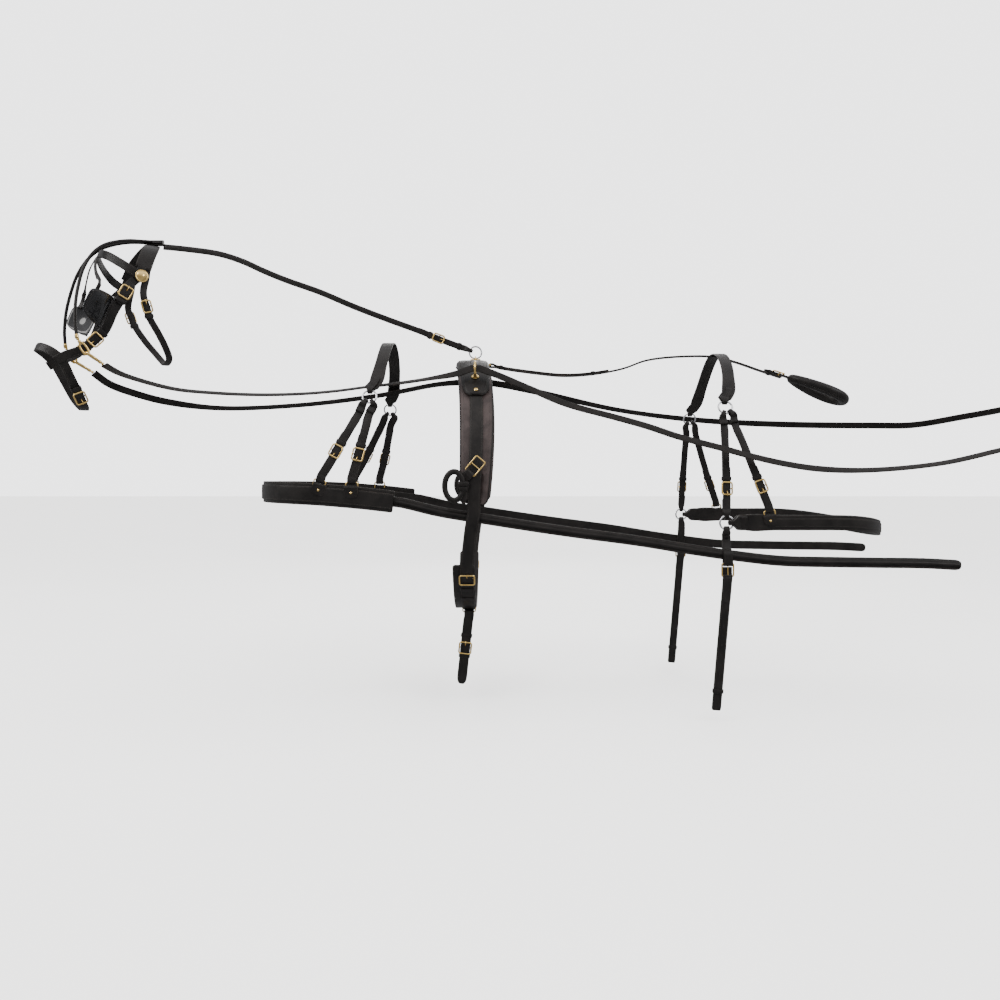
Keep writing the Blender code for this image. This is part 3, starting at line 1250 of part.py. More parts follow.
def breeching_and_holdbacks():
    ends = {}
    for label, side in SIDES:
        centre = breeching_ring_centre(side)
        ring(f"breeching_ring_{label}", centre, LATERAL, BREECHING_RING_RADIUS, RING_WIRE, STEEL)
        ends[side] = seat_of(centre + ALONG * BREECHING_RING_RADIUS, -ALONG, (0, side, 0), RING_WIRE,
                             BREECHING_RING_RADIUS, BODY_THICK, EYE_WIDTH)
    made, _ = eyed("breeching", rump_rows(BODY_THICK / 2), BODY_THICK, LEATHER, BREECHING_WIDTH * 0.8,
                   start=(ends[NEAR], RING_WIRE, BREECHING_RING_RADIUS, EYE_TAIL / 2, BODY_THICK + GAP),
                   end=(ends[FAR], RING_WIRE, BREECHING_RING_RADIUS, EYE_TAIL / 2, BODY_THICK + GAP))
    for label, side in SIDES:
        up = unit((-math.tan(BRACE_DEE_TURN), 0, 1))
        fuse(made, dee(f"breeching_dee_{label}", brace_bar(side), up.cross(LATERAL), up, HIP_FORK_WIDTH))
        carrier(label, side)


def carrier(label, side):
    """The strap under a breeching ring that the trace runs through, and the hold-back below it."""
    centre = breeching_ring_centre(side)
    line = trace_line(side)
    reach = abs(line[:, 0] - centre.x)
    share = np.argsort(reach)[:2]
    y, z = line[share, 1].mean(), line[share, 2].mean()
    half = TRACE_THICK / 2 + 2 * GAP + STRAP_THICK / 2
    tall = TRACE_WIDTH / 2 + 4 * GAP
    outward = Vector((0, side, 0))
    low = centre - UP * BREECHING_RING_RADIUS
    first = seat_of(low, UP, outward, RING_WIRE, BREECHING_RING_RADIUS, STRAP_THICK, EYE_WIDTH)
    inner = y - side * half
    outer = y + side * half
    rows = [first[1], first[0],
            row((centre.x, (first[1][1] + inner) / 2, z + tall + CARRIER_EASE), outward, HOLDBACK_WIDTH),
            row((centre.x, inner, z + tall), outward, HOLDBACK_WIDTH),
            row((centre.x, inner, z), outward, HOLDBACK_WIDTH),
            row((centre.x, inner, z - tall), outward, HOLDBACK_WIDTH)]
    turned = []
    bottom = z - tall - CARRIER_EASE / 2
    for i in range(7):
        turn = math.pi * i / 6
        turned.append(row((centre.x, y - side * half * math.cos(turn), bottom - half * math.sin(turn)),
                          outward * math.cos(turn) + UP * math.sin(turn), HOLDBACK_WIDTH))
    rows = rows + turned
    rows += [row((centre.x, outer, z - tall), -outward, HOLDBACK_WIDTH),
             row((centre.x, outer, z), -outward, HOLDBACK_WIDTH),
             row((centre.x, outer, z + tall), -outward, HOLDBACK_WIDTH)]
    tail = fold(rows[::-1], RING_WIRE, BREECHING_RING_RADIUS, STRAP_THICK, EYE_TAIL / 6,
                STRAP_THICK + GAP, EYE_WIDTH)
    strap(f"trace_carrier_{label}", tail[::-1] + rows, STRAP_THICK, LEATHER)

    bar_z = bottom - half + STRAP_THICK / 2 + GAP + WIRE
    bar = Vector((centre.x, y, bar_z))
    half_w = HOLDBACK_WIDTH / 2 + BUCKLE_CLEAR + WIRE
    fall = BUCKLE_LENGTH
    corners = [bar + ALONG * x - UP * d for x, d in ((-half_w, 0), (half_w, 0), (half_w, fall), (-half_w, fall))]
    frame = tube(f"holdback_{label}", corners, WIRE, BRASS, closed=True)
    top = bar_z - fall
    rows = [row((centre.x - HOLDBACK_LEAN * s, y, top + WIRE - HOLDBACK_LENGTH * s), outward,
                HOLDBACK_WIDTH) for s in (0, 0.25, 0.5, 0.75, 1)]
    fuse(frame, strap(f"holdback_strap_{label}", rows, STRAP_THICK, LEATHER, True))


# Reins: each route is in metres, chosen by hand, from the snap at the bit to the driver's end
NEAR_REIN = ((-1.003, -0.163, 0.009), (-0.968, -0.165, -0.011), (-0.916, -0.165, -0.030),
             (-0.811, -0.163, -0.057), (-0.709, -0.160, -0.067), (-0.582, -0.158, -0.072),
             (-0.461, -0.156, -0.069), (-0.368, -0.155, -0.061), (-0.293, -0.155, -0.051),
             (-0.195, -0.160, -0.040), (-0.124, -0.164, -0.030), (-0.039, -0.168, -0.015),
             (0.008, -0.168, 0.000), (0.043, -0.170, -0.010), (0.157, -0.180, -0.058),
             (0.253, -0.210, -0.102), (0.373, -0.250, -0.139), (0.456, -0.275, -0.165),
             (0.539, -0.287, -0.194), (0.644, -0.291, -0.222), (0.722, -0.289, -0.243),
             (0.813, -0.282, -0.263), (0.907, -0.270, -0.276), (1.047, -0.250, -0.279),
             (1.252, -0.225, -0.260), (1.415, -0.205, -0.225), (1.470, -0.200, -0.213))
FAR_REIN = ((-1.107, -0.006, 0.007), (-1.075, 0.020, -0.022), (-1.001, 0.060, -0.051),
            (-0.929, 0.090, -0.069), (-0.788, 0.130, -0.084), (-0.544, 0.152, -0.073),
            (-0.297, 0.160, -0.042), (-0.110, 0.168, -0.006), (0.008, 0.168, 0.000),
            (0.060, 0.170, -0.004), (0.198, 0.187, -0.030), (0.459, 0.255, -0.080),
            (0.721, 0.285, -0.110), (0.976, 0.265, -0.125), (1.258, 0.215, -0.132),
            (1.375, 0.190, -0.132), (1.512, 0.160, -0.109), (1.619, 0.140, -0.089),
            (1.670, 0.132, -0.076))


def reins():
    for name, route, side in (("rein_near", NEAR_REIN, NEAR), ("rein_far", FAR_REIN, FAR)):
        rows = []
        for x, y, z in route:
            share = min(max((x + CHEST_REACH) / CHEST_REACH, 0), 1)
            outward = Vector((0, side * share, 1 - share * 0.85)).normalized()
            rows.append(row((x, y, z), outward, REIN_WIDTH))
        strap(name, smooth(rows, REIN_STEP), REIN_THICK, LEATHER)


# Bearing rein and snaps

# The bearing rein's route in metres, chosen by hand, from behind the poll to the saddle ring
BEARING_REIN = ((-0.9060, 0, 0.3755), (-0.841, 0, 0.369), (-0.744, 0, 0.355), (-0.677, 0, 0.334),
                (-0.613, 0, 0.305), (-0.549, 0, 0.279), (-0.450, 0, 0.244), (-0.353, 0, 0.203),
                (-0.254, 0, 0.165), (-0.158, 0, 0.130), (-0.102, 0, 0.107), (-0.060, 0, 0.091))


def bearing_rein():
    """The flat strap from the poll to the ring on the saddle, on edge, buckled on itself."""
    toward = unit((1, 0, -0.4))
    wire_point = saddle_ring_centre() - toward * SADDLE_RING_RADIUS
    last = seat_of(wire_point, toward, -LATERAL, RING_WIRE, SADDLE_RING_RADIUS, STRAP_THICK, CHECK_WIDTH * 0.6)
    rows = []
    for point in BEARING_REIN:
        share = (point[0] - BEARING_REIN[0][0]) / (last[1][0] - BEARING_REIN[0][0])
        rows.append(row((point[0], last[1][1] * share, point[2]), -LATERAL, CHECK_WIDTH))
    made, line = eyed("check_rein", rows, STRAP_THICK, LEATHER, CHECK_WIDTH,
                      end=(last, RING_WIRE, SADDLE_RING_RADIUS, CHECK_TAIL, billet_level()))
    point, heading, outward = along_rows(line, CHECK_TAIL - BUCKLE_LENGTH)
    fit_buckle("check_buckle", made, made, point + outward * STRAP_THICK / 2, heading, outward, CHECK_WIDTH)


def snaps():
    """Snap hooks: one hangs from each check strap, and each rein's snap is clipped into it."""
    for label, side in SIDES:
        top = head(*CHECK_SHARES[0], side)
        link = head(*LINK_SHARES, side)
        rein = Vector((NEAR_REIN if side == NEAR else FAR_REIN)[0])
        snap(f"check_snap_{label}", top, link, head_vector(0, side, 0), GAP)
        across = (rein - link).normalized().cross(head_vector(0, side, 0)).normalized()
        snap(f"rein_snap_{label}", rein, link, across, GAP if side == NEAR else -2 * GAP)


def snap(name, start, link, facing, clear):
    """A snap: an eye, a neck and a long hook whose bow ends round the link."""
    down = (link - start).normalized()
    facing = (facing - down * facing.dot(down)).normalized()
    side = facing.cross(down)
    length = (link - start).length + SNAP_WIRE * 1.6
    half = SNAP_HALF
    eye_point = start + down * (SNAP_WIRE + clear)
    bow = []
    for x, d in ((0, 0.30), (0.85, 0.45), (1, 0.60), (0.9, 0.85), (0.5, 0.97), (0, 1.0), (-0.5, 0.97),
                 (-0.9, 0.85), (-1, 0.60), (-0.85, 0.45)):
        bow.append(start + down * length * d + side * half * x)
    hook = tube(name, bow, SNAP_WIRE, BRASS, closed=True)
    neck = tube(f"{name}_neck", [eye_point, start + down * length * 0.34], SNAP_WIRE * 1.5, BRASS, True)
    fuse(hook, neck)


def main():
    bridle()
    breast()
    traces()
    saddle()
    girths()
    tugs()
    rear()
    reins()
    bearing_rein()
    snaps()


main()
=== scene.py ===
"""A single-horse driving harness, dressed in leather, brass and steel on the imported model's frame."""
import json
import math

import bmesh
import bpy
import numpy as np
from bpy.props import FloatProperty, FloatVectorProperty, IntProperty, PointerProperty
from mathutils import Matrix, Vector

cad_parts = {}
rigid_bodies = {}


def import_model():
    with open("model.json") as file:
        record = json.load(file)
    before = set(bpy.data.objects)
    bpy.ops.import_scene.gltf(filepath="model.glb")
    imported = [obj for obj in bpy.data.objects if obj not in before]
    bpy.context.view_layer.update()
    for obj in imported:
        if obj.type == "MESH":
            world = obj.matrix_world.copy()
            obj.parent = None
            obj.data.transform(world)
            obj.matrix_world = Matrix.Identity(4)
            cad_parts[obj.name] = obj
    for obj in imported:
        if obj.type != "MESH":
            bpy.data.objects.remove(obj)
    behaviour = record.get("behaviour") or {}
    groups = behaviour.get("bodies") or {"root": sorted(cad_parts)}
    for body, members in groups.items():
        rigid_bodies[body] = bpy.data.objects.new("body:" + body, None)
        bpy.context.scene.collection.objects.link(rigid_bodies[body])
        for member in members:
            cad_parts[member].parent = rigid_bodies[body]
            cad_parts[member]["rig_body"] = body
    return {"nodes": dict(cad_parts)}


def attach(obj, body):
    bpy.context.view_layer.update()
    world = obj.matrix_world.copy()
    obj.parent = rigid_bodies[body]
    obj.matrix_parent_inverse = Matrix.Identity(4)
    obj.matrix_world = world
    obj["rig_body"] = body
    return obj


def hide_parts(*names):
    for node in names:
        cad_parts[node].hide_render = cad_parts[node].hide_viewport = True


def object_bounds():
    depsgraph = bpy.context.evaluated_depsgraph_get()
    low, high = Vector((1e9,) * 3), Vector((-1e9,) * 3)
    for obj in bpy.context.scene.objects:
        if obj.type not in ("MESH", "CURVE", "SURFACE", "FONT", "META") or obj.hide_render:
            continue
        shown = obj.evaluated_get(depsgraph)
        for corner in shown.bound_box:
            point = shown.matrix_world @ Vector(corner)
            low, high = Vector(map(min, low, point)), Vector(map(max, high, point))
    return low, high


bl_info = {
    "name": "Driving Harness",
    "version": (1, 0, 0),
    "blender": (4, 5, 0),
    "location": "View3D > Sidebar > Harness",
    "description": "Builds a driving harness for one horse, strap by strap",
    "category": "Add Mesh",
}

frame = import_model()
CAD_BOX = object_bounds()

# Named sizes of the harness, in metres, as its CAD source has them

# Running clearance between pieces, and how far fused pieces bite into each other
GAP = 0.0003
BITE = 0.0012

# Leather: thickness and width of each kind of strap
STRAP_THICK = 0.0042
THIN_THICK = 0.0030
PAD_THICK = 0.0160
BODY_THICK = 0.0090
TRACE_THICK = 0.0080
CHEEK_WIDTH = 0.0240
CROWN_WIDTH = 0.0420
THROAT_WIDTH = 0.0190
NOSE_WIDTH = 0.0230
CHECK_WIDTH = 0.0170
REIN_WIDTH = 0.0240
REIN_THICK = 0.0032
COLLAR_WIDTH = 0.0580
NECK_WIDTH = 0.0340
FORK_WIDTH = 0.0230
TRACE_WIDTH = 0.0270
BAND_WIDTH = 0.0340
GIRTH_WIDTH = 0.0600
HIP_WIDTH = 0.0330
HIP_FORK_WIDTH = 0.0200
BREECHING_WIDTH = 0.0400
HOLDBACK_WIDTH = 0.0240
BACK_STRAP_WIDTH = 0.0200
ROLL_RADIUS = 0.0045
DOCK_RADIUS = 0.0150
TUG_ROLL_RADIUS = 0.0075

# Metal: wires and rings
WIRE = 0.0019
RING_WIRE = 0.0024
RING_RADIUS = 0.0185
BREECHING_RING_RADIUS = 0.0175
TERRET_WIRE = 0.0030
TERRET_RADIUS = 0.0190
SADDLE_RING_RADIUS = 0.0175
BUCKLE_LENGTH = 0.0320
BUCKLE_CORNER = 0.0050
BUCKLE_CLEAR = 0.0010
TONGUE_RADIUS = 0.0011
EYE_WIDTH = 0.0130
EYE_TAIL = 0.0300
EYE_EASE = 0.0120

# The horse's trunk: the saddle section, and where the collar, neck strap and breeching lie
BARREL_HALF = 0.2620
BARREL_DROP = 0.3540
BELLY_DROP = 0.3160
CHEST_REACH = 0.5950
CHEST_ROUND = 0.1600
CHEST_HALF = 0.2500
COLLAR_END = 0.2020
COLLAR_DROP = 0.3370
COLLAR_FALL = 0.0250
NECK_REACH = 0.2450
NECK_RISE = 0.0890
NECK_DROP = 0.4100
NECK_RING_ANGLE = math.radians(55)
NECK_LEAN = 0.1490
CROUP_REACH = 0.7070
CROUP_RISE = 0.0540
CROUP_HALF = 0.2620
CROUP_DROP = 0.4400
CROUP_LEAN = 0.2030
HIP_RING_ANGLE = math.radians(52)
RUMP_REACH = 1.1450
RUMP_ROUND = 0.2000
RUMP_HALF = 0.2640
BREECHING_DROP = 0.4160
BREECHING_SAG = 0.0280

# The horse's head, turned to the near side
POLL_REACH = 0.9460
POLL_RISE = 0.3810
HEAD_LENGTH = 0.5800
HEAD_WIDTH = 0.2000
HEAD_TURN = math.radians(35)

# Traces, reins and straps that hang
TRACE_LENGTH = 1.4670
TRACE_DROP = 0.1630
TRACE_BULGE = 0.0160
HOLDBACK_LENGTH = 0.3480
HANGING_LENGTH = 0.2050

# Fineness of the smooth runs
STEP = 0.0550
DENSE_COUNT = 24

# Where straps turn round bars and rings
BAR_SHARE = 0.9
BUCKLE_SET = 0.0134
RING_PLAY = 0.0007
FOLD_STEPS = 5

# Rosettes, blinkers and their stay
ROSETTE_RADIUS = 0.0175
BLINKER_THICK = 0.0060
BLINKER_CROWN = 0.0100
BLINKER_ROUND_SHARE = 0.22
STAY_WIDTH = 0.0120
STAY_PLACE_SHARE = 0.72

# Check straps, bearing rein and snaps
LINK_SHARES = (0.315, 0.500, -0.593)
JOIN_REACH = 0.9064
JOIN_RISE = 0.3862
CHECK_TAIL = 0.1300
SNAP_WIRE = 0.0018
SNAP_HALF = 0.0075

# Forks and braces: where each is sewn on, its buckle's share of its length and its turn at the ring
FORKS = (("front", 0.3940, 0.36, math.radians(36)), ("rear", 0.3120, 0.34, math.radians(-26)))
FORK_EYE_WIDTH = 0.0100
FORK_DEE_TURN = math.radians(16)
BRACE_DEE_TURN = math.radians(8)
HIP_FORK_TURN = math.radians(20)
HIP_BRACE_TURN = math.radians(40)
HIP_FORK_SHARE = 0.26
HIP_BRACE_SHARE = 0.24
BRACE_REACH = 0.7760

# Saddle, terrets and check hook
SADDLE_PLACE = 0.0060
SADDLE_BULGE = 0.0200
SADDLE_WIDTH = 0.0920
SKIRT_WIDTH = 0.0720
SEAT_THICK = 0.0220
SEAT_TAPER_SHARE = 0.36
SEAT_ANGLE = math.radians(42)
TERRET_ANGLE = math.radians(30)
HOOK_REACH = 0.0045
HOOK_PLATE = 0.0030
HOOK_LENGTH = 0.0300

# Girth, belly band, back band and the strap that hangs from them
GIRTH_THICK = 0.0060
GIRTH_ANGLE = math.radians(56)
GIRTH_REACH = 0.0210
BAND_BUCKLE_ANGLE = math.radians(49)
BAND_LEAN = 0.0150
BAND_PLACE = 0.0120
TRACE_CROSS_DROP = 0.4020
HANGING_WIDTH = 0.0280
HANGING_LEAN = 0.0220
STATIONS = tuple(math.radians(a) for a in (0, 12, 22, 32, 42, 52, 62, 72, 82, 92))
BELLY_STATIONS = tuple(BAND_BUCKLE_ANGLE * i / 4 for i in range(5))

# Tugs
TUG_REACH = 0.0425
TUG_CENTRE_DROP = 0.3205
TUG_HALF_WIDTH = 0.0240
TUG_HALF_HEIGHT = 0.0370
TUG_TILT = math.radians(50)
TUG_BUCKLE_REACH = 0.0123
TUG_BUCKLE_DROP = 0.2690
TUG_BUCKLE_LENGTH = 0.0460
TUG_EYE_WIDTH = 0.0240

# Crupper
CRUPPER_END = 0.9350
BACK_TAIL = 0.3300
DOCK_LENGTH = 0.1600
DOCK_SINK = 0.0140
DOCK_HALF = 0.0450

# Breeching, trace carriers and hold-backs
BREECHING_REACH = 0.6640
CARRIER_EASE = 0.0060
HOLDBACK_LEAN = 0.0300

# The sides, and the ways of the model's frame
NEAR = -1.0
FAR = 1.0
SIDES = (("near", NEAR), ("far", FAR))
ALONG = Vector((1, 0, 0))
LATERAL = Vector((0, 1, 0))
UP = Vector((0, 0, 1))

# Fineness of the dressed work: the step along a strap and at a turn, and the parts of round work
RUN = 0.010
FINE = 0.006
FOLD_TURNS = 10
LOOP_STEPS = 56
SEAT_STEPS = 24
BAND_STEPS = 14
ARCH_STEPS = 14
BEND_STEPS = 12
BLINKER_STEPS = 24

# How far from a ring a strap is back to its full width, and its share of that width at the ring;
# a wide strap narrows less
NECK_IN = 0.012
NECK_SHARE = 0.85
WIDE_STRAP = 0.030
WIDE_NECK_IN = NECK_IN * 0.6
WIDE_NECK_SHARE = 0.95

# Where the forks stop on the chest, where they and the braces stop on the croup, and their rows
FORK_STOP_ANGLE = math.radians(80)
HIP_STOP_ANGLE = math.radians(78)
SECTION_ROWS = 4

# Wires of cast frames, as shares of the plain wire's radius
FRAME_WIRE_SHARE = 1.15
SNAP_WIRE_SHARE = 1.8

# Loops, tabs and studs of the dressed work
KEEPER_WIRE = 0.0009
KEEPER_PLAY = 0.0012
KEEPER_CORNER = 0.0022
LOOP_EASE = 0.0006
CHAPE_THICK = 0.0026
HOLE_RISE = 0.0003
RIVET_RISE = 0.0018
INNER_PLY_SHARE = 0.70

# The camera: its focal length as a share of the picture's width, its place and its shift
CAMERA_FOCUS = 0.846
CAMERA_PLACE = (0.076, -2.47, -0.305)
CAMERA_SHIFT = -0.02

# Studio: the floor, the sun that stands for the sky, and what the backdrop gives below, above and in view
FLOOR_GAP = 0.03
FLOOR_REACH = 30.0
SUN_POWER = 7.5
SUN_SPREAD = 1.4
SKY_SHARES = (0.40, 1.25)
SKY_PLACES = (0.05, 0.85)
BACKDROP = (3.2, 3.2, 3.22, 1)
# Name, place, target, size, power and colour of each soft light
LAMPS = (
    ("window", (-3.0, -2.4, 3.2), (0, 0, -0.2), 2.0, 95, (1.0, 0.985, 0.96)),
    ("bounce", (3.4, -1.8, 1.9), (0.2, 0, -0.3), 1.8, 45, (0.96, 0.98, 1.0)),
    ("glint", (-3.7, -1.2, 1.1), (-1.0, -0.1, 0.15), 0.6, 30, (1.0, 1.0, 1.0)),
    ("behind", (0.4, 3.4, 1.6), (0, 0, -0.2), 2.4, 40, (1.0, 0.99, 0.97)),
)


def length(name, description, default, low, high):
    """A setting that is a length in metres."""
    return FloatProperty(name=name, description=description, default=default, min=low, max=high,
                         unit="LENGTH", precision=4)


def tint(name, where, *default):
    """A setting that is a colour."""
    return FloatVectorProperty(name=name, description=f"Colour of {where}", subtype="COLOR", size=3,
                               min=0, max=1, default=default)


class HarnessSizes(bpy.types.PropertyGroup):
    """Sizes of the leatherwork and the fittings."""

    edge: length("Strap edge", "Radius that a strap's edges are rounded to", 0.0012, 0.0002, 0.003)
    crown: length("Strap crown", "How far a strap's outer face swells in the middle", 0.0004, 0, 0.002)
    stitch_pitch: length("Stitch spacing", "Distance from one stitch to the next", 0.0046, 0.002, 0.02)
    stitch_length: length("Stitch length", "Length of thread that shows in a stitch", 0.0033, 0.001, 0.02)
    thread: length("Thread", "Thickness of the sewing thread", 0.0009, 0.0003, 0.003)
    seam_inset: length("Seam inset", "Distance of a seam from the strap's edge", 0.0032, 0.001, 0.01)
    hole: length("Punched hole", "Diameter of a buckle hole", 0.0038, 0.001, 0.008)
    hole_pitch: length("Hole spacing", "Distance from one buckle hole to the next", 0.025, 0.01, 0.06)
    rivet: length("Rivet", "Diameter of a rivet's head", 0.0070, 0.002, 0.02)
    keeper: length("Keeper", "Width of the leather loop behind a buckle", 0.0100, 0.004, 0.03)


class HarnessLook(bpy.types.PropertyGroup):
    """Colours and fineness of the finishes."""

    leather: tint("Leather", "the strap leather", 0.0062, 0.0051, 0.0046)
    worn: tint("Worn leather", "leather rubbed at an edge", 0.026, 0.019, 0.015)
    panel: tint("Panel leather", "the saddle's padded panels", 0.030, 0.0215, 0.0205)
    patent: tint("Patent leather", "the blinkers", 0.0024, 0.0024, 0.0027)
    brass: tint("Brass", "buckles, dees and terrets", 0.90, 0.64, 0.25)
    steel: tint("Steel", "the loose rings", 0.74, 0.74, 0.76)
    rein: tint("Rein leather", "the driving reins", 0.0060, 0.0048, 0.0042)
    thread: tint("Thread", "the sewing thread", 0.030, 0.025, 0.021)
    ground: tint("Floor", "the studio floor", 0.84, 0.835, 0.825)
    grain: length("Grain", "Size of the leather's grain", 0.0011, 0.0003, 0.01)
    ring_steps: IntProperty(name="Ring steps", description="Flats round a loose ring", default=56,
                            min=12, max=128)


def sizes():
    return bpy.context.scene.harness_sizes


def look():
    return bpy.context.scene.harness_look


# Shapes


class Shape:
    """Points, faces and UVs of one piece while it is put together.

    U runs across a strap from 0 to 1 and stays at the middle on round work; V is metres along.
    """

    def __init__(self):
        self.points, self.faces, self.corners, self.flat = [], [], [], []
        self.count = 0

    def grid(self, rings, across=None, loop=False):
        """Faces between rings of points, each ring closed on itself."""
        rings = np.asarray(rings, float)
        count, around = rings.shape[:2]
        run = run_along(rings[:, 0])
        if loop:
            run = np.append(run, run[-1] + np.linalg.norm(rings[0, 0] - rings[-1, 0]))
        across = np.full((count, around), 0.5) if across is None else across
        for i in range(count if loop else count - 1):
            k = (i + 1) % count
            for j in range(around):
                m = (j + 1) % around
                self.faces.append([self.count + n for n in
                                   (i * around + j, i * around + m, k * around + m, k * around + j)])
                self.corners += [(across[i, j], run[i]), (across[i, m], run[i]),
                                 (across[k, m], run[i + 1]), (across[k, j], run[i + 1])]
        if not loop:
            for i, order in ((0, range(around)[::-1]), (count - 1, range(around))):
                self.flat.append(len(self.faces))
                self.faces.append([self.count + i * around + j for j in order])
                self.corners += [(across[i, j], run[i]) for j in order]
        self.points.append(rings.reshape(-1, 3))
        self.count += count * around

    def make(self, name, material):
        """The finished mesh object at the origin, its faces pointing outwards."""
        data = bpy.data.meshes.new(name)
        data.from_pydata(np.vstack(self.points), [], self.faces)
        layer = data.uv_layers.new(name="strap")
        layer.data.foreach_set("uv", np.asarray(self.corners, np.float32).ravel())
        smooth_faces = np.ones(len(self.faces), bool)
        smooth_faces[self.flat] = False
        data.polygons.foreach_set("use_smooth", smooth_faces)
        body = bmesh.new()
        body.from_mesh(data)
        bmesh.ops.recalc_face_normals(body, faces=body.faces)
        body.to_mesh(data)
        body.free()
        data.materials.append(material)
        return add_object(name, data)


def add_object(name, data):
    """A new object in the scene."""
    made = bpy.data.objects.new(name, data)
    bpy.context.scene.collection.objects.link(made)
    return made


def unit_rows(values):
    return values / np.maximum(np.linalg.norm(values, axis=1), 1e-9)[:, None]


def run_along(points):
    """The distance along a line at each of its points."""
    return np.concatenate([[0], np.cumsum(np.linalg.norm(np.diff(points, axis=0), axis=1))])


def at_run(values, run, at):
    """A line's values at a distance along it."""
    return np.array([np.interp(at, run, column) for column in values.T])


def length_of(rows):
    """The length of a strap's own line."""
    return float(np.linalg.norm(np.diff(rows[:, :3], axis=0), axis=1).sum())


def strap_axes(rows):
    """Across and outward at each of a strap's rows."""
    rows = np.asarray(rows, float)
    heading = unit_rows(np.gradient(rows[:, :3], axis=0))
    across = unit_rows(np.cross(heading, rows[:, 3:6]))
    return across, unit_rows(np.cross(across, heading))


def strap(shape, rows, thick, edge=None, crown=None):
    """A strap with rounded edges and a swelling outer face."""
    rows = np.asarray(rows, float)
    across, outward = strap_axes(rows)
    half, deep = rows[:, 6] / 2, thick / 2
    radius = min(sizes().edge if edge is None else edge, deep * 0.95)
    swell = sizes().crown if crown is None else crown
    inset = np.minimum(radius, half * 0.45)
    soft = inset * (1 - math.sqrt(0.5))
    lean = radius * (1 - math.sqrt(0.5))
    shoulder = half - np.minimum(radius * 3, half * 0.7)
    none = np.zeros(len(rows))
    right = [(half, deep - radius), (half - soft, deep - lean), (half - inset, deep),
             (half - inset * 1.35, deep + swell * 0.12)]
    top = [(shoulder, deep + swell * 0.35), (half * 0.45, deep + swell * 0.8), (none, deep + swell),
           (-half * 0.45, deep + swell * 0.8), (-shoulder, deep + swell * 0.35)]
    left = [(-a, b) for a, b in right[::-1]]
    low_left = [(a, -b) for a, b in left[::-1]]
    low_right = [(a, -b) for a, b in right[::-1]]
    profile = right + top + left + low_left + low_right
    rings = np.stack([rows[:, :3] + across * (a + none)[:, None] + outward * b for a, b in profile], axis=1)
    share = np.stack([0.5 + (a + none) / (2 * half) for a, _ in profile], axis=1)
    shape.grid(rings, share)


def tube(shape, points, radius, sides, loop=False, wide=None, box=1.0, ends=True):
    """Round work along points; wide is its half width out of the curve's plane, box squares it off."""
    points = np.asarray([tuple(p) for p in points], float)
    radii = np.full(len(points), radius) if np.isscalar(radius) else np.asarray(radius, float)
    if loop:
        heading = unit_rows(np.roll(points, -1, axis=0) - np.roll(points, 1, axis=0))
    else:
        heading = unit_rows(np.gradient(points, axis=0))
    if loop or wide:
        normal = np.linalg.svd(points - points.mean(axis=0))[2][2]
        axes = [normal] * len(points)
    else:
        start = min(np.eye(3), key=lambda a: abs(a @ heading[0]))
        axes = [start - heading[0] * (start @ heading[0])]
        for way in heading[1:]:
            axes.append(axes[-1] - way * (axes[-1] @ way))
    axes = unit_rows(np.array(axes))
    other = unit_rows(np.cross(heading, axes))
    turns = np.linspace(0, 2 * math.pi, sides, endpoint=False)
    cos, sin = np.cos(turns), np.sin(turns)
    cos, sin = np.sign(cos) * abs(cos) ** box, np.sign(sin) * abs(sin) ** box
    tall = radii if wide is None else np.full(len(points), wide)
    rings = (points[:, None] + axes[:, None] * (cos[None, :, None] * tall[:, None, None])
             + other[:, None] * (sin[None, :, None] * radii[:, None, None]))
    if ends and not loop:
        rings = rounded_ends(rings, points, heading, radii)
    shape.grid(rings, loop=loop)


def rounded_ends(rings, points, heading, radii):
    """Rings with two smaller ones added beyond either end."""
    rings = list(rings)
    for at, way in ((0, -1), (-1, 1)):
        extra = []
        for share in (0.5, 0.87):
            small = math.sqrt(1 - share ** 2)
            middle = points[at] + heading[at] * radii[at] * share * way
            extra.append(middle + (rings[at] - points[at]) * small)
        rings = extra[::-1] + rings if way < 0 else rings + extra
    return np.array(rings)


def turned(shape, profile, origin, axis, sides=28):
    """Turned work: each place of the profile is a radius and a height along the axis."""
    axis = unit(axis)
    matrix = axis.to_track_quat("Z", "Y").to_matrix()
    rings = []
    for radius, height in profile:
        rings.append([tuple(Vector(origin) + axis * height + matrix @ Vector(
            (radius * math.cos(2 * math.pi * i / sides), radius * math.sin(2 * math.pi * i / sides), 0)))
            for i in range(sides)])
    shape.grid(rings)


def ring(shape, centre, axis, radius, wire):
    """A loose ring, true to its bore."""
    steps = look().ring_steps
    matrix = unit(axis).to_track_quat("Z", "Y").to_matrix()
    reach = radius / math.cos(math.pi / steps)
    points = [Vector(centre) + matrix @ Vector((reach * math.cos(2 * math.pi * i / steps),
                                                reach * math.sin(2 * math.pi * i / steps), 0))
              for i in range(steps)]
    tube(shape, points, wire, loop=True, sides=14, wide=wire)


def rounded_loop(half_l, half_w, corner, steps=4):
    """A rectangle with round corners, as places in its own plane."""
    places = []
    for sx, sy, first in ((1, 1, 0), (-1, 1, 90), (-1, -1, 180), (1, -1, 270)):
        for i in range(steps + 1):
            turn = math.radians(first + 90 * i / steps)
            places.append((sx * (half_l - corner) + corner * math.cos(turn),
                           sy * (half_w - corner) + corner * math.sin(turn)))
    return places


# Pieces, their bodies and what they stand for


def piece(shape, name, finish, node, *stands_for):
    """A finished piece that rides on a CAD node's body and may stand for CAD nodes."""
    return settle(shape.make(name, finish_named(finish)), finish, node, *stands_for)


def settle(made, finish, node, *stands_for):
    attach(made, frame["nodes"][node]["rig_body"])
    if stands_for:
        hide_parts(*stands_for)
    return made


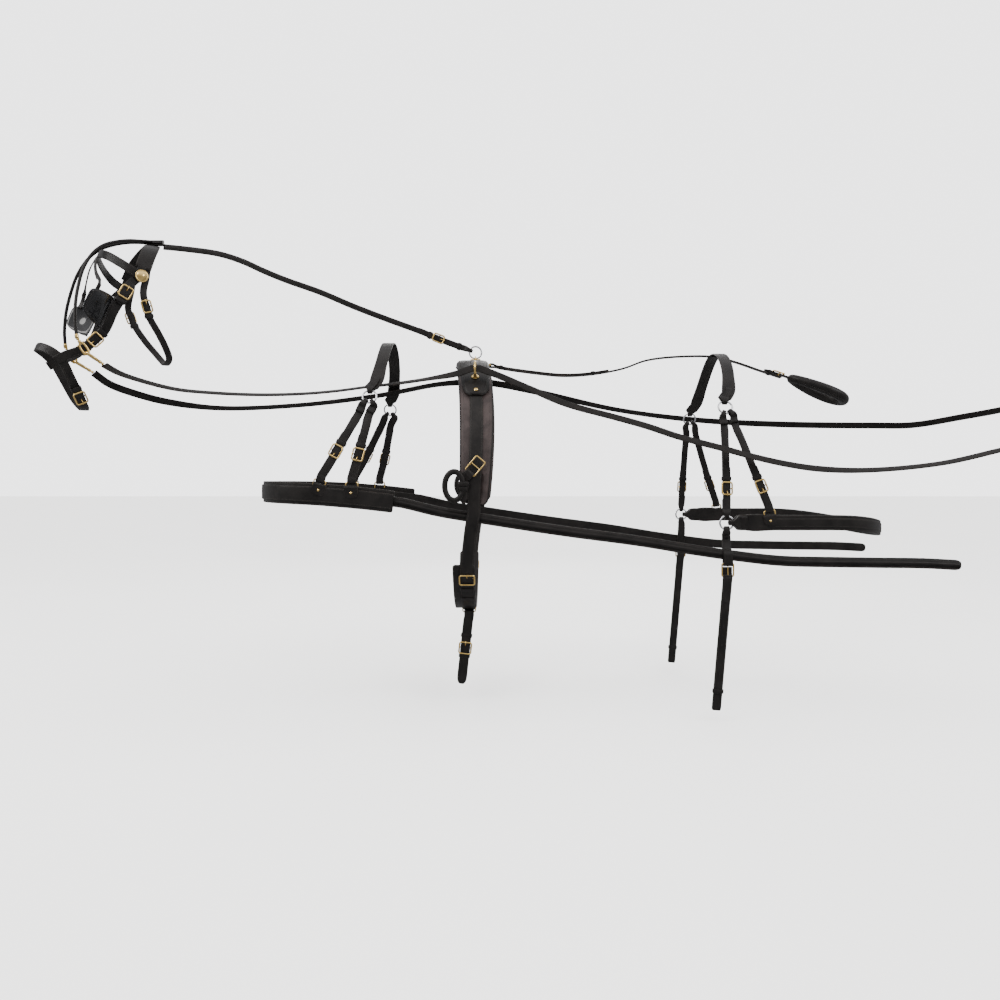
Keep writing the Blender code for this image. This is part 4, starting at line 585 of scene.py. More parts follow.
# The harness's own geometry: curves, the trunk and the head that its straps lie on


def unit(values):
    return Vector(values).normalized()


def smooth(rows, step):
    """Evenly spaced rows on a smooth curve through the given ones; a row starts with its point."""
    rows = np.asarray(rows, float)
    ends = [2 * rows[0] - rows[1]], [2 * rows[-1] - rows[-2]]
    rows = np.vstack([ends[0], rows, ends[1]])
    chords = np.linalg.norm(np.diff(rows[:, :3], axis=0), axis=1)
    knots = np.concatenate([[0], np.cumsum(np.sqrt(chords))])
    dense = []
    for i in range(1, len(rows) - 2):
        t0, t1, t2, t3 = knots[i - 1:i + 3]
        p0, p1, p2, p3 = rows[i - 1:i + 3]
        for t in np.linspace(t1, t2, DENSE_COUNT, endpoint=False):
            a1 = (t1 - t) / (t1 - t0) * p0 + (t - t0) / (t1 - t0) * p1
            a2 = (t2 - t) / (t2 - t1) * p1 + (t - t1) / (t2 - t1) * p2
            a3 = (t3 - t) / (t3 - t2) * p2 + (t - t2) / (t3 - t2) * p3
            b1 = (t2 - t) / (t2 - t0) * a1 + (t - t0) / (t2 - t0) * a2
            b2 = (t3 - t) / (t3 - t1) * a2 + (t - t1) / (t3 - t1) * a3
            dense.append((t2 - t) / (t2 - t1) * b1 + (t - t1) / (t2 - t1) * b2)
    dense = np.array(dense + [rows[-2]])
    run = run_along(dense[:, :3])
    count = max(3, int(round(run[-1] / step)) + 1)
    at = np.linspace(0, run[-1], count)
    return np.column_stack([np.interp(at, run, dense[:, k]) for k in range(dense.shape[1])])


def row(point, outward, width):
    return (*point, *Vector(outward).normalized(), width)


def bow_of(ring_radius, width):
    """How far a ring's wire bows away from straight across a strap of that width."""
    if not ring_radius:
        return 0.0
    return ring_radius - math.sqrt(max(ring_radius ** 2 - (width / 2) ** 2, 0))


def turn_radius(wire, ring_radius, thick, width):
    """Radius of a strap's middle layer where it turns round a wire."""
    clear = wire + bow_of(ring_radius, width) / 2 + GAP / 2 + thick / 2 + (RING_PLAY if ring_radius else 0)
    return clear / math.cos(math.pi / (2 * FOLD_STEPS))


def seat_of(wire_point, heading, outward, wire, ring_radius, thick, width):
    """The last two rows of a strap that is to turn round a wire at that point: lead and seat."""
    heading, outward = unit(heading), unit(outward)
    heading = (heading - outward * heading.dot(outward)).normalized()
    radius = turn_radius(wire, ring_radius, thick, width)
    seat = Vector(wire_point) - outward * radius + heading * (bow_of(ring_radius, width) / 2)
    return row(seat - heading * EYE_EASE, outward, width), row(seat, outward, width)


def wire_lift(wire, ring_radius, thick):
    """How high a wire lies over the skin when a strap on the skin turns round it."""
    return turn_radius(wire, ring_radius, thick, EYE_WIDTH) + thick / 2


def bar_rise():
    """How far a buckle's bar stands out of the strap that it is sewn to."""
    return 2 * WIRE - BITE


def billet_level():
    """Height of a billet's middle over the middle of the strap that carries the buckle."""
    return STRAP_THICK + bar_rise() + GAP


def frame_at(origin, along, outward):
    """The matrix of a local frame: X along, Y across, Z outward."""
    along = unit(along)
    across = unit(Vector(outward).cross(along))
    turn = Matrix((along, across, along.cross(across))).transposed().to_4x4()
    turn.translation = Vector(origin)
    return turn


def section(reach, rise, half, drop, lean=0.0):
    """Half an elliptic section of the trunk: angle 0 is on the back, 90 degrees on the side."""
    def at(angle, side=NEAR, lift=0.0):
        fall = 1 - math.cos(angle)
        outward = Vector((0, side * abs(drop) * math.sin(angle), math.copysign(half, drop) * math.cos(angle)))
        outward.normalize()
        point = Vector((reach + lean * fall ** 2, side * half * math.sin(angle), rise - drop * fall))
        return point + outward * lift, outward
    return at


BARREL = section(0, 0, BARREL_HALF, BARREL_DROP)
BELLY = section(0, -BARREL_DROP - BELLY_DROP, BARREL_HALF, -BELLY_DROP)
NECK = section(-NECK_REACH, NECK_RISE, CHEST_HALF, NECK_DROP, -NECK_LEAN)
CROUP = section(CROUP_REACH, CROUP_RISE, CROUP_HALF, CROUP_DROP, -CROUP_LEAN)
HEAD_ORIGIN = Vector((-POLL_REACH, 0, POLL_RISE))
HEAD_FORWARD = Vector((-math.cos(HEAD_TURN), -math.sin(HEAD_TURN), 0))
HEAD_FAR = Vector((-math.sin(HEAD_TURN), math.cos(HEAD_TURN), 0))


def head_vector(forward, far, up):
    return HEAD_FORWARD * forward + HEAD_FAR * far + UP * up


def head(forward_share, side_share, up_share, side):
    """A place on the head, as shares of its length forward and up and of its width sideways."""
    return HEAD_ORIGIN + head_vector(forward_share * HEAD_LENGTH, side * side_share * HEAD_WIDTH,
                                     up_share * HEAD_LENGTH)


def head_rows(table, side, width, lift):
    """Rows along the head from a table of places, the way each faces, and its layer if not on the skin."""
    rows = []
    for entry in table:
        layer = entry[2] if len(entry) > 2 else 0
        faces = entry[1]
        outward = head_vector(faces[0], side * faces[1], faces[2]).normalized()
        point = head(*entry[0], side) + outward * (lift + layer * billet_level())
        rows.append(row(point, outward, width))
    return rows


def both_sides(table, width, lift):
    """Rows from the near end of a table over its last place, on the middle line, to the far end."""
    near = head_rows(table, NEAR, width, lift)
    far = head_rows(table[:-1], FAR, width, lift)
    return near + far[::-1]


def along_rows(rows, distance):
    """Point, heading and outward at a distance from a strap's last row."""
    back = np.asarray(rows, float)[::-1]
    run = run_along(back[:, :3])
    here = at_run(back, run, distance)
    ahead = at_run(back[:, :3], run, distance - EYE_EASE / 2)
    behind = at_run(back[:, :3], run, distance + EYE_EASE / 2)
    return Vector(here[:3]), Vector(ahead - behind).normalized(), Vector(here[3:6]).normalized()


def dee_lift():
    """How far a dee's bar stands off the edge of the strap that it is sewn to."""
    return 2 * WIRE + STRAP_THICK + 3 * GAP


def on_section(at, start, stop, first, last, side, width, lift):
    """Rows down a section of the trunk between two angles, straight from one place to another as seen."""
    rows = []
    for i in range(SECTION_ROWS):
        point, outward = at(start + (stop - start) * i / (SECTION_ROWS - 1), side, lift)
        point.x = first[0] + (last[0] - first[0]) * (first[2] - point.z) / (first[2] - last[2])
        rows.append(row(point, outward, width))
    return rows


def ring_end(centre, toward, outward, width):
    """Lead and seat of a strap that turns round a loose ring's wire on the side facing that way."""
    toward = (toward - outward * toward.dot(outward)).normalized()
    return seat_of(centre + toward * RING_RADIUS, -toward, outward, RING_WIRE, RING_RADIUS, STRAP_THICK,
                   width)


def ring_clear(section_half, section_drop):
    """The angle round the trunk that a ring and the straps turned round it take up."""
    return (RING_RADIUS + 2 * EYE_EASE) / (math.hypot(section_half, section_drop) / math.sqrt(2))


def fold(rows, wire, ring_radius, thick, tail, lifted, width):
    """Rows that turn a strap's last row round a wire and lay it back over itself."""
    rows = np.asarray(rows, float)
    low, outward = Vector(rows[-1, :3]), Vector(rows[-1, 3:6]).normalized()
    heading = Vector(rows[-1, :3] - rows[-2, :3])
    heading = (heading - outward * heading.dot(outward)).normalized()
    radius = turn_radius(wire, ring_radius, thick, rows[-1, 6])
    centre = low + outward * radius
    turned_rows = []
    for i in range(1, FOLD_TURNS + 1):
        turn = math.pi * i / FOLD_TURNS
        point = centre + radius * (-outward * math.cos(turn) + heading * math.sin(turn))
        turned_rows.append(row(point, outward * math.cos(turn) - heading * math.sin(turn), rows[-1, 6]))
    back = rows[::-1]
    run = run_along(back[:, :3])
    steps = max(1, int(math.ceil(tail / FINE)))
    laid = radius + EYE_EASE
    for at in [radius + EYE_EASE * s for s in (0.2, 0.4, 0.6, 0.8, 1)] + [
            laid + tail * (i + 1) / steps for i in range(steps)]:
        seat = at_run(back, run, at)
        out = Vector(seat[3:6]).normalized()
        ease = min((at - radius) / EYE_EASE, 1)
        ease = ease * ease * (3 - 2 * ease)
        level = 2 * radius + (lifted - 2 * radius) * ease
        wide = seat[6] + (width - seat[6]) * ease
        turned_rows.append(row(Vector(seat[:3]) + out * level, -out, wide))
    return turned_rows


def eyed(rows, thick, width, start=None, end=None, step=RUN):
    """Rows of a strap with either end turned round a wire, and its own line."""
    rows = list(rows)
    inner = ([start[0][0]] if start else []) + rows + ([end[0][0]] if end else [])
    line = smooth(inner, step)
    run = run_along(line[:, :3])
    middle = line[len(line) // 2, 6]
    neck, share = (WIDE_NECK_IN, WIDE_NECK_SHARE) if middle > WIDE_STRAP else (NECK_IN, NECK_SHARE)
    for given, reach in ((start, run), (end, run[-1] - run)):
        if given:
            near = reach < neck * 3
            wide = np.interp(reach, (0, neck), (middle * share, middle))
            line[near, 6] = np.maximum(wide, given[0][0][6])[near]
    line = [tuple(r) for r in line]
    line = ([start[0][1]] if start else []) + line + ([end[0][1]] if end else [])
    tail_end = fold(line, *end[1:3], thick, *end[3:], width) if end else []
    tail_start = fold(line[::-1], *start[1:3], thick, *start[3:], width) if start else []
    return np.array(tail_start[::-1] + line + tail_end), np.array(line)


def pointed(rows, last=True, length=0.55, blunt=0.30):
    """A strap whose end narrows to a rounded point within that share of its width."""
    rows = np.array(rows, float)
    if not last:
        return pointed(rows[::-1], True, length, blunt)[::-1]
    run = run_along(rows[:, :3])
    reach = rows[-1, 6] * length
    marks = [run[-1] - reach * s for s in (1, 0.8, 0.6, 0.42, 0.26, 0.13, 0.04, 0)]
    keep = run < marks[0] - 1e-6
    tip = []
    for at in marks:
        place = at_run(rows, run, at)
        share = (run[-1] - at) / reach
        place[6] *= blunt + (1 - blunt) * math.sqrt(max(1 - (1 - share) ** 2, 0)) if share > 0 else blunt
        tip.append(place)
    return np.vstack([rows[keep], tip])


def both_pointed(rows, length=0.55, blunt=0.30):
    """A strap with a rounded point at either end."""
    return pointed(pointed(rows, True, length, blunt), False, length, blunt)


def shifted(rows, lift):
    """A strap's rows moved outwards."""
    rows = np.array(rows, float)
    rows[:, :3] += strap_axes(rows)[1] * lift
    return rows


# Sewing, holes and rivets, collected by piece and made by Geometry Nodes


class Trim:
    """The seams, holes and rivets of one body, gathered while its straps are made."""

    def __init__(self):
        self.seams, self.holes, self.rivets = [], [], []

    def sew(self, rows, thick, inset=None, ends=0.0):
        """A seam along either edge of a strap's outer face."""
        rows = np.asarray(rows, float)
        across, outward = strap_axes(rows)
        inset = sizes().seam_inset if inset is None else inset
        for side in (-1, 1):
            reach = side * np.maximum(rows[:, 6] / 2 - inset, 0.001)
            line = rows[:, :3] + across * reach[:, None] + outward * (thick / 2 + sizes().thread * 0.12)
            if ends:
                run = run_along(line)
                keep = (run >= ends) & (run <= run[-1] - ends)
                line = line[keep]
            if len(line) > 1:
                self.seams.append(line)

    def punch(self, rows, thick, first, count, pitch=None):
        """Buckle holes down the middle of a strap, from a distance along its rows."""
        rows = np.asarray(rows, float)
        run = run_along(rows[:, :3])
        outward = strap_axes(rows)[1]
        for i in range(count):
            at = first + i * (pitch or sizes().hole_pitch)
            if at > run[-1]:
                break
            point = at_run(rows[:, :3], run, at)
            facing = at_run(outward, run, at)
            self.holes.append((point + facing * (thick / 2 + sizes().crown), facing))

    def rivet(self, point, facing):
        self.rivets.append((np.array(point, float), np.array(facing, float)))

    def make(self, name, node):
        if self.seams:
            stitches(f"{name}_stitches", self.seams, node)
        # The holes are domes coloured with painted shade for the dark inside of each punched hole.
        if self.holes:
            studs(f"{name}_holes", self.holes, "hole", sizes().hole, HOLE_RISE, node)
        if self.rivets:
            studs(f"{name}_rivets", self.rivets, "brass", sizes().rivet, RIVET_RISE, node)


def node_tree(name, inputs):
    """A Geometry Nodes tree with its named inputs, and a way to add nodes to it."""
    tree = bpy.data.node_groups.new(name, "GeometryNodeTree")
    tree.interface.new_socket("Geometry", in_out="INPUT", socket_type="NodeSocketGeometry")
    for label, kind in inputs:
        tree.interface.new_socket(label, in_out="INPUT", socket_type=kind)
    tree.interface.new_socket("Geometry", in_out="OUTPUT", socket_type="NodeSocketGeometry")
    group_in = tree.nodes.new("NodeGroupInput")
    group_out = tree.nodes.new("NodeGroupOutput")

    def add(kind, settings=None, **inputs_of):
        made = tree.nodes.new(kind)
        for key, value in (settings or {}).items():
            setattr(made, key, value)
        for key, value in inputs_of.items():
            socket = made.inputs[key.replace("_", " ")]
            if isinstance(value, bpy.types.NodeSocket):
                tree.links.new(value, socket)
            else:
                socket.default_value = value
        return made.outputs[0]

    return tree, group_in, group_out, add


def finish_tree(tree, group_in, group_out, add, instances):
    """Realizes instances, shades them smooth and gives them their material."""
    solid = add("GeometryNodeRealizeInstances", Geometry=instances)
    shaded = add("GeometryNodeSetShadeSmooth", Geometry=solid)
    coated = add("GeometryNodeSetMaterial", Geometry=shaded, Material=group_in.outputs["Material"])
    tree.links.new(coated, group_out.inputs[0])
    return tree


def stitch_tree():
    """Stitches of a set length and spacing along every line of the mesh that goes in."""
    if "harness_stitches" in bpy.data.node_groups:
        return bpy.data.node_groups["harness_stitches"]
    tree, group_in, group_out, add = node_tree("harness_stitches", (
        ("Spacing", "NodeSocketFloat"), ("Length", "NodeSocketFloat"), ("Thread", "NodeSocketFloat"),
        ("Material", "NodeSocketMaterial")))
    lines = add("GeometryNodeMeshToCurve", Mesh=group_in.outputs["Geometry"])
    evened = add("GeometryNodeResampleCurve", {"mode": "LENGTH"}, Curve=lines,
                 Length=group_in.outputs["Spacing"])
    bead = add("GeometryNodeMeshIcoSphere", Radius=0.5, Subdivisions=1)
    way = add("GeometryNodeInputTangent")
    turn = add("FunctionNodeAlignRotationToVector", {"axis": "X"}, Vector=way)
    size = add("ShaderNodeCombineXYZ", X=group_in.outputs["Length"], Y=group_in.outputs["Thread"],
               Z=group_in.outputs["Thread"])
    set_out = add("GeometryNodeInstanceOnPoints", Points=evened, Instance=bead, Rotation=turn, Scale=size)
    return finish_tree(tree, group_in, group_out, add, set_out)


def stud_tree():
    """A low dome on every point of the mesh that goes in, turned to the point's own facing."""
    if "harness_studs" in bpy.data.node_groups:
        return bpy.data.node_groups["harness_studs"]
    tree, group_in, group_out, add = node_tree("harness_studs", (
        ("Diameter", "NodeSocketFloat"), ("Height", "NodeSocketFloat"), ("Material", "NodeSocketMaterial")))
    dome = add("GeometryNodeMeshUVSphere", Segments=14, Rings=6, Radius=0.5)
    facing = add("GeometryNodeInputNamedAttribute", {"data_type": "FLOAT_VECTOR"}, Name="facing")
    turn = add("FunctionNodeAlignRotationToVector", {"axis": "Z"}, Vector=facing)
    tall = add("ShaderNodeMath", {"operation": "MULTIPLY"}, Value=group_in.outputs["Height"])
    tree.nodes[-1].inputs[1].default_value = 2
    size = add("ShaderNodeCombineXYZ", X=group_in.outputs["Diameter"], Y=group_in.outputs["Diameter"], Z=tall)
    set_out = add("GeometryNodeInstanceOnPoints", Points=group_in.outputs["Geometry"], Instance=dome,
                  Rotation=turn, Scale=size)
    return finish_tree(tree, group_in, group_out, add, set_out)


def grown(name, data, tree, values, finish, node):
    """The mesh that a Geometry Nodes tree makes of points and lines, as a plain piece."""
    seed = add_object(f"{name}_seed", data)
    maker = seed.modifiers.new("maker", "NODES")
    maker.node_group = tree
    values = dict(values, Material=finish_named(finish))
    for socket in tree.interface.items_tree:
        if socket.in_out == "INPUT" and socket.name in values:
            maker[socket.identifier] = values[socket.name]
    bpy.context.view_layer.update()
    result = bpy.data.meshes.new_from_object(seed.evaluated_get(bpy.context.evaluated_depsgraph_get()))
    result.name = name
    bpy.data.objects.remove(seed, do_unlink=True)
    if not result.materials:
        result.materials.append(finish_named(finish))
    return settle(add_object(name, result), finish, node)


def stitches(name, lines, node):
    points, edges = [], []
    for line in lines:
        edges += [(len(points) + i, len(points) + i + 1) for i in range(len(line) - 1)]
        points += [tuple(p) for p in line]
    data = bpy.data.meshes.new(name)
    data.from_pydata(points, edges, [])
    values = {"Spacing": sizes().stitch_pitch, "Length": sizes().stitch_length, "Thread": sizes().thread}
    return grown(name, data, stitch_tree(), values, "thread", node)


def studs(name, places, finish, diameter, height, node):
    data = bpy.data.meshes.new(name)
    data.from_pydata([tuple(p) for p, _ in places], [], [])
    facing = data.attributes.new("facing", "FLOAT_VECTOR", "POINT")
    facing.data.foreach_set("vector", np.array([f for _, f in places], np.float32).ravel())
    return grown(name, data, stud_tree(), {"Diameter": diameter, "Height": height}, finish, node)


# Buckles, dees and keepers


def local(origin, along, outward, places):
    matrix = frame_at(origin, along, outward)
    return [matrix @ Vector(p) for p in places]


def buckle(shape, origin, along, outward, width, layer=STRAP_THICK):
    """A harness buckle: a full frame with round corners, its bar, and a tongue hinged on the bar."""
    half_w = width / 2 + BUCKLE_CLEAR + WIRE
    half_l = BUCKLE_LENGTH / 2
    top = bar_rise() + layer + 2 * GAP + WIRE
    bar = WIRE - BITE
    frame_line = [(x, y, top) for x, y in rounded_loop(half_l, half_w, BUCKLE_CORNER)]
    tube(shape, local(origin, along, outward, frame_line), WIRE * FRAME_WIRE_SHARE, loop=True, sides=12,
         box=0.85)
    bent = [(0, -half_w, top), (0, -half_w + WIRE * 0.3, (top + bar) / 2), (0, -half_w + WIRE, bar),
            (0, 0, bar), (0, half_w - WIRE, bar), (0, half_w - WIRE * 0.3, (top + bar) / 2), (0, half_w, top)]
    tube(shape, local(origin, along, outward, bent), WIRE * 0.85, sides=10)
    over = top + WIRE + TONGUE_RADIUS * 0.7
    pin = [(-WIRE * 0.4, 0, bar), (WIRE, 0, bar + WIRE * 0.6), (half_l * 0.30, 0, (bar + over) * 0.5),
           (half_l * 0.52, 0, over * 0.88), (half_l * 0.72, 0, over + WIRE * 0.35), (half_l, 0, over),
           (half_l + WIRE * 1.5, 0, over - WIRE * 0.8)]
    pin = [tuple(r) for r in smooth([(*p, 0, 0, 0, 1) for p in pin], 0.0012)[:, :3]]
    thin = np.linspace(TONGUE_RADIUS * 1.45, TONGUE_RADIUS * 0.85, len(pin))
    tube(shape, local(origin, along, outward, pin), thin, sides=8)
    hinge = [(0, -WIRE * 1.5, bar), (0, WIRE * 1.5, bar)]
    tube(shape, local(origin, along, outward, hinge), WIRE * 1.25, sides=10, ends=False)


def keeper(shape, origin, along, outward, width, low, high, long=None):
    """A leather loop round a strap and the billet over it, from one height to another."""
    half_w = width / 2 + KEEPER_PLAY
    middle, half_h = (low + high) / 2, (high - low) / 2
    line = [(0, y, middle + z) for y, z in rounded_loop(half_w, half_h, min(half_h, KEEPER_CORNER), steps=3)]
    tube(shape, local(origin, along, outward, line), KEEPER_WIRE, loop=True, sides=12,
         wide=(long or sizes().keeper) / 2, box=0.45)


def dee(shape, bar_point, along, up, width, deep=4 * WIRE):
    """A dee: its bar, its shoulders and the legs that go down into the chape."""
    half = width / 2 + 2 * WIRE + GAP
    leg = dee_lift() + deep
    along, up = unit(along), unit(up)
    corner = WIRE * 1.6
    places = [(-half, -leg), (-half, -corner * 1.4), (-half + corner * 0.15, -corner * 0.7),
              (-half + corner * 0.5, -corner * 0.2), (-half + corner, 0), (0, 0), (half - corner, 0),
              (half - corner * 0.5, -corner * 0.2), (half - corner * 0.15, -corner * 0.7),
              (half, -corner * 1.4), (half, -leg)]
    tube(shape, [Vector(bar_point) + along * x + up * z for x, z in places], WIRE, sides=10)


def rosette(shape, centre, outward):
    """A domed boss with a rolled rim."""
    radius = ROSETTE_RADIUS
    profile = [(radius * 0.98, -BITE), (radius, 0), (radius, 0.0012), (radius * 0.95, 0.0022),
               (radius * 0.86, 0.0021), (radius * 0.82, 0.0018), (radius * 0.76, 0.0028),
               (radius * 0.60, 0.0050), (radius * 0.40, 0.0066), (radius * 0.20, 0.0075),
               (radius * 0.04, 0.0078)]
    turned(shape, profile, centre, outward)


def fitted(brass, loops, origin, along, outward, width, share):
    """A buckle on a strap's outer face, and a keeper for its billet at a share of its length behind it."""
    buckle(brass, origin, along, outward, width)
    place = Vector(origin) - unit(along) * BUCKLE_LENGTH * share
    keeper(loops, place, along, outward, width, -STRAP_THICK - LOOP_EASE,
           bar_rise() + STRAP_THICK + GAP + LOOP_EASE)


def fittings(name, node, brass, loops, trim):
    """The buckles, the keepers and the sewing of a group of straps."""
    piece(brass, f"{name}_brass", "brass", node)
    piece(loops, f"{name}_keepers", "leather", node)
    trim.make(name, node)


def sewn(shape, trim, rows, **seam):
    """A strap of plain thickness with a seam along both edges."""
    strap(shape, rows, STRAP_THICK)
    trim.sew(rows, STRAP_THICK, **seam)


# Finishes


class Signal:
    """A value in a material's nodes; sums and products of signals add their Math nodes."""

    def __init__(self, finish, socket):
        self.finish, self.socket = finish, socket

    def math(self, operation, *others):
        return self.finish.node("ShaderNodeMath", {"operation": operation}, dict(enumerate((self, *others))))

    def __add__(self, other):
        return self.math("ADD", other)

    def __sub__(self, other):
        return self.math("SUBTRACT", other)

    def __rsub__(self, other):
        return self.finish.node("ShaderNodeMath", {"operation": "SUBTRACT"}, {0: other, 1: self})

    def __mul__(self, other):
        return self.math("MULTIPLY", other)

    def __abs__(self):
        return self.math("ABSOLUTE")

    __radd__, __rmul__ = __add__, __mul__

    def between(self, low, high):
        """0 at low and below, 1 at high and above, eased in between."""
        return self.finish.node("ShaderNodeMapRange", {"interpolation_type": "SMOOTHSTEP"},
                                {"Value": self, "From Min": low, "From Max": high})


class Finish:
    """A material made of nodes; what is the same all over stands on the shader's own sockets."""

    def __init__(self, name, **constants):
        self.material = bpy.data.materials.new(name)
        self.material.use_nodes = True
        self.tree = self.material.node_tree
        self.shader = self.tree.nodes["Principled BSDF"]
        for key, value in constants.items():
            self.shader.inputs[key.replace("_", " ")].default_value = value

    def node(self, kind, settings=None, inputs=None, output=0):
        """One node of a type, with its settings first and then its sockets' values or links."""
        made = self.tree.nodes.new(kind)
        for key, value in (settings or {}).items():
            setattr(made, key, value)
        for key, value in (inputs or {}).items():
            if isinstance(value, Signal):
                self.tree.links.new(value.socket, made.inputs[key])
            else:
                made.inputs[key].default_value = value
        return Signal(self, made.outputs[output])

    def place(self):
        return self.node("ShaderNodeTexCoord", output="Object")

    def on_strap(self, across, along):
        """The strap's own coordinates: so many patterns across its width, so many in a metre."""
        strap_map = self.node("ShaderNodeUVMap", {"uv_map": "strap"})
        return self.node("ShaderNodeMapping", inputs={"Vector": strap_map, "Scale": (across, along, 1)})

    def noise(self, size, detail=3.0, where=None):
        return self.node("ShaderNodeTexNoise", inputs={"Vector": where or self.place(), "Scale": 1 / size,
                                                       "Detail": detail})

    def cells(self, size):
        return self.node("ShaderNodeTexVoronoi", {"feature": "DISTANCE_TO_EDGE"},
                         {"Vector": self.place(), "Scale": 1 / size})

    def mix(self, share, first, second):
        values = {0: share, 6: first if isinstance(first, Signal) else (*first, 1), 7: (*second, 1)}
        return self.node("ShaderNodeMix", {"data_type": "RGBA"}, values, 2)

    def coat(self, **sockets):
        """Feeds the shader's sockets."""
        for key, value in sockets.items():
            self.tree.links.new(value.socket, self.shader.inputs[key.replace("_", " ")])

    def relief(self, height, depth, strength):
        """A height as a Bump node on the shader's Normal."""
        self.coat(Normal=self.node("ShaderNodeBump", inputs={"Height": height, "Distance": depth,
                                                             "Strength": strength}, output="Normal"))


def strap_leather(name, base, worn, rough, grain, oil=0.12, shine=0.22):
    """Oiled harness leather: fine grain, cross wrinkles, a creased line and rubbed edges."""
    made = Finish(name, IOR=1.5, Specular_IOR_Level=shine)
    cloud = made.noise(0.035)
    pores = made.cells(grain).between(0.0, 0.30)
    wrinkle = made.noise(1.0, detail=4.0, where=made.on_strap(across=1.6, along=150))
    lane = made.node("ShaderNodeSeparateXYZ", inputs={0: made.on_strap(across=1, along=1)})
    side = abs(lane - 0.5) * 2
    crease = side.between(0.80, 0.85) - side.between(0.85, 0.90)
    rubbed = side.between(0.90, 1.0) * made.noise(0.012).between(0.40, 0.75)
    scuffed = made.noise(0.09, detail=5.0).between(0.60, 0.80) * 0.35
    dark = tuple(c * 0.55 for c in base)
    colour = made.mix(cloud.between(0.30, 0.70), dark, base)
    colour = made.mix(rubbed * 0.65 + scuffed * 0.5, colour, worn)
    made.coat(Base_Color=colour, Roughness=cloud * oil + (rubbed * 0.18 + scuffed * 0.12 + (rough - oil / 2)))
    made.relief(pores * 0.22 + wrinkle * 0.35 - crease * 0.9, depth=0.00035, strength=0.7)
    return made.material


def harness_leather():
    colours = look()
    return strap_leather("strap_leather", colours.leather, colours.worn, rough=0.40, grain=colours.grain)


def rein_leather():
    colours = look()
    return strap_leather("supple_rein_leather", colours.rein, colours.worn, rough=0.50,
                         grain=colours.grain * 0.8, shine=0.12)


def panel_leather():
    colours = look()
    return strap_leather("pad_leather", colours.panel, colours.worn, rough=0.52, grain=colours.grain * 1.6,
                         oil=0.16)


def patent_leather():
    """Patent leather: a clear hard coat over faint pores."""
    made = Finish("blinker_patent", IOR=1.5, Coat_Roughness=0.03, Specular_IOR_Level=0.25)
    haze = made.noise(0.020, detail=4.0)
    base = tuple(look().patent)
    made.coat(Base_Color=made.mix(haze.between(0.3, 0.7), base, tuple(c * 1.9 for c in base)),
              Roughness=haze * 0.12 + 0.10, Coat_Weight=haze * 0.2 + 0.35)
    made.relief(made.cells(0.0022).between(0.0, 0.35) * 0.2 + haze * 0.6, depth=0.0003, strength=0.35)
    return made.material


def worked_metal(name, colour, dull, rough):
    """Cast and polished metal: faint tarnish in patches, wiped streaks and fine scratches."""
    made = Finish(name, Metallic=1.0)
    patch = made.noise(0.014, detail=4.0).between(0.42, 0.72)
    streak = made.node("ShaderNodeMapping", inputs={"Vector": made.place(), "Scale": (1.0, 1.0, 7.0)})
    wiped = made.noise(0.0045, where=streak)
    made.coat(Base_Color=made.mix(patch * 0.55, tuple(colour), dull),
              Roughness=patch * 0.14 + wiped * 0.10 + rough)
    made.relief(wiped, depth=0.00008, strength=0.5)
    return made.material


def polished_brass():
    colour = look().brass
    dull = tuple(c * s for c, s in zip(colour, (0.62, 0.55, 0.45)))
    return worked_metal("polished_brass", colour, dull, rough=0.13)


def bright_steel():
    colour = look().steel
    return worked_metal("bright_steel", colour, tuple(c * 0.55 for c in colour), rough=0.11)


def waxed_thread():
    made = Finish("waxed_thread", IOR=1.45)
    ply = made.noise(0.0008)
    base = tuple(look().thread)
    made.coat(Base_Color=made.mix(ply, tuple(c * 0.5 for c in base), base), Roughness=ply * 0.2 + 0.5)
    return made.material


# Punched holes are drawn as matte domes whose near-black colour is painted shade for the inside of each hole,
# mottled by fibre noise.
def painted_hole_shade():
    made = Finish("painted_hole_shade", IOR=1.45)
    fibre = made.noise(0.0006)
    made.coat(Base_Color=made.mix(fibre, (0.003, 0.003, 0.003), (0.010, 0.008, 0.007)),
              Roughness=fibre * 0.1 + 0.85)
    return made.material


def studio_floor():
    made = Finish("studio_floor", IOR=1.45)
    cloud = made.noise(0.9, detail=2.0)
    base = tuple(look().ground)
    made.coat(Base_Color=made.mix(cloud, tuple(c * 0.97 for c in base), base), Roughness=cloud * 0.1 + 0.6)
    return made.material


MAKERS = {"leather": harness_leather, "rein": rein_leather, "panel": panel_leather, "patent": patent_leather,
          "brass": polished_brass, "steel": bright_steel, "thread": waxed_thread, "hole": painted_hole_shade,
          "floor": studio_floor}
MADE = {}


def finish_named(name):
    """The material of a finish, made the first time it is asked for."""
    if name not in MADE:
        MADE[name] = MAKERS[name]()
    return MADE[name]


# Bridle

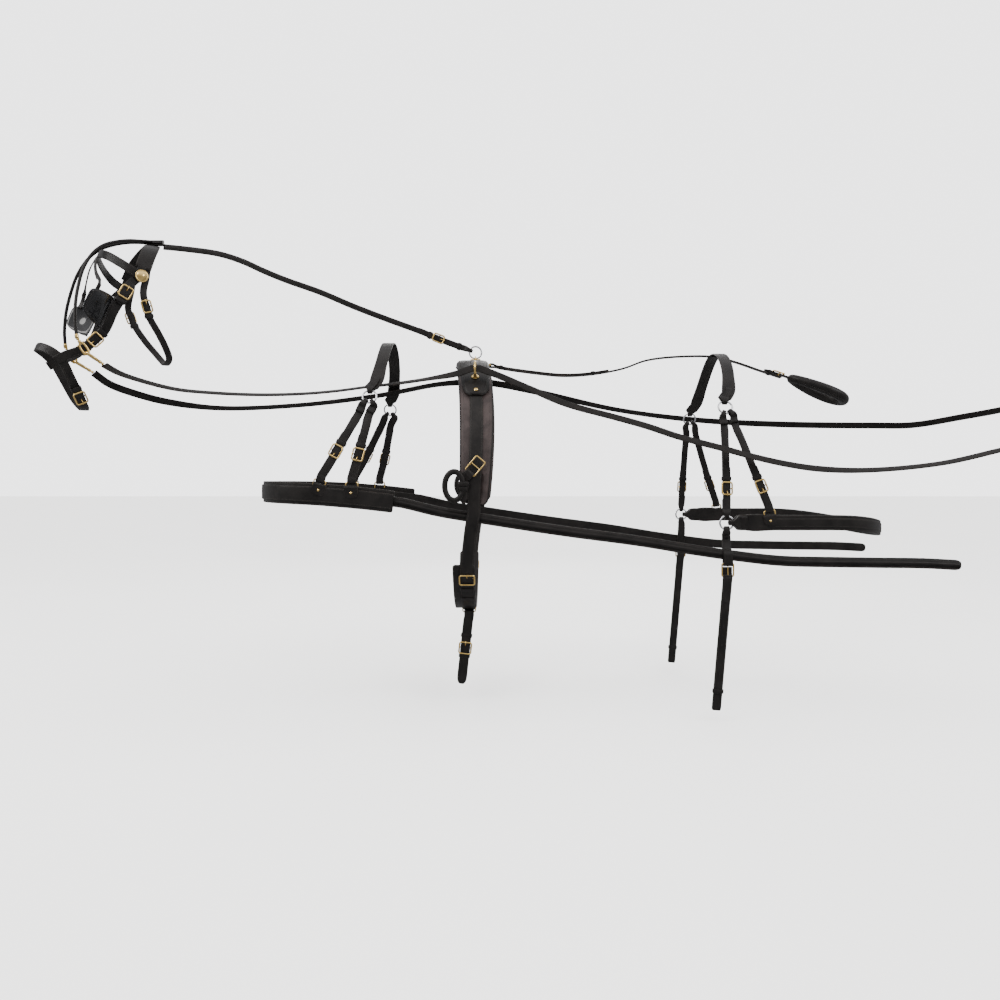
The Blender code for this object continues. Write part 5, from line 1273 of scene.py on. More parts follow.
# Each place: shares forward, sideways, up; the way the strap faces: forward, sideways, up;
# and how far it lies up on another strap's buckle bar
CROWN_SHARES = (((0.069, 0.475, -0.165), (0, 1, 0.05)), ((0.043, 0.415, -0.095), (0, 1, 0.5)),
                ((0.013, 0.260, -0.040), (0, 0.5, 1)), ((-0.007, 0, -0.014), (0, 0, 1)))
CHEEK_BILLET_SHARES = (((0.070, 0.474, -0.150), (0, 1, 0.1)), ((0.084, 0.480, -0.194), (0, 1, 0)),
                       ((0.104, 0.4845, -0.222), (0, 1, 0)), ((0.1299, 0.4925, -0.250), (0, 1, 0)),
                       ((0.1424, 0.4965, -0.274), (0, 1, 0), 0.85),
                       ((0.1601, 0.494, -0.308), (0, 1, 0), 0.97), ((0.1809, 0.487, -0.348), (0, 1, 0), 0.93))
THROAT_BILLET_SHARES = (((0.048, 0.465, -0.150), (0, 1, 0.1)), ((0.056, 0.470, -0.215), (0, 1, 0)),
                        ((0.066, 0.472, -0.262), (0, 1, 0)), ((0.0674, 0.4707, -0.302), (0, 1, 0), 0.85),
                        ((0.0521, 0.4547, -0.350), (0, 1, 0), 0.97),
                        ((0.0362, 0.438, -0.400), (0, 1, -0.1), 0.93))
BROW_SHARES = (((0.072, 0.486, -0.222), (0, 1, 0)), ((0.095, 0.486, -0.197), (0.2, 1, 0)),
               ((0.130, 0.487, -0.175), (0.3, 1, 0.1)), ((0.165, 0.415, -0.145), (0.7, 0.8, 0.1)),
               ((0.205, 0.250, -0.108), (1, 0.3, 0.3)), ((0.226, 0, -0.088), (1, 0, 0.4)))
CHEEK_SHARES = (((0.1403, 0.4965, -0.270), (0, 1, 0)), ((0.149, 0.498, -0.2868), (0, 1, 0)),
                ((0.1559, 0.4955, -0.300), (0, 1, 0)), ((0.2015, 0.480, -0.3876), (0, 1, 0)),
                ((0.224, 0.445, -0.450), (0, 1, -0.1)),
                ((0.240, 0.4222, -0.4823), (0, 1, -0.1)), ((0.262, 0.4121, -0.5058), (0, 1, -0.1)),
                ((0.283, 0.4026, -0.5283), (0, 1, -0.1)), ((0.293, 0.398, -0.539), (0, 1, -0.1)))
BIT_STRAP_SHARES = (((0.244, 0.4204, -0.4866), (0, 1, -0.1), 0.92),
                    ((0.258, 0.414, -0.5016), (0, 1, -0.1), 1), ((0.283, 0.4026, -0.5283), (0, 1, -0.1), 1),
                    ((0.306, 0.3921, -0.5529), (0, 1, -0.1), 0.85),
                    ((0.340, 0.368, -0.576), (0, 1, -0.1)), ((0.370, 0.344, -0.590), (0.1, 1, -0.1)),
                    ((0.402, 0.320, -0.606), (0.1, 1, 0), 0.5), ((0.440, 0.300, -0.632), (0.2, 1, 0), 0.5))
NOSE_SHARES = (((0.320, 0.160, -0.806), (0, 1, -0.3)), ((0.330, 0.190, -0.788), (0, 1, -0.25)),
               ((0.374, 0.262, -0.700), (0, 1, 0)), ((0.412, 0.305, -0.624), (0.1, 1, 0)),
               ((0.450, 0.260, -0.586), (0.6, 0.9, 0.1)), ((0.490, 0.130, -0.563), (1, 0.5, 0.3)),
               ((0.503, 0, -0.562), (1, 0, 0.4)))
JAW_SHARES = (((0.374, 0.262, -0.700), (0, 1, 0)), ((0.328, 0.185, -0.795), (0, 1, -0.3)),
              ((0.304, 0.090, -0.832), (-0.2, 0.5, -1)), ((0.300, 0, -0.840), (0, 0, -1)))
BILLET_SHARES = (((0.304, 0.090, -0.834), (-0.2, 0.5, -1)), ((0.316, 0.150, -0.815), (0, 1, -0.5), 1),
                 ((0.330, 0.190, -0.788), (0, 1, -0.25), 1), ((0.350, 0.230, -0.745), (0, 1, -0.1), 1))
THROAT_SHARES = (((0.061, 0.464, -0.322), (0, 1, 0)), ((0.0505, 0.453, -0.355), (0, 1, -0.05)),
                 ((0.040, 0.442, -0.388), (0, 1, -0.1)), ((-0.010, 0.400, -0.468), (-0.1, 1, -0.2)),
                 ((-0.048, 0.310, -0.524), (-0.1, 1, -0.4)), ((-0.076, 0.190, -0.572), (-0.2, 0.8, -0.8)),
                 ((-0.076, 0, -0.594), (0, 0, -1)))
CHECK_SHARES = ((0.358, 0.500, -0.525), (0.364, 0.470, -0.453), (0.360, 0.420, -0.364),
                (0.344, 0.340, -0.271), (0.315, 0.260, -0.172), (0.268, 0.190, -0.090),
                (0.218, 0.140, -0.044), (0.156, 0.100, -0.015), (0.095, 0.070, 0.002),
                (0.050, 0.050, 0.008), (0.000, 0.045, 0.013))
STAY_SHARES = (((0.268, 0.360, -0.198), (1, 0.3, 0.2)), ((0.262, 0.220, -0.148), (1, 0.3, 0.3)),
               ((0.250, 0.080, -0.114), (1, 0.1, 0.5)), ((0.248, 0, -0.108), (1, 0, 0.5)))
BLINKER_SHARES = ((0.198, 0.502, -0.317), (0.263, 0.464, -0.465), (0.353, 0.700, -0.411),
                  (0.307, 0.760, -0.291))


def bridle():
    """Crownpiece, browband with rosettes, cheek straps, throatlatch, noseband and bit straps."""
    lift = STRAP_THICK / 2
    over = STRAP_THICK * 3 / 2 + 2 * GAP
    brass, loops, trim = Shape(), Shape(), Trim()
    crown, throat = Shape(), Shape()
    crown_rows = smooth(both_sides(CROWN_SHARES, CROWN_WIDTH, lift), RUN)
    sewn(crown, trim, crown_rows)
    throat_rows = smooth(both_sides(THROAT_SHARES, THROAT_WIDTH, lift), RUN)
    sewn(throat, trim, throat_rows)
    for label, side in SIDES:
        for table, width in ((CHEEK_BILLET_SHARES, CHEEK_WIDTH), (THROAT_BILLET_SHARES, THROAT_WIDTH)):
            rows = pointed(smooth(head_rows(table, side, width, lift), FINE))
            strap(crown, rows, STRAP_THICK - BITE / 2)
            trim.punch(rows, STRAP_THICK - BITE / 2, first=0.062, count=4, pitch=0.020)
        cheek, bit = Shape(), Shape()
        cheek_rows = smooth(head_rows(CHEEK_SHARES, side, CHEEK_WIDTH, lift), FINE)
        sewn(cheek, trim, cheek_rows)
        bit_rows = pointed(smooth(head_rows(BIT_STRAP_SHARES, side, CHEEK_WIDTH, lift), FINE), last=False)
        sewn(bit, trim, bit_rows, ends=0.045)
        trim.punch(bit_rows, STRAP_THICK, first=0.022, count=2, pitch=0.016)
        for rows, width in ((cheek_rows[::-1], CHEEK_WIDTH),
                            (throat_rows[::1 if side == FAR else -1], THROAT_WIDTH),
                            (cheek_rows, CHEEK_WIDTH)):
            point, heading, outward = along_rows(rows, BUCKLE_SET)
            fitted(brass, loops, point + outward * lift, heading, outward, width, share=0.85)
        piece(cheek, f"cheek_piece_{label}", "leather", f"cheek_strap_{label}", f"cheek_strap_{label}")
        piece(bit, f"bit_billet_{label}", "leather", f"bit_strap_{label}", f"bit_strap_{label}")
    piece(crown, "headpiece", "leather", "crownpiece", "crownpiece")
    piece(throat, "throat_strap", "leather", "throatlatch", "throatlatch")

    brow = Shape()
    brow_rows = smooth(both_sides(BROW_SHARES, CHEEK_WIDTH, over), FINE)
    sewn(brow, trim, brow_rows)
    for label, side in SIDES:
        centre = head(0.078, 0.486, -0.203, side)
        outward = head_vector(0, side, 0)
        rosette(brass, centre + outward * (over + STRAP_THICK / 2), outward)
    piece(brow, "brow_strap", "leather", "browband", "browband")
    nose(brass, loops, trim)
    fittings("bridle", "crownpiece", brass, loops, trim)


def nose(brass, loops, trim):
    """The noseband: over the nose, under the jaw and up into its buckle on the near side."""
    lift = STRAP_THICK / 2
    rows = head_rows(NOSE_SHARES, NEAR, NOSE_WIDTH, lift)
    rows += head_rows(NOSE_SHARES[3:-1], FAR, NOSE_WIDTH, lift)[::-1]
    rows += head_rows(JAW_SHARES, FAR, NOSE_WIDTH, lift)
    rows += head_rows(BILLET_SHARES, NEAR, NOSE_WIDTH, lift)
    rows = pointed(smooth(rows, FINE))
    band = Shape()
    sewn(band, trim, rows, ends=0.05)
    trim.punch(rows[::-1], STRAP_THICK, first=0.016, count=3, pitch=0.016)
    point, heading, outward = along_rows(rows[::-1], BUCKLE_SET)
    fitted(brass, loops, point + outward * lift, heading, outward, NOSE_WIDTH, share=0.8)
    piece(band, "nose_strap", "leather", "noseband", "noseband")


def overcheck():
    """The round straps of the check, up each side of the face, joined behind the poll."""
    rolled, brass, trim = Shape(), Shape(), Trim()
    for _, side in SIDES:
        points = [(*head(*share, side), 0, 0, 0, 1) for share in CHECK_SHARES]
        line = smooth(points, FINE)[:, :3]
        tube(rolled, line, ROLL_RADIUS, sides=14)
        start, way = Vector(line[0]), unit(line[1] - line[0])
        turned(brass, [(ROLL_RADIUS * s, h) for s, h in ((0.7, 0), (1.12, 0.0006), (1.18, 0.002),
                                                         (1.18, 0.009), (1.12, 0.0104), (0.9, 0.011))],
               start - way * 0.001, way, sides=20)
    thick = 3 * ROLL_RADIUS
    rows = smooth([row((-JOIN_REACH - CHECK_WIDTH * s, 0, JOIN_RISE), -LATERAL, CHECK_WIDTH)
                   for s in (2.8, 1.9, 1.2, 0)], FINE)
    strap(rolled, pointed(rows, last=False, length=0.3, blunt=0.6), thick, edge=0.0045)
    trim.sew(rows, thick, inset=0.0026)
    piece(rolled, "check_rolls", "leather", "overcheck", "overcheck")
    piece(brass, "check_ferrules", "brass", "overcheck")
    trim.make("overcheck", "overcheck")


def blinkers():
    """Patent leather blinkers with a bound edge, and the stay that holds them apart."""
    trim, laps = Trim(), {}
    for label, side in SIDES:
        corners = [head(*share, side) for share in BLINKER_SHARES]
        centre = sum(corners, Vector()) / 4
        outward = (corners[2] - corners[0]).cross(corners[3] - corners[1]).normalized()
        if outward.dot(head_vector(0, side, 0)) < 0:
            outward.negate()

        def place(across, down, lift):
            top, low = corners[0].lerp(corners[3], across), corners[1].lerp(corners[2], across)
            round_off = BLINKER_ROUND_SHARE * across ** 4 * (2 * down - 1) ** 4
            crown = BLINKER_CROWN * math.sin(math.pi * across) * math.sin(math.pi * down)
            return top.lerp(low, down).lerp(centre, round_off) + outward * (crown + lift)

        cup, rings = Shape(), []
        for i in range(BLINKER_STEPS + 1):
            across = i / BLINKER_STEPS
            outer, inner = [], []
            for j in range(BLINKER_STEPS + 1):
                down = j / BLINKER_STEPS
                edge = max(abs(2 * across - 1), abs(2 * down - 1))
                thick = BLINKER_THICK / 2 * max(math.sqrt(max(1 - edge ** 10, 0)), 0.05)
                outer.append(tuple(place(across, down, thick)))
                inner.append(tuple(place(across, down, -thick)))
            rings.append(outer + inner[::-1])
        cup.grid(rings)
        border = [place(x, y, 0) for x, y in square_walk(margin=0.012, count=60)]
        tube(cup, border, 0.0022, loop=True, sides=10)
        for margin in (0.05, 0.05 + 0.035):
            walk = square_walk(margin, count=80)
            lift = BLINKER_THICK / 2 + 0.0001
            trim.seams.append(np.array([tuple(place(x, y, lift)) for x, y in walk + walk[:1]]))
        piece(cup, f"blinker_cup_{label}", "patent", f"blinker_{label}", f"blinker_{label}")
        edge = corners[0].lerp(corners[3], STAY_PLACE_SHARE)
        down = (corners[1].lerp(corners[2], STAY_PLACE_SHARE) - edge).normalized()
        within = edge - outward * (BLINKER_THICK / 2 - 2 * GAP + THIN_THICK / 2)
        laps[side] = [row(within + down * STAY_WIDTH * s, outward, STAY_WIDTH) for s in (1, 0, -1)]
    stay = Shape()
    rows = laps[NEAR] + both_sides(STAY_SHARES, STAY_WIDTH, THIN_THICK / 2) + laps[FAR][::-1]
    rows = smooth(rows, FINE)
    strap(stay, rows, THIN_THICK, edge=0.0009)
    trim.sew(rows, THIN_THICK, inset=0.0022)
    piece(stay, "blinker_stay", "leather", "winker_stay", "winker_stay")
    trim.make("blinker", "blinker_near")


def square_walk(margin, count):
    """Places round a square with eased corners, each a share of its sides, a margin inside its edge."""
    low, high = margin, 1 - margin
    middle, half = (low + high) / 2, (high - low) / 2
    walk = []
    for i in range(count):
        turn = 2 * math.pi * i / count
        x, y = math.cos(turn), math.sin(turn)
        reach = (abs(x) ** 7 + abs(y) ** 7) ** (-1 / 7)
        walk.append((middle + half * x * reach, middle + half * y * reach))
    return walk


# Breast collar, neck strap, forks and traces


def collar_place(reach, side, lift=0.0):
    """A place on the collar's middle line, by its distance in front of the saddle."""
    along = (CHEST_REACH - reach) / (CHEST_REACH - COLLAR_END)
    drop = -COLLAR_DROP - COLLAR_FALL * along ** 2
    return Vector((-reach, side * (CHEST_HALF + lift), drop))


def collar_rows():
    """The collar's middle line round the chest, lifted over the trace at either end."""
    lift = BODY_THICK / 2
    over = TRACE_THICK + 4 * GAP
    rows = []
    for side in (NEAR, FAR):
        part = []
        straight = CHEST_REACH - CHEST_ROUND
        for share in (0, 0.35, 0.60, 0.85):
            reach = COLLAR_END + (straight - COLLAR_END) * share
            point = collar_place(reach, side, lift + (over if share < 0.7 else 0))
            part.append(row(point, (0, side, 0), COLLAR_WIDTH))
        for turn in range(90, 0, -15):
            angle = math.radians(turn)
            reach = CHEST_REACH - CHEST_ROUND * (1 - math.cos(angle))
            outward = Vector((-CHEST_HALF * math.cos(angle), side * CHEST_ROUND * math.sin(angle), 0))
            point = collar_place(reach, side)
            point.y = side * CHEST_HALF * math.sin(angle)
            part.append(row(point + outward.normalized() * lift, outward, COLLAR_WIDTH))
        if side == NEAR:
            rows += part
            rows.append(row(collar_place(CHEST_REACH + lift, 0), -ALONG, COLLAR_WIDTH))
        else:
            rows += part[::-1]
    return rows


def chape(shape, trim, edge, up, outward, width, tall=0.030):
    """A small leather tab over a dee's legs, riveted to the strap that carries it."""
    up, outward = unit(up), unit(outward)
    foot = Vector(edge) + outward * (CHAPE_THICK / 2)
    rows = [row(foot - up * s, outward, width + 0.014) for s in np.linspace(-0.0012, tall, 7)]
    strap(shape, pointed(rows, length=0.45, blunt=0.25), CHAPE_THICK, edge=0.0009)
    trim.rivet(foot + outward * (CHAPE_THICK / 2) - up * tall * 0.55, outward)


def ring_place(at, angle, side):
    """A loose ring's centre on a section, its fall line and its outward."""
    point, outward = at(angle, side, wire_lift(RING_WIRE, RING_RADIUS, STRAP_THICK))
    return point, outward.cross(ALONG) * side, outward


def loose_ring(name, node, centre, axis, radius):
    """A steel ring that straps are turned round."""
    made = Shape()
    ring(made, centre, axis, radius, RING_WIRE)
    piece(made, name, "steel", node, node)


def over_the_top(at, ring_angle, lift, width, rings, clear):
    """Rows of a strap from ring to ring over the top of the trunk."""
    rows = []
    stop = ring_angle - clear
    for i in range(-4, 5):
        point, outward = at(stop * abs(i) / 4, NEAR if i < 0 else FAR, lift)
        rows.append(row(point, outward, width))
    ends = {}
    for side, (centre, fall, outward) in rings.items():
        seat = ring_end(centre, -fall, outward, EYE_WIDTH)
        ends[side] = (seat, RING_WIRE, RING_RADIUS, EYE_TAIL, STRAP_THICK + GAP)
    return eyed(rows, STRAP_THICK, width / 2, start=ends[NEAR], end=ends[FAR])


def two_ply(shape, trim, rows, full):
    """A wide strap with a narrower layer sewn along its outer face, together as thick as the CAD's."""
    base, layer = full * 0.54, full * 0.46
    lower, upper = shifted(rows, -(full - base) / 2), shifted(rows, (full - layer) / 2)
    upper[:, 6] *= INNER_PLY_SHARE
    strap(shape, lower, base, edge=0.0019)
    strap(shape, upper, layer, edge=0.0016, crown=0.0007)
    trim.sew(upper, layer)
    trim.sew(lower, base, inset=0.0024)


def breast():
    """Breast collar, neck strap with its rings, and the four forks."""
    collar, neck, brass, loops, trim = Shape(), Shape(), Shape(), Shape(), Trim()
    middle_line = smooth(collar_rows(), RUN)
    two_ply(collar, trim, both_pointed(middle_line, length=0.12, blunt=0.85), BODY_THICK)
    clear = ring_clear(CHEST_HALF, NECK_DROP)
    rings = {side: ring_place(NECK, NECK_RING_ANGLE, side) for _, side in SIDES}
    full, line = over_the_top(NECK, NECK_RING_ANGLE, STRAP_THICK / 2, NECK_WIDTH, rings, clear)
    strap(neck, full, STRAP_THICK)
    trim.sew(line, STRAP_THICK, ends=0.05)
    piece(neck, "neck_band", "leather", "neck_strap", "neck_strap")
    for label, side in SIDES:
        centre, fall, outward = rings[side]
        facing = Vector((0, side, 0))
        loose_ring(f"neck_loose_ring_{label}", f"neck_ring_{label}", centre, outward, RING_RADIUS)
        for kind, reach, share, turn in FORKS:
            base = collar_place(reach, side, BODY_THICK - WIRE)
            up = unit((math.tan(FORK_DEE_TURN) if kind == "front" else 0, 0, 1))
            bar = base + UP * (COLLAR_WIDTH / 2 + dee_lift())
            dee(brass, bar, up.cross(LATERAL), up, FORK_WIDTH)
            here = min(middle_line, key=lambda r: abs(r[0] + reach) + (0 if r[1] * side > 0 else 1))
            edge = Vector((-reach, here[1] + side * BODY_THICK / 2, here[2] + COLLAR_WIDTH / 2 - 0.001))
            chape(collar, trim, edge, up, facing, FORK_WIDTH)
            toward = fall * math.cos(turn) - ALONG * math.sin(turn)
            first = ring_end(centre, toward, outward, FORK_EYE_WIDTH)
            last = seat_of(bar, -up, facing, WIRE, None, STRAP_THICK, FORK_WIDTH)
            one = fork(NECK, NECK_RING_ANGLE + clear, FORK_STOP_ANGLE, first, last, side, FORK_WIDTH, share,
                       (WIRE, None), brass, loops, trim)
            node = f"{kind}_fork_{label}"
            piece(one, f"{kind}_fork_strap_{label}", "leather", node, node)
    piece(collar, "collar_body", "leather", "breast_collar", "breast_collar")
    fittings("breast", "breast_collar", brass, loops, trim)


def fork(at, start, stop, first, last, side, width, buckle_share, wire, brass, loops, trim):
    """A strap from a ring down to a dee or another ring, turned up and buckled on itself."""
    rows = on_section(at, start, stop, first[1], last[1], side, width, STRAP_THICK / 2)
    where = (Vector(first[1][:3]) - Vector(last[1][:3])).length * buckle_share
    full, line = eyed(rows, STRAP_THICK, width,
                      start=(first, RING_WIRE, RING_RADIUS, EYE_TAIL / 2, STRAP_THICK + GAP),
                      end=(last, *wire, where + BUCKLE_LENGTH / 2 + 0.028, billet_level()), step=FINE)
    made = Shape()
    full = pointed(full, length=0.7)
    strap(made, full, STRAP_THICK)
    trim.sew(line, STRAP_THICK, ends=where + 0.045)
    trim.sew(full[:len(line) // 3], STRAP_THICK, ends=0.004)
    trim.punch(full[-int(0.05 / FINE) - 8:][::-1], -STRAP_THICK, first=0.010, count=1)
    point, heading, outward = along_rows(line, where)
    fitted(brass, loops, point + outward * STRAP_THICK / 2, heading, outward, width, share=0.82)
    return made


TRACE_SHARES = ((0.082, 0.16), (0.153, 0.26), (0.294, 0.45), (0.436, 0.62), (0.525, 0.75), (0.603, 0.85),
                (0.684, 0.93), (0.771, 0.95), (0.844, 0.96), (0.936, 0.97), (1, 1))


def trace_line(side, step):
    """The trace's middle line: under the collar's end, over the barrel and back to its tip."""
    start = CHEST_HALF + TRACE_THICK / 2 + GAP
    saddle = BARREL_HALF + PAD_THICK / 2
    rows = []
    for reach in (COLLAR_END + COLLAR_WIDTH * 2, COLLAR_END + COLLAR_WIDTH, COLLAR_END,
                  COLLAR_END - COLLAR_WIDTH / 3):
        point = collar_place(reach, 0)
        rows.append(row((point.x, side * start, point.z), (0, side, 0), TRACE_WIDTH))
    drop = -COLLAR_DROP - COLLAR_FALL
    for along, down in TRACE_SHARES:
        x = -COLLAR_END + TRACE_LENGTH * along
        bulge = saddle + TRACE_BULGE * math.sin(math.pi / 2 * min(max(x, 0) / COLLAR_END, 1))
        if along < TRACE_SHARES[1][0]:
            bulge = (start + saddle) / 2
        rows.append(row((x, side * bulge, drop - TRACE_DROP * down), (0, side, 0), TRACE_WIDTH))
    return smooth(rows, step)


def traces():
    """The traces: each drawn as one thick strap for its two plies, sewn along both edges, with four holes
    punched near the tail end.
    """
    for label, side in SIDES:
        rows = pointed(trace_line(side, RUN * 2), length=0.6, blunt=0.45)
        made, trim = Shape(), Trim()
        strap(made, rows, TRACE_THICK, edge=0.0026, crown=0.0003)
        trim.sew(rows, TRACE_THICK, inset=0.0040, ends=0.012)
        trim.punch(rows, TRACE_THICK, first=length_of(rows) - 0.130, count=4, pitch=0.028)
        piece(made, f"trace_strap_{label}", "leather", f"trace_{label}", f"trace_{label}")
        trim.make(f"trace_{label}", f"trace_{label}")


# Saddle, back band, tugs, girth and belly band


def saddle_shift(angle):
    """How far the saddle's middle line stands behind the top of the back, at an angle round the barrel."""
    return SADDLE_BULGE * math.sin(angle * 3 / 2) - SADDLE_PLACE


def on_saddle(angle, side, lift):
    """A place on the saddle's middle line, and its outward."""
    point, outward = BARREL(angle, side, lift)
    point.x += saddle_shift(angle)
    return point, outward


def on_belly(angle, side, lift, reach):
    """A place on a band under the belly, and its outward."""
    point, outward = BELLY(angle, side, lift)
    point.x = -reach
    return point, outward


def belly_rows(end_angle, lift, reach, width):
    """Rows of a band under the belly, from the near end to the far end."""
    rows = []
    for side, angle in around([end_angle * i / BAND_STEPS for i in range(BAND_STEPS + 1)]):
        point, outward = on_belly(angle, side, lift, reach)
        rows.append(row(point, outward, width))
    return rows


def seat_base():
    return PAD_THICK + STRAP_THICK + 4 * GAP


def seat_height(angle):
    """Thickness of the saddle's seat at an angle from the top."""
    return SEAT_THICK - (SEAT_THICK - STRAP_THICK) * min(angle / SEAT_ANGLE, 1) ** 1.5


def around(angles):
    """Side and angle of each station from the near end over the top to the far end."""
    return [(NEAR, a) for a in angles[:0:-1]] + [(NEAR, 0)] + [(FAR, a) for a in angles[1:]]


def rear_dee_bar():
    return Vector((SADDLE_WIDTH / 2 - SADDLE_PLACE + dee_lift(), 0, seat_base() + SEAT_THICK / 3))


def saddle_ring_centre():
    top = seat_base() + SEAT_THICK + GAP + HOOK_PLATE + GAP + RING_WIRE
    return Vector((HOOK_REACH, 0, top + SADDLE_RING_RADIUS))


def saddle():
    """Padded panels, the seat over them, terrets, check hook and ring."""
    trim, brass = Trim(), Shape()
    saddle_pads(trim)
    saddle_skirt(trim)
    dee(brass, rear_dee_bar(), LATERAL, ALONG, BACK_STRAP_WIDTH)
    terrets(brass)
    check_hook()
    piece(brass, "saddle_brass", "brass", "saddle_seat")
    back_band(PAD_THICK + 2 * GAP, trim)
    trim.make("saddle", "saddle_seat")


def saddle_pads(trim):
    """The padded panel on either side of the back, and its bound edge."""
    for label, side in SIDES:
        rows = []
        for angle in np.linspace(STATIONS[1], STATIONS[-1], 30):
            point, outward = on_saddle(angle, side, PAD_THICK / 2)
            share = (angle / STATIONS[-1]) ** 3
            rows.append(row(point, outward, SADDLE_WIDTH + (SKIRT_WIDTH - SADDLE_WIDTH) * share))
        rows = pointed(rows, length=0.22, blunt=0.70)
        pad = Shape()
        strap(pad, rows, PAD_THICK, edge=PAD_THICK * 0.46, crown=0)
        made = piece(pad, f"saddle_pad_{label}", "panel", f"saddle_panel_{label}", f"saddle_panel_{label}")
        trim.sew(rows, PAD_THICK, inset=0.0100, ends=0.012)
        across, outward = strap_axes(rows)
        bound = Shape()
        for way in (-1, 1):
            edge = rows[:, :3] + across * (way * (rows[:, 6:7] / 2 - 0.0016)) + outward * PAD_THICK * 0.18
            tube(bound, edge, 0.0030, sides=10)
        piece(bound, f"saddle_binding_{label}", "leather", f"saddle_panel_{label}")


# Half of the seat's cross section: shares of its half width and of its thickness
SEAT_OUTLINE_SHARES = ((1.0, 0.30), (0.985, 0.55), (0.93, 0.76), (0.82, 0.91), (0.64, 0.985), (0.35, 1.0))


def saddle_skirt(trim):
    """The domed seat, piped along both edges and sewn beside the piping."""
    seat, sections = Shape(), []
    pipes, seams = {-1: [], 1: []}, {-1: [], 1: []}
    outline = [(-1, 0), (1, 0), *SEAT_OUTLINE_SHARES, (0, 1.0),
               *((-x, z) for x, z in SEAT_OUTLINE_SHARES[::-1])]
    for side, angle in around([SEAT_ANGLE * i / SEAT_STEPS for i in range(SEAT_STEPS + 1)]):
        low, outward = on_saddle(angle, side, seat_base())
        share = angle / SEAT_ANGLE
        half = SADDLE_WIDTH / 2 * (1 - SEAT_TAPER_SHARE * share ** 2)
        rounding = max(share - 0.90, 0) / 0.10
        half *= math.sqrt(max(1 - 0.72 * rounding ** 2, 0))
        thick = seat_height(angle)
        sections.append([tuple(low + ALONG * half * x + outward * thick * z) for x, z in outline])
        for way in (-1, 1):
            pipes[way].append(low + ALONG * half * way + outward * 0.0014)
            seams[way].append(tuple(low + ALONG * (half * 0.84) * way + outward * (thick * 0.90 + 0.0002)))
    seat.grid(sections)
    for way in (-1, 1):
        tube(seat, pipes[way], 0.0019, sides=10)
        trim.seams.append(np.array(seams[way]))
    piece(seat, "saddle_skirt", "leather", "saddle_seat", "saddle_seat")


def terrets(brass):
    """A terret on either side of the seat, and a domed nail near each of its ends."""
    nail_angle = SEAT_ANGLE * 0.93
    for label, side in SIDES:
        foot, outward = on_saddle(nail_angle, side, seat_base() + seat_height(nail_angle))
        turned(brass, [(0.0058, -0.0005), (0.0062, 0.0008), (0.0055, 0.0020), (0.0036, 0.0032),
                       (0.0006, 0.0037)], foot, outward)
        foot, outward = on_saddle(TERRET_ANGLE, side, seat_base() + seat_height(TERRET_ANGLE) - GAP)
        terret = Shape()
        ring(terret, foot + outward * (TERRET_RADIUS + TERRET_WIRE * 2), ALONG, TERRET_RADIUS, TERRET_WIRE)
        turned(terret, [(0.0050, -0.0010), (0.0105, 0.0002), (0.0108, 0.0012), (0.0095, 0.0022),
                        (0.0062, 0.0030), (0.0050, 0.0040), (0.0056, 0.0050), (0.0052, 0.0060),
                        (0.0034, 0.0072)], foot, outward)
        piece(terret, f"terret_ring_{label}", "brass", f"terret_{label}", f"terret_{label}")


def check_hook():
    """The plate and arch on top of the seat, and the loose ring that the arch holds."""
    top = seat_base() + SEAT_THICK + GAP
    centre = saddle_ring_centre()
    plate = Shape()
    plate.grid([[(centre.x + x, y, top + height) for x, y in
                 rounded_loop(HOOK_LENGTH / 2 - inset, HOOK_LENGTH / 4 - inset, corner=0.0045, steps=6)]
                for inset, height in ((0.0005, 0), (0, 0.0004), (0, HOOK_PLATE - 0.0008),
                                      (0.0008, HOOK_PLATE))])
    half = RING_WIRE + WIRE + GAP * 2
    low = centre.z - SADDLE_RING_RADIUS
    high = low + RING_WIRE + WIRE + GAP + bow_of(SADDLE_RING_RADIUS, 2 * WIRE)
    turns = [math.pi * i / ARCH_STEPS for i in range(ARCH_STEPS + 1)]
    arch = [(centre.x, half * math.cos(turn), top + BITE + (high - top - BITE) * math.sin(turn) ** 0.55)
            for turn in turns]
    tube(plate, arch, WIRE, sides=12)
    for way in (-1, 1):
        turned(plate, [(0.0028, -0.001), (0.0030, 0.0006), (0.0022, 0.0016), (0.0004, 0.0019)],
               (centre.x + way * HOOK_LENGTH * 0.36, 0, top + HOOK_PLATE), UP, sides=20)
    piece(plate, "check_hook_plate", "brass", "check_hook", "check_hook")
    loose_ring("saddle_loose_ring", "saddle_ring", centre, LATERAL, SADDLE_RING_RADIUS)


def back_band(level, trim):
    """One long strap over the saddle that ends as the billets of the belly band."""
    lift = level + STRAP_THICK / 2
    outer = GIRTH_THICK + GAP + STRAP_THICK / 2 + billet_level()
    ends = {}
    for side in (NEAR, FAR):
        places = [on_belly(angle, side, outer, BAND_PLACE)
                  for angle in (*BELLY_STATIONS[2:], BAND_BUCKLE_ANGLE * 1.12)]
        places += [((BAND_LEAN * share, side * (BARREL_HALF + lift), -drop), (0, side, 0))
                   for drop, share in ((TRACE_CROSS_DROP + TRACE_WIDTH, 0.1),
                                       (TRACE_CROSS_DROP - TRACE_WIDTH / 2, 0.6))]
        places += [on_saddle(angle, side, lift) for angle in STATIONS[:0:-1]]
        ends[side] = [row(*place, BAND_WIDTH) for place in places]
    rows = ends[NEAR] + [row((saddle_shift(0), 0, lift), UP, BAND_WIDTH)] + ends[FAR][::-1]
    rows = both_pointed(smooth(rows, RUN))
    band = Shape()
    sewn(band, trim, rows, ends=0.17)
    for way in (1, -1):
        trim.punch(rows[::way], STRAP_THICK, first=0.030, count=6)
    piece(band, "back_band_strap", "leather", "backband", "backband")


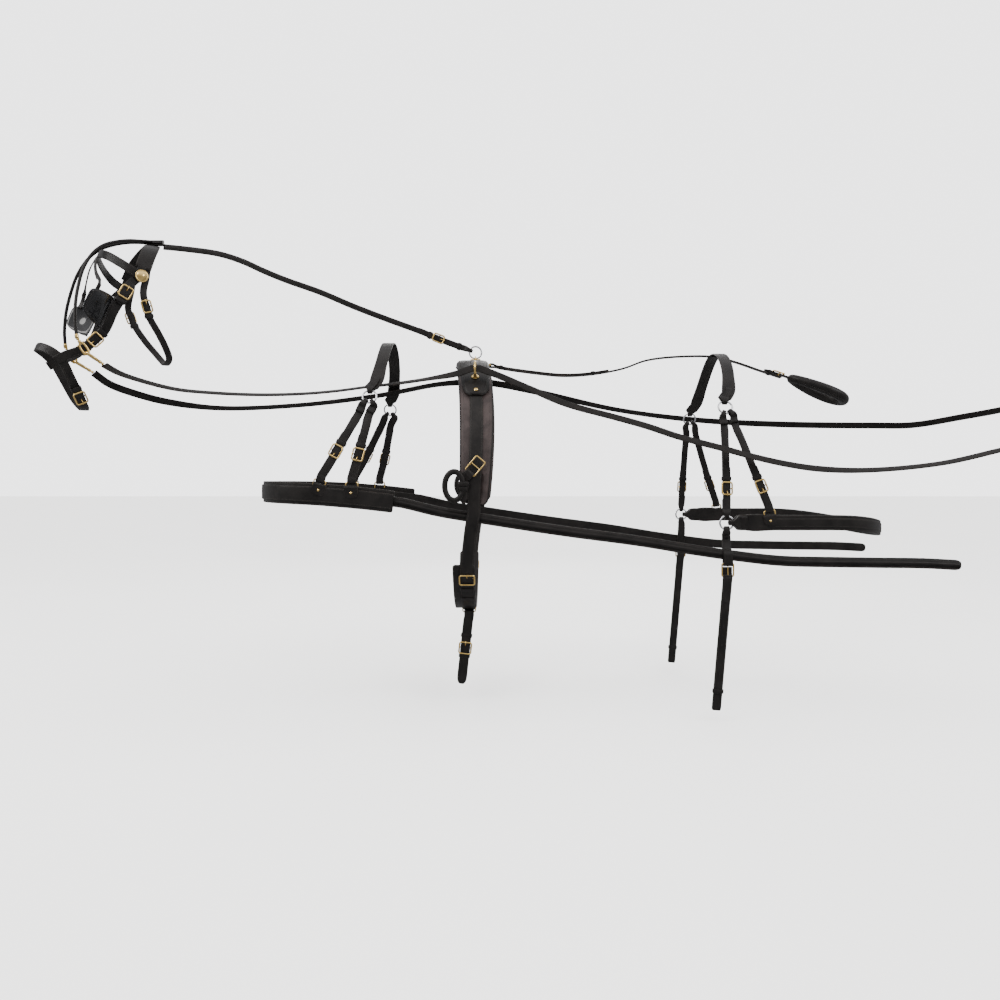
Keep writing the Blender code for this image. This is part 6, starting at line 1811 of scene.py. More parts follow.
def girths():
    """The wide girth, the belly band outside it with its buckles, and the strap that hangs from it."""
    girth, band, brass, loops, trim = Shape(), Shape(), Shape(), Shape(), Trim()
    rows = both_pointed(belly_rows(GIRTH_ANGLE, GIRTH_THICK / 2, GIRTH_REACH, GIRTH_WIDTH),
                        length=0.12, blunt=0.8)
    strap(girth, rows, GIRTH_THICK, edge=0.0022, crown=0)
    trim.sew(rows, GIRTH_THICK, ends=0.006)
    piece(girth, "girth_band", "leather", "girth", "girth")

    level = GIRTH_THICK + GAP + STRAP_THICK / 2
    rows = belly_rows(BAND_BUCKLE_ANGLE * 1.06, level, BAND_PLACE, BAND_WIDTH)
    sewn(band, trim, rows)
    face = level + STRAP_THICK / 2
    for _, side in SIDES:
        point, outward = on_belly(BAND_BUCKLE_ANGLE, side, face, BAND_PLACE)
        upper = on_belly(BAND_BUCKLE_ANGLE + math.radians(3), side, face, BAND_PLACE)[0]
        buckle(brass, point, upper - point, outward, BAND_WIDTH)
        for share in (0.86, 0.70):
            angle = BAND_BUCKLE_ANGLE * share
            spot, facing = on_belly(angle, side, face, BAND_PLACE)
            ahead = on_belly(angle + math.radians(2), side, face, BAND_PLACE)[0]
            keeper(loops, spot, ahead - spot, facing, BAND_WIDTH, -STRAP_THICK + 0.0008,
                   bar_rise() + STRAP_THICK + GAP + 0.0014)
    low = BELLY(BELLY_STATIONS[1], NEAR, face - WIRE)[0]
    bar = Vector((-BAND_PLACE, low.y, low.z - dee_lift()))
    dee(brass, bar, ALONG, -UP, HANGING_WIDTH, deep=WIRE / 2)
    piece(band, "belly_strap", "leather", "belly_band", "belly_band")
    piece(brass, "belly_brass", "brass", "belly_band")
    piece(loops, "belly_keepers", "leather", "belly_band")
    trim.make("girth", "girth")
    hanging(bar)


def hanging(bar):
    """The strap under the belly band: turned round its dee, buckled to itself and hanging on."""
    made, brass, loops, trim = Shape(), Shape(), Shape(), Trim()
    outward = Vector((0, NEAR, 0))
    lead, seat = seat_of(bar, UP, outward, WIRE, None, STRAP_THICK, HANGING_WIDTH)
    first = Vector(seat[:3])
    fall = Vector((-HANGING_LEAN, 0, -HANGING_LENGTH))
    inner = [row(first + fall * s, outward, HANGING_WIDTH) for s in np.linspace(0.60, 0.12, 12)]
    inner += [lead, seat]
    turned_rows = fold(inner, WIRE, None, STRAP_THICK, STEP, billet_level(), HANGING_WIDTH)
    tail = [row(first + outward * billet_level() + fall * s, -outward, HANGING_WIDTH)
            for s in np.linspace(0.42, 1, 18)]
    rows = np.array(inner + turned_rows + tail)
    strap(made, pointed(rows, length=0.8), STRAP_THICK)
    trim.sew(np.array(inner), STRAP_THICK)
    trim.sew(np.array(tail), -STRAP_THICK, ends=0.004)
    trim.punch(np.array(tail), -STRAP_THICK, first=0.010, count=4, pitch=0.022)
    face = first + fall * 0.50 + outward * STRAP_THICK / 2
    fitted(brass, loops, face, -fall, outward, HANGING_WIDTH, share=0.72)
    keeper(loops, face - unit(fall) * BUCKLE_LENGTH * 1.1, -fall, outward, HANGING_WIDTH,
           -STRAP_THICK + 0.0007, bar_rise() + STRAP_THICK + GAP + LOOP_EASE)
    piece(made, "hanging_tab", "leather", "hanging_strap", "hanging_strap")
    fittings("hanging", "hanging_strap", brass, loops, trim)


def tugs():
    """Rolled tug loops in front of the back band, each turned round the bar of its own buckle."""
    axis = Vector((math.cos(TUG_TILT), 0, math.sin(TUG_TILT)))
    level = BARREL_HALF + PAD_THICK + 2 * STRAP_THICK + WIRE - GAP
    for label, side in SIDES:
        middle = Vector((TUG_BUCKLE_REACH, side * level, -TUG_BUCKLE_DROP))
        tug_buckle(label, side, middle, axis)
        centre = Vector((-TUG_REACH, side * (level + GAP), -TUG_CENTRE_DROP))
        tug_loop(label, side, centre, middle - axis * (TUG_BUCKLE_LENGTH / 2), axis)


def tug_buckle(label, side, middle, axis):
    """A tug's buckle on the back band: its frame, its bar and the tongue through the band."""
    outward = Vector((0, side, 0))
    across = outward.cross(axis).normalized()
    half_l, half_w = TUG_BUCKLE_LENGTH / 2, TUG_EYE_WIDTH / 2 + BUCKLE_CLEAR + WIRE
    brass = Shape()
    frame_line = [middle + axis * x + across * y for x, y in rounded_loop(half_l, half_w, corner=0.0035)]
    tube(brass, frame_line, WIRE, loop=True, sides=12)
    sink = -outward * (STRAP_THICK + GAP)
    turns = [math.pi * i / BEND_STEPS for i in range(BEND_STEPS + 1)]
    pin = [middle + across * half_w * math.cos(turn) + sink * min(1, 1.6 * math.sin(turn))
           for turn in turns]
    tube(brass, pin, WIRE * BAR_SHARE, sides=10)
    tube(brass, [middle + sink, middle + sink * 2 - outward * STRAP_THICK], WIRE, sides=12)
    piece(brass, f"tug_frame_{label}", "brass", f"tug_buckle_{label}", f"tug_buckle_{label}")


def tug_loop(label, side, centre, bar, axis):
    """A tug's rolled loop, the tab below it and the eye that turns round its buckle's bar."""
    outward = Vector((0, side, 0))
    made, trim, loop, ridge = Shape(), Trim(), [], []
    for i in range(LOOP_STEPS):
        turn = 2 * math.pi * i / LOOP_STEPS
        loop.append(centre + ALONG * TUG_HALF_WIDTH * math.cos(turn)
                    + UP * TUG_HALF_HEIGHT * math.sin(turn))
    tube(made, loop, TUG_ROLL_RADIUS, loop=True, sides=16)
    for i in range(LOOP_STEPS + 1):
        turn = 2 * math.pi * i / LOOP_STEPS
        way = ALONG * TUG_HALF_HEIGHT * math.cos(turn) + UP * TUG_HALF_WIDTH * math.sin(turn)
        ridge.append(tuple(loop[i % LOOP_STEPS] + way.normalized() * TUG_ROLL_RADIUS * 0.62
                           + outward * TUG_ROLL_RADIUS * 0.80))
    trim.seams.append(np.array(ridge))
    heel = centre + ALONG * TUG_HALF_WIDTH
    for share in (-1.0, 0.55):
        keeper(made, heel + UP * TUG_ROLL_RADIUS * share, UP, outward, TUG_ROLL_RADIUS * 2 + 0.004,
               low=-TUG_ROLL_RADIUS - 0.0008, high=TUG_ROLL_RADIUS + 0.0012, long=0.009)
    core = [row(heel + UP * TUG_ROLL_RADIUS * s, outward, BAND_WIDTH * 0.86)
            for s in (-1.5, -0.5, 0.5, 1.5)]
    strap(made, core, 2 * TUG_ROLL_RADIUS - BITE, edge=0.004)
    tail = [row(heel - UP * TUG_HALF_HEIGHT * s, outward, TUG_EYE_WIDTH)
            for s in np.linspace(0.1, 1.12, 9)]
    tail = pointed(tail, length=0.6)
    sewn(made, trim, tail, ends=0.012)
    lead, last = seat_of(bar, axis, outward, WIRE, None, STRAP_THICK, TUG_EYE_WIDTH)
    start = centre + ALONG * TUG_HALF_WIDTH * 0.6 + UP * TUG_HALF_HEIGHT * 0.75
    start.y = last[1]
    rows = [row(start, outward, TUG_EYE_WIDTH / 2), lead, last]
    bent = fold(rows, WIRE, None, STRAP_THICK, EYE_EASE / 2, STRAP_THICK + GAP, TUG_EYE_WIDTH)
    strap(made, rows + bent, STRAP_THICK)
    piece(made, f"tug_roll_{label}", "leather", f"tug_{label}", f"tug_{label}")
    trim.make(f"tug_{label}", f"tug_{label}")


# Crupper, hip strap and breeching

# Each place: its share of the way from the saddle to the end, and its share of the croup's rise
CRUPPER_SHARES = ((0.045, 0.30), (0.150, 0.06), (0.235, -0.07), (0.325, 0.00), (0.435, 0.33),
                  (0.505, 0.74), (0.560, 0.90), (0.660, 1.00), (0.735, 0.96), (0.805, 0.68), (0.890, 0.20),
                  (0.955, -0.15))


def crupper():
    """The back strap from the saddle's rear dee to the crupper buckle, and the dock in that buckle."""
    made, brass, loops, trim = Shape(), Shape(), Shape(), Trim()
    bar = rear_dee_bar()
    lift = STRAP_THICK / 2
    first = seat_of(bar, -ALONG, UP, WIRE, None, STRAP_THICK, BACK_STRAP_WIDTH)
    rows = []
    for along, up in CRUPPER_SHARES:
        x = bar.x + (CRUPPER_END - bar.x) * along
        rows.append(row((x, 0, CROUP_RISE * up + lift), UP, BACK_STRAP_WIDTH))
    full, line = eyed(rows, STRAP_THICK, BACK_STRAP_WIDTH,
                      start=(first, WIRE, None, BACK_TAIL, STRAP_THICK + GAP))
    strap(made, pointed(full, last=False), STRAP_THICK)
    trim.sew(line, STRAP_THICK, ends=BACK_TAIL * 1.02)
    trim.sew(full[:len(full) - len(line)], -STRAP_THICK, ends=0.012)
    for at in (0.030, 0.300):
        keeper_on(loops, line[::-1], at, BACK_STRAP_WIDTH, -STRAP_THICK / 2 + LOOP_EASE,
                  STRAP_THICK * 1.5 + 0.0014)
    point, heading, outward = along_rows(line, BUCKLE_LENGTH / 3)
    fitted(brass, loops, point + outward * lift, heading, outward, BACK_STRAP_WIDTH, share=0.8)
    dock(line, point)
    piece(made, "back_strap_band", "leather", "back_strap", "back_strap")
    fittings("crupper", "back_strap", brass, loops, trim)


def dock(line, point):
    """The padded roll under the tail, and its billet in the buckle at a point of the back strap's line."""
    end = Vector(line[-1, :3])
    down = (end - Vector(line[-6, :3])).normalized()
    out = down.cross(LATERAL).normalized()
    if out.z < 0:
        out.negate()
    billet = [row(point + out * billet_level() + down * BUCKLE_LENGTH * s, out, BACK_STRAP_WIDTH)
              for s in np.linspace(-1.3, 1.5, 16)]
    made, trim = Shape(), Trim()
    strap(made, pointed(billet, last=False), STRAP_THICK)
    trim.punch(billet, STRAP_THICK, first=0.010, count=2, pitch=0.016)
    start = Vector(billet[-1][:3]) - down * DOCK_RADIUS * 0.4
    loop, swell, seam = [], [], []
    for i in range(LOOP_STEPS):
        turn = 2 * math.pi * i / LOOP_STEPS
        back = (1 - math.cos(turn)) / 2
        loop.append(start + (down * DOCK_LENGTH - out * DOCK_SINK) * back
                    + LATERAL * DOCK_HALF * math.sin(turn) * (0.65 + 0.7 * back))
        swell.append(DOCK_RADIUS * (0.8 + 0.25 * math.sin(math.pi / 2 * back)))
    tube(made, loop, swell, loop=True, sides=20)
    for place, radius in zip(loop + loop[:1], swell + swell[:1]):
        way = (place - (start + down * DOCK_LENGTH / 2)).normalized()
        seam.append(tuple(place + way * radius * 0.80 - out * radius * 0.58))
    trim.seams.append(np.array(seam))
    block = [row(start + down * s, out, BACK_STRAP_WIDTH) for s in (-0.008, 0, 0.008)]
    strap(made, block, 0.016, edge=0.004)
    made_dock = piece(made, "crupper_roll", "leather", "crupper_dock", "crupper_dock")
    trim.make("dock", "crupper_dock")


def keeper_on(loops, rows, at, width, low, high):
    """A keeper round a strap at a distance from its last row."""
    point, heading, outward = along_rows(rows, at)
    keeper(loops, point, heading, outward, width, low, high)


def hips():
    """The hip strap over the croup, its rings, and the fork and brace straps down to the breeching."""
    made, brass, loops, trim = Shape(), Shape(), Shape(), Trim()
    clear = ring_clear(CROUP_HALF, CROUP_DROP)
    rings = {side: ring_place(CROUP, HIP_RING_ANGLE, side) for _, side in SIDES}
    full, line = over_the_top(CROUP, HIP_RING_ANGLE, STRAP_THICK * 3 / 2 - GAP, HIP_WIDTH, rings, clear)
    strap(made, full, STRAP_THICK)
    trim.sew(line, STRAP_THICK, ends=0.05)
    piece(made, "hip_band", "leather", "hip_strap", "hip_strap")
    up = unit((-math.tan(BRACE_DEE_TURN), 0, 1))
    for label, side in SIDES:
        centre, fall, outward = rings[side]
        facing = Vector((0, side, 0))
        loose_ring(f"hip_loose_ring_{label}", f"hip_ring_{label}", centre, outward, RING_RADIUS)
        low = breeching_ring_centre(side) + UP * BREECHING_RING_RADIUS
        at_ring = seat_of(low, -UP, facing, RING_WIRE, BREECHING_RING_RADIUS, STRAP_THICK, FORK_EYE_WIDTH)
        at_dee = seat_of(brace_bar(side), -up, facing, WIRE, None, STRAP_THICK, HIP_FORK_WIDTH)
        for kind, turn, share, last, wire in (
                ("fork", -HIP_FORK_TURN, HIP_FORK_SHARE, at_ring, (RING_WIRE, BREECHING_RING_RADIUS)),
                ("brace", HIP_BRACE_TURN, HIP_BRACE_SHARE, at_dee, (WIRE, None))):
            toward = fall * math.cos(turn) + ALONG * math.sin(turn)
            first = ring_end(centre, toward, outward, FORK_EYE_WIDTH)
            one = fork(CROUP, HIP_RING_ANGLE + clear, HIP_STOP_ANGLE, first, last, side, HIP_FORK_WIDTH,
                       share, wire, brass, loops, trim)
            node = f"hip_{kind}_{label}"
            piece(one, f"hip_{kind}_strap_{label}", "leather", node, node)
    fittings("hip", "hip_strap", brass, loops, trim)


def breeching_ring_centre(side):
    lift = wire_lift(RING_WIRE, BREECHING_RING_RADIUS, BODY_THICK)
    return Vector((BREECHING_REACH, side * (CROUP_HALF + lift), -BREECHING_DROP))


def brace_bar(side):
    return Vector((BRACE_REACH, side * (RUMP_HALF + BODY_THICK - WIRE),
                   -BREECHING_DROP + BREECHING_WIDTH / 2 + dee_lift() + WIRE))


def rump_rows(lift):
    """The breeching's middle line round the rump, without its ends at the rings."""
    rows = []
    straight = RUMP_REACH - RUMP_ROUND
    for side in (NEAR, FAR):
        part = []
        for share in (0, 0.35, 0.7):
            x = BREECHING_REACH + 3 * BREECHING_RING_RADIUS
            x += (straight - x) * share
            part.append(row((x, side * (RUMP_HALF + lift), -BREECHING_DROP), (0, side, 0), BREECHING_WIDTH))
        for turn in range(90, 0, -15):
            angle = math.radians(turn)
            outward = unit((RUMP_HALF * math.cos(angle), side * RUMP_ROUND * math.sin(angle), 0))
            point = Vector((straight + RUMP_ROUND * math.cos(angle), side * RUMP_HALF * math.sin(angle),
                            -BREECHING_DROP - BREECHING_SAG * math.cos(angle) ** 2))
            part.append(row(point + outward * lift, outward, BREECHING_WIDTH))
        if side == NEAR:
            rows += part
            rows.append(row((RUMP_REACH + lift, 0, -BREECHING_DROP - BREECHING_SAG), ALONG, BREECHING_WIDTH))
        else:
            rows += part[::-1]
    return rows


def breeching():
    """The breeching body round the rump, its rings, and the trace carriers and hold-backs below them."""
    ends = {}
    body, brass, trim = Shape(), Shape(), Trim()
    for label, side in SIDES:
        centre = breeching_ring_centre(side)
        loose_ring(f"breeching_loose_ring_{label}", f"breeching_ring_{label}", centre, LATERAL,
                   BREECHING_RING_RADIUS)
        seat = seat_of(centre + ALONG * BREECHING_RING_RADIUS, -ALONG, (0, side, 0), RING_WIRE,
                       BREECHING_RING_RADIUS, BODY_THICK, EYE_WIDTH)
        ends[side] = (seat, RING_WIRE, BREECHING_RING_RADIUS, EYE_TAIL / 2, BODY_THICK + GAP)
    full, line = eyed(rump_rows(BODY_THICK / 2), BODY_THICK, BREECHING_WIDTH * 0.8,
                      start=ends[NEAR], end=ends[FAR])
    strap(body, full, BODY_THICK, edge=0.0026, crown=0)
    inner = line[9:-9]
    upper = shifted(inner, BODY_THICK / 2 + 0.0002)
    upper[:, 6] *= 0.62
    strap(body, both_pointed(upper, length=0.8), 0.0030, edge=0.0012)
    trim.sew(upper, 0.0030, ends=0.018)
    trim.sew(inner, BODY_THICK, inset=0.0030)
    for label, side in SIDES:
        up = unit((-math.tan(BRACE_DEE_TURN), 0, 1))
        dee(brass, brace_bar(side), up.cross(LATERAL), up, HIP_FORK_WIDTH)
        edge = Vector((BRACE_REACH, side * (RUMP_HALF + BODY_THICK + 0.0014),
                       -BREECHING_DROP + BREECHING_WIDTH / 2 - 0.001))
        chape(body, trim, edge, up, (0, side, 0), HIP_FORK_WIDTH, tall=0.026)
        carrier(label, side)
    piece(body, "breeching_body", "leather", "breeching", "breeching")
    piece(brass, "breeching_brass", "brass", "breeching")
    trim.make("breeching", "breeching")


def carrier(label, side):
    """The strap under a breeching ring that the trace runs through, and the hold-back below it."""
    made, trim = Shape(), Trim()
    centre = breeching_ring_centre(side)
    line = trace_line(side, STEP)
    nearest = np.argsort(abs(line[:, 0] - centre.x))[:2]
    y, z = line[nearest, 1].mean(), line[nearest, 2].mean()
    half = TRACE_THICK / 2 + 2 * GAP + STRAP_THICK / 2
    tall = TRACE_WIDTH / 2 + 4 * GAP
    outward = Vector((0, side, 0))
    low = centre - UP * BREECHING_RING_RADIUS
    first = seat_of(low, UP, outward, RING_WIRE, BREECHING_RING_RADIUS, STRAP_THICK, EYE_WIDTH)
    inner, outer = y - side * half, y + side * half
    rows = [first[1], (*first[0][:6], HOLDBACK_WIDTH * 0.9),
            row((centre.x, (first[1][1] + inner) / 2, z + tall + CARRIER_EASE), outward, HOLDBACK_WIDTH)]
    rows += [row((centre.x, inner, z + rise), outward, HOLDBACK_WIDTH) for rise in (tall, 0, -tall)]
    bottom = z - tall - CARRIER_EASE / 2
    for i in range(BEND_STEPS + 1):
        turn = math.pi * i / BEND_STEPS
        rows.append(row((centre.x, y - side * half * math.cos(turn), bottom - half * math.sin(turn)),
                        outward * math.cos(turn) + UP * math.sin(turn), HOLDBACK_WIDTH))
    rows += [row((centre.x, outer, z + rise), -outward, HOLDBACK_WIDTH) for rise in (-tall, 0, tall)]
    tail = fold(rows[::-1], RING_WIRE, BREECHING_RING_RADIUS, STRAP_THICK, EYE_TAIL / 6, STRAP_THICK + GAP,
                EYE_WIDTH)
    strap(made, np.array(tail[::-1] + rows), STRAP_THICK)
    trim.sew(np.array(rows[-4:]), -STRAP_THICK, ends=0.002)
    piece(made, f"carrier_strap_{label}", "leather", f"trace_carrier_{label}", f"trace_carrier_{label}")
    trim.make(f"carrier_{label}", f"trace_carrier_{label}")
    holdback(label, side, centre.x, y, bottom - half + STRAP_THICK / 2 + GAP + WIRE)


def holdback(label, side, reach, y, bar_z):
    """A hold-back: its long buckle frame round the carrier, and the strap sewn to the frame's foot."""
    outward = Vector((0, side, 0))
    half_w = HOLDBACK_WIDTH / 2 + BUCKLE_CLEAR + WIRE
    fall = BUCKLE_LENGTH
    frame_line = [Vector((reach + x, y, bar_z - fall / 2 + v)) for v, x in
                  rounded_loop(fall / 2, half_w, corner=0.0030)]
    brass, tab, trim = Shape(), Shape(), Trim()
    tube(brass, frame_line, WIRE * FRAME_WIRE_SHARE, loop=True, sides=12)
    top = bar_z - fall
    rows = np.array([row((reach - HOLDBACK_LEAN * s, y, top + WIRE - HOLDBACK_LENGTH * s), outward,
                         HOLDBACK_WIDTH) for s in np.linspace(0, 1, 36)])
    behind = y - side * (WIRE + STRAP_THICK / 2)
    entry = np.array([row((reach, behind, bar_z - d), outward, HOLDBACK_WIDTH)
                      for d in (0.0085, 0.014, 0.021, 0.028)])
    strap(tab, pointed(np.vstack([entry, rows[2:]]), length=0.35, blunt=0.75), STRAP_THICK)
    pin = [(reach, y + side * WIRE * d, bar_z - z) for d, z in ((0.2, 0), (1.1, 0.003), (0.3, 0.012),
                                                                (0.2, 0.018), (1.5, fall - 0.002),
                                                                (1.4, fall + 0.002))]
    tube(brass, pin, TONGUE_RADIUS * 1.3, sides=8)
    keeper_on(tab, rows, 0.050, HOLDBACK_WIDTH, low=-STRAP_THICK / 2 - 0.0012,
              high=STRAP_THICK / 2 + 0.0026)
    eye = [(reach, y + side * 0.0036 * math.cos(t), top + 0.0036 * math.sin(t)) for t in
           np.linspace(0, 2 * math.pi, 13)[:-1]]
    tube(tab, eye, 0.0016, loop=True, sides=10, wide=HOLDBACK_WIDTH / 2, box=0.6)
    lap = shifted(rows[:8], STRAP_THICK * 0.72)
    strap(tab, pointed(lap, length=0.5), STRAP_THICK * 0.5, edge=0.0009)
    trim.sew(rows, STRAP_THICK, ends=0.05)
    trim.sew(lap, STRAP_THICK * 0.5, ends=0.004)
    trim.punch(rows, STRAP_THICK, first=0.13, count=7)
    piece(tab, f"holdback_strap_{label}", "leather", f"holdback_{label}", f"holdback_{label}")
    piece(brass, f"holdback_frame_{label}", "brass", f"holdback_{label}")
    trim.make(f"holdback_{label}", f"holdback_{label}")


# Reins, bearing rein and snaps

NEAR_REIN = ((-1.003, -0.163, 0.009), (-0.968, -0.165, -0.011), (-0.916, -0.165, -0.030),
             (-0.811, -0.163, -0.057), (-0.709, -0.160, -0.067), (-0.582, -0.158, -0.072),
             (-0.461, -0.156, -0.069), (-0.368, -0.155, -0.061), (-0.293, -0.155, -0.051),
             (-0.195, -0.160, -0.040), (-0.124, -0.164, -0.030), (-0.039, -0.168, -0.015),
             (0.008, -0.168, 0.000), (0.043, -0.170, -0.010), (0.157, -0.180, -0.058),
             (0.253, -0.210, -0.102), (0.373, -0.250, -0.139), (0.456, -0.275, -0.165),
             (0.539, -0.287, -0.194), (0.644, -0.291, -0.222), (0.722, -0.289, -0.243),
             (0.813, -0.282, -0.263), (0.907, -0.270, -0.276), (1.047, -0.250, -0.279),
             (1.252, -0.225, -0.260), (1.415, -0.205, -0.225), (1.470, -0.200, -0.213))
FAR_REIN = ((-1.107, -0.006, 0.007), (-1.075, 0.020, -0.022), (-1.001, 0.060, -0.051),
            (-0.929, 0.090, -0.069), (-0.788, 0.130, -0.084), (-0.544, 0.152, -0.073),
            (-0.297, 0.160, -0.042), (-0.110, 0.168, -0.006), (0.008, 0.168, 0.000),
            (0.060, 0.170, -0.004), (0.198, 0.187, -0.030), (0.459, 0.255, -0.080),
            (0.721, 0.285, -0.110), (0.976, 0.265, -0.125), (1.258, 0.215, -0.132),
            (1.375, 0.190, -0.132), (1.512, 0.160, -0.109), (1.619, 0.140, -0.089),
            (1.670, 0.132, -0.076))
BEARING_REIN = ((-0.9060, 0, 0.3755), (-0.841, 0, 0.369), (-0.744, 0, 0.355), (-0.677, 0, 0.334),
                (-0.613, 0, 0.305), (-0.549, 0, 0.279), (-0.450, 0, 0.244), (-0.353, 0, 0.203),
                (-0.254, 0, 0.165), (-0.158, 0, 0.130), (-0.102, 0, 0.107), (-0.060, 0, 0.091))

# How far each rein's face is turned up to the side, from 0 flat to 1 on edge, at places along it
NEAR_TWIST_SHARES = ((-1.01, 0.40), (-0.90, 0.32), (-0.30, 0.27), (-0.12, 0.36), (-0.03, 0.60), (0.05, 0.60),
                     (0.16, 0.52), (0.90, 0.50), (1.10, 0.33), (1.50, 0.28))
FAR_TWIST_SHARES = ((-1.11, 0.80), (-0.95, 0.66), (-0.75, 0.32), (-0.12, 0.36), (-0.03, 0.60), (0.05, 0.60),
                    (0.16, 0.50), (0.50, 0.35), (0.90, 0.55), (1.70, 0.60))


def reins():
    """The driving reins: flat straps from the snaps at the head through the terrets and back."""
    for name, route, twist, side in (("rein_near", NEAR_REIN, NEAR_TWIST_SHARES, NEAR),
                                     ("rein_far", FAR_REIN, FAR_TWIST_SHARES, FAR)):
        rows = []
        for x, y, z in route:
            share = float(np.interp(x, *zip(*twist)))
            outward = Vector((0, side * share, 1 - share * 0.85)).normalized()
            rows.append(row((x, y, z), outward, REIN_WIDTH))
        rows = smooth(rows, RUN * 2)
        made, trim, brass = Shape(), Trim(), Shape()
        strap(made, rows, REIN_THICK, edge=0.0011)
        trim.sew(rows[:9], REIN_THICK)
        trim.sew(rows[-9:], REIN_THICK)
        rein = piece(made, f"{name}_strap", "rein", name, name)
        run = length_of(rows)
        point, heading, outward = along_rows(rows, 0.020)
        buckle(brass, point + outward * REIN_THICK / 2, heading, outward, REIN_WIDTH, REIN_THICK)
        end = piece(brass, f"{name}_buckle", "brass", name)
        trim.make(name, name)


def bearing_rein():
    """The flat strap from the poll to the ring on the saddle, on edge, buckled on itself."""
    made, brass, loops, trim = Shape(), Shape(), Shape(), Trim()
    toward = unit((1, 0, -0.4))
    wire_point = saddle_ring_centre() - toward * SADDLE_RING_RADIUS
    last = seat_of(wire_point, toward, -LATERAL, RING_WIRE, SADDLE_RING_RADIUS, STRAP_THICK,
                   CHECK_WIDTH * 0.6)
    rows = []
    for point in BEARING_REIN:
        share = (point[0] - BEARING_REIN[0][0]) / (last[1][0] - BEARING_REIN[0][0])
        rows.append(row((point[0], last[1][1] * share, point[2]), -LATERAL, CHECK_WIDTH))
    full, line = eyed(rows, STRAP_THICK, CHECK_WIDTH,
                      end=(last, RING_WIRE, SADDLE_RING_RADIUS, CHECK_TAIL + 0.020, billet_level()))
    strap(made, pointed(full), STRAP_THICK)
    trim.sew(line, STRAP_THICK, ends=CHECK_TAIL * 1.3)
    point, heading, outward = along_rows(line, CHECK_TAIL - BUCKLE_LENGTH)
    fitted(brass, loops, point + outward * STRAP_THICK / 2, heading, outward, CHECK_WIDTH, share=0.85)
    keeper_on(loops, line, 0.034, CHECK_WIDTH, -STRAP_THICK / 2 + 0.0006,
              STRAP_THICK / 2 + bar_rise() + STRAP_THICK + GAP + 0.0006)
    piece(made, "check_strap", "leather", "check_rein", "check_rein")
    fittings("check", "check_rein", brass, loops, trim)


def snaps():
    """Snap hooks: one hangs from each check strap, and each rein's snap is clipped into it."""
    for label, side in SIDES:
        top = head(*CHECK_SHARES[0], side)
        link = head(*LINK_SHARES, side)
        rein = Vector((NEAR_REIN if side == NEAR else FAR_REIN)[0])
        snap(f"check_snap_{label}", top, link, head_vector(0, side, 0), GAP)
        across = (rein - link).normalized().cross(head_vector(0, side, 0)).normalized()
        snap(f"rein_snap_{label}", rein, link, across, GAP if side == NEAR else -2 * GAP)


def snap(name, start, link, facing, clear):
    """A snap: a swivel, a neck and a long hook whose bow ends round the link."""
    made = Shape()
    down = (link - start).normalized()
    facing = (facing - down * facing.dot(down)).normalized()
    side = facing.cross(down)
    long = (link - start).length + SNAP_WIRE * 1.6
    eye_point = start + down * (SNAP_WIRE + clear)
    places = ((0, 0.30), (0.45, 0.34), (0.85, 0.45), (1, 0.60), (0.97, 0.75), (0.85, 0.88), (0.5, 0.97),
              (0, 1.0), (-0.5, 0.97), (-0.85, 0.88), (-0.97, 0.75), (-1, 0.60), (-0.85, 0.45), (-0.45, 0.34))
    tube(made, [start + down * long * d + side * SNAP_HALF * x for x, d in places],
         SNAP_WIRE * SNAP_WIRE_SHARE, loop=True, sides=12)
    neck = long * 0.34 - SNAP_WIRE - clear
    turned(made, [(SNAP_WIRE * r, neck * h) for r, h in ((1.2, 0), (2.4, 0.03), (2.4, 0.22), (1.5, 0.30),
                                                         (1.5, 0.40), (2.6, 0.48), (2.6, 0.88), (1.2, 1.0))],
           eye_point, down, sides=18)
    piece(made, f"{name}_brass", "brass", name, name)


# Floor, light and camera


def lamp(name, place, target, size, power, colour):
    """A large soft light that faces a place on the harness."""
    data = bpy.data.lights.new(name, "AREA")
    data.shape = "DISK"
    data.size, data.energy, data.color = size, power, colour
    made = add_object(name, data)
    made.location = place
    made.rotation_euler = (Vector(target) - Vector(place)).to_track_quat("-Z", "Y").to_euler()


def surroundings():
    """A pale backdrop; what lights and reflects is bright above and dim below."""
    world = bpy.data.worlds.new("studio")
    world.use_nodes = True
    tree = world.node_tree
    add, join = tree.nodes.new, tree.links.new
    split, seen, mix = add("ShaderNodeSeparateXYZ"), add("ShaderNodeLightPath"), add("ShaderNodeMix")
    ramp, sky = add("ShaderNodeValToRGB"), tree.nodes["Background"]
    mix.data_type = "RGBA"
    for stop, share, place in zip(ramp.color_ramp.elements, SKY_SHARES, SKY_PLACES):
        stop.color = (share, share, share * 1.02, 1)
        stop.position = place
    join(add("ShaderNodeTexCoord").outputs["Generated"], split.inputs[0])
    join(split.outputs["Z"], ramp.inputs[0])
    join(seen.outputs["Is Camera Ray"], mix.inputs[0])
    join(ramp.outputs[0], mix.inputs[6])
    mix.inputs[7].default_value = BACKDROP
    join(mix.outputs[2], sky.inputs["Color"])
    bpy.context.scene.world = world


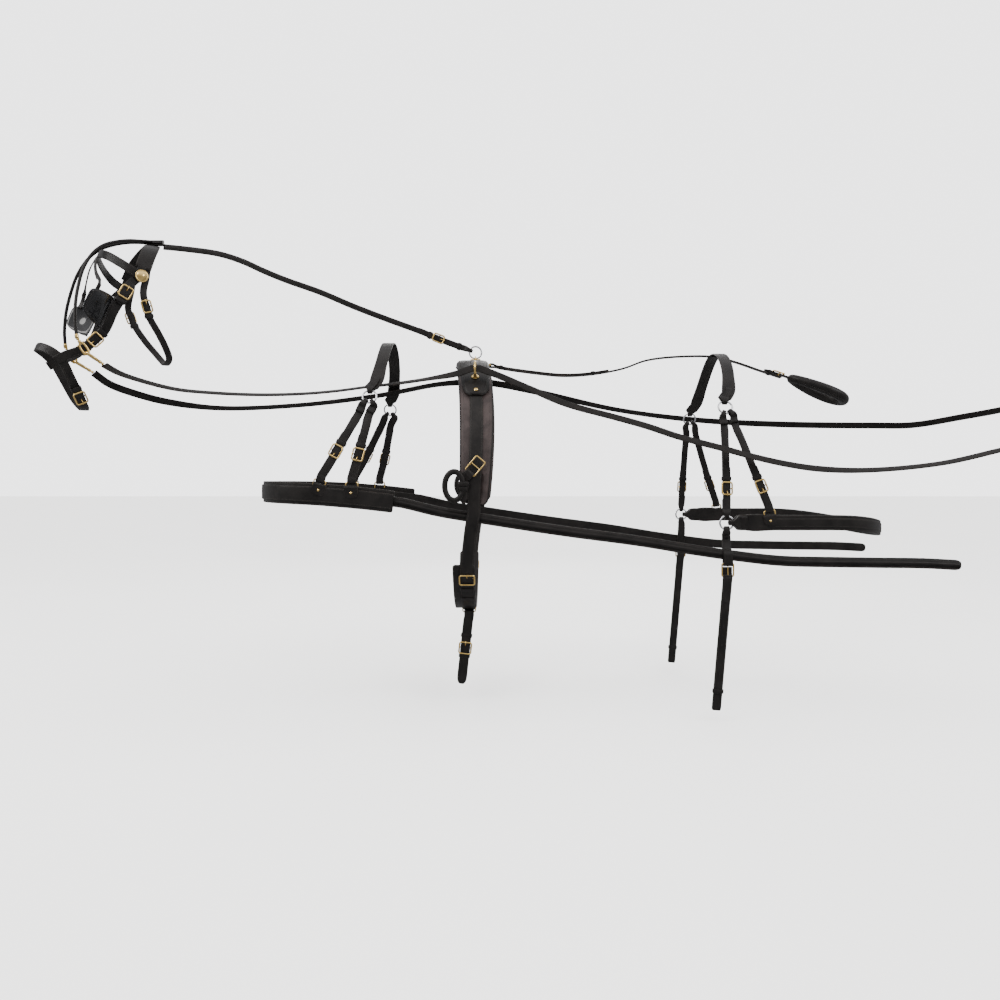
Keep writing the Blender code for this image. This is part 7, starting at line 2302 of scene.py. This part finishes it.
def studio():
    """A pale floor below the harness, soft lights round it, and the camera."""
    level = CAD_BOX[0][2] - FLOOR_GAP
    data = bpy.data.meshes.new("floor")
    corners = [(x * FLOOR_REACH, y * FLOOR_REACH, level) for x, y in ((-1, -1), (1, -1), (1, 1), (-1, 1))]
    data.from_pydata(corners, [], [(0, 1, 2, 3)])
    data.materials.append(finish_named("floor"))
    floor = add_object("floor", data)
    floor.visible_glossy = False  # polished leather mirrors the dimmer backdrop instead

    for values in LAMPS:
        lamp(*values)
    data = bpy.data.lights.new("skylight", "SUN")
    data.energy, data.angle = SUN_POWER, SUN_SPREAD
    above = add_object("skylight", data)
    above.rotation_euler = (0.25, 0.10, 0)
    above.visible_glossy = False
    surroundings()

    data = bpy.data.cameras.new("camera")
    data.sensor_width = 36.0
    data.lens = CAMERA_FOCUS * data.sensor_width
    data.shift_y = CAMERA_SHIFT
    data.clip_end = 200.0
    camera = add_object("camera", data)
    camera.location = CAMERA_PLACE
    camera.rotation_euler = (math.pi / 2, 0, 0)
    bpy.context.scene.camera = camera


# Operators, one for each group of pieces, and their panel


class HARNESS_OT_bridle(bpy.types.Operator):
    """Add the headpiece, browband, cheek straps, throatlatch and noseband"""
    bl_idname = "harness.bridle"
    bl_label = "Bridle"

    def execute(self, context):
        bridle()
        return {"FINISHED"}


class HARNESS_OT_overcheck(bpy.types.Operator):
    """Add the round check straps and their ferrules"""
    bl_idname = "harness.overcheck"
    bl_label = "Overcheck"

    def execute(self, context):
        overcheck()
        return {"FINISHED"}


class HARNESS_OT_blinkers(bpy.types.Operator):
    """Add the blinkers and their stay"""
    bl_idname = "harness.blinkers"
    bl_label = "Blinkers"

    def execute(self, context):
        blinkers()
        return {"FINISHED"}


class HARNESS_OT_breast(bpy.types.Operator):
    """Add the breast collar, neck strap, rings and forks"""
    bl_idname = "harness.breast"
    bl_label = "Breast collar"

    def execute(self, context):
        breast()
        return {"FINISHED"}


class HARNESS_OT_traces(bpy.types.Operator):
    """Add the traces"""
    bl_idname = "harness.traces"
    bl_label = "Traces"

    def execute(self, context):
        traces()
        return {"FINISHED"}


class HARNESS_OT_saddle(bpy.types.Operator):
    """Add the saddle, its terrets, check hook and back band"""
    bl_idname = "harness.saddle"
    bl_label = "Saddle"

    def execute(self, context):
        saddle()
        return {"FINISHED"}


class HARNESS_OT_girths(bpy.types.Operator):
    """Add the girth, belly band and hanging strap"""
    bl_idname = "harness.girths"
    bl_label = "Girths"

    def execute(self, context):
        girths()
        return {"FINISHED"}


class HARNESS_OT_tugs(bpy.types.Operator):
    """Add the tug loops and their buckles"""
    bl_idname = "harness.tugs"
    bl_label = "Tugs"

    def execute(self, context):
        tugs()
        return {"FINISHED"}


class HARNESS_OT_crupper(bpy.types.Operator):
    """Add the back strap and the crupper dock"""
    bl_idname = "harness.crupper"
    bl_label = "Crupper"

    def execute(self, context):
        crupper()
        return {"FINISHED"}


class HARNESS_OT_hips(bpy.types.Operator):
    """Add the hip strap, its rings, forks and braces"""
    bl_idname = "harness.hips"
    bl_label = "Hip straps"

    def execute(self, context):
        hips()
        return {"FINISHED"}


class HARNESS_OT_breeching(bpy.types.Operator):
    """Add the breeching, its rings, the trace carriers and the hold-backs"""
    bl_idname = "harness.breeching"
    bl_label = "Breeching"

    def execute(self, context):
        breeching()
        return {"FINISHED"}


class HARNESS_OT_reins(bpy.types.Operator):
    """Add the driving reins, the bearing rein and the snaps"""
    bl_idname = "harness.reins"
    bl_label = "Reins"

    def execute(self, context):
        reins()
        bearing_rein()
        snaps()
        return {"FINISHED"}


class HARNESS_OT_studio(bpy.types.Operator):
    """Add the floor, the lights and the camera"""
    bl_idname = "harness.studio"
    bl_label = "Studio"

    def execute(self, context):
        studio()
        return {"FINISHED"}


STEPS = (HARNESS_OT_studio, HARNESS_OT_reins, HARNESS_OT_bridle, HARNESS_OT_overcheck, HARNESS_OT_blinkers,
         HARNESS_OT_breast, HARNESS_OT_traces, HARNESS_OT_saddle, HARNESS_OT_girths, HARNESS_OT_tugs,
         HARNESS_OT_crupper, HARNESS_OT_hips, HARNESS_OT_breeching)


class HARNESS_PT_panel(bpy.types.Panel):
    """Builds the harness piece by piece"""
    bl_idname = "HARNESS_PT_panel"
    bl_label = "Driving harness"
    bl_space_type = "VIEW_3D"
    bl_region_type = "UI"
    bl_category = "Harness"

    def draw(self, context):
        column = self.layout.column()
        for step in STEPS:
            column.operator(step.bl_idname)
        for settings in (context.scene.harness_sizes, context.scene.harness_look):
            box = self.layout.box()
            for name in settings.__annotations__:
                box.prop(settings, name)


CLASSES = (HarnessSizes, HarnessLook, *STEPS, HARNESS_PT_panel)


def register():
    for kind in CLASSES:
        bpy.utils.register_class(kind)
    bpy.types.Scene.harness_sizes = PointerProperty(type=HarnessSizes)
    bpy.types.Scene.harness_look = PointerProperty(type=HarnessLook)


def unregister():
    del bpy.types.Scene.harness_sizes
    del bpy.types.Scene.harness_look
    for kind in reversed(CLASSES):
        bpy.utils.unregister_class(kind)


def main():
    """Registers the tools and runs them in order."""
    register()
    for step in STEPS:
        group, name = step.bl_idname.split(".")
        getattr(getattr(bpy.ops, group), name)()


if __name__ == "__main__":
    main()
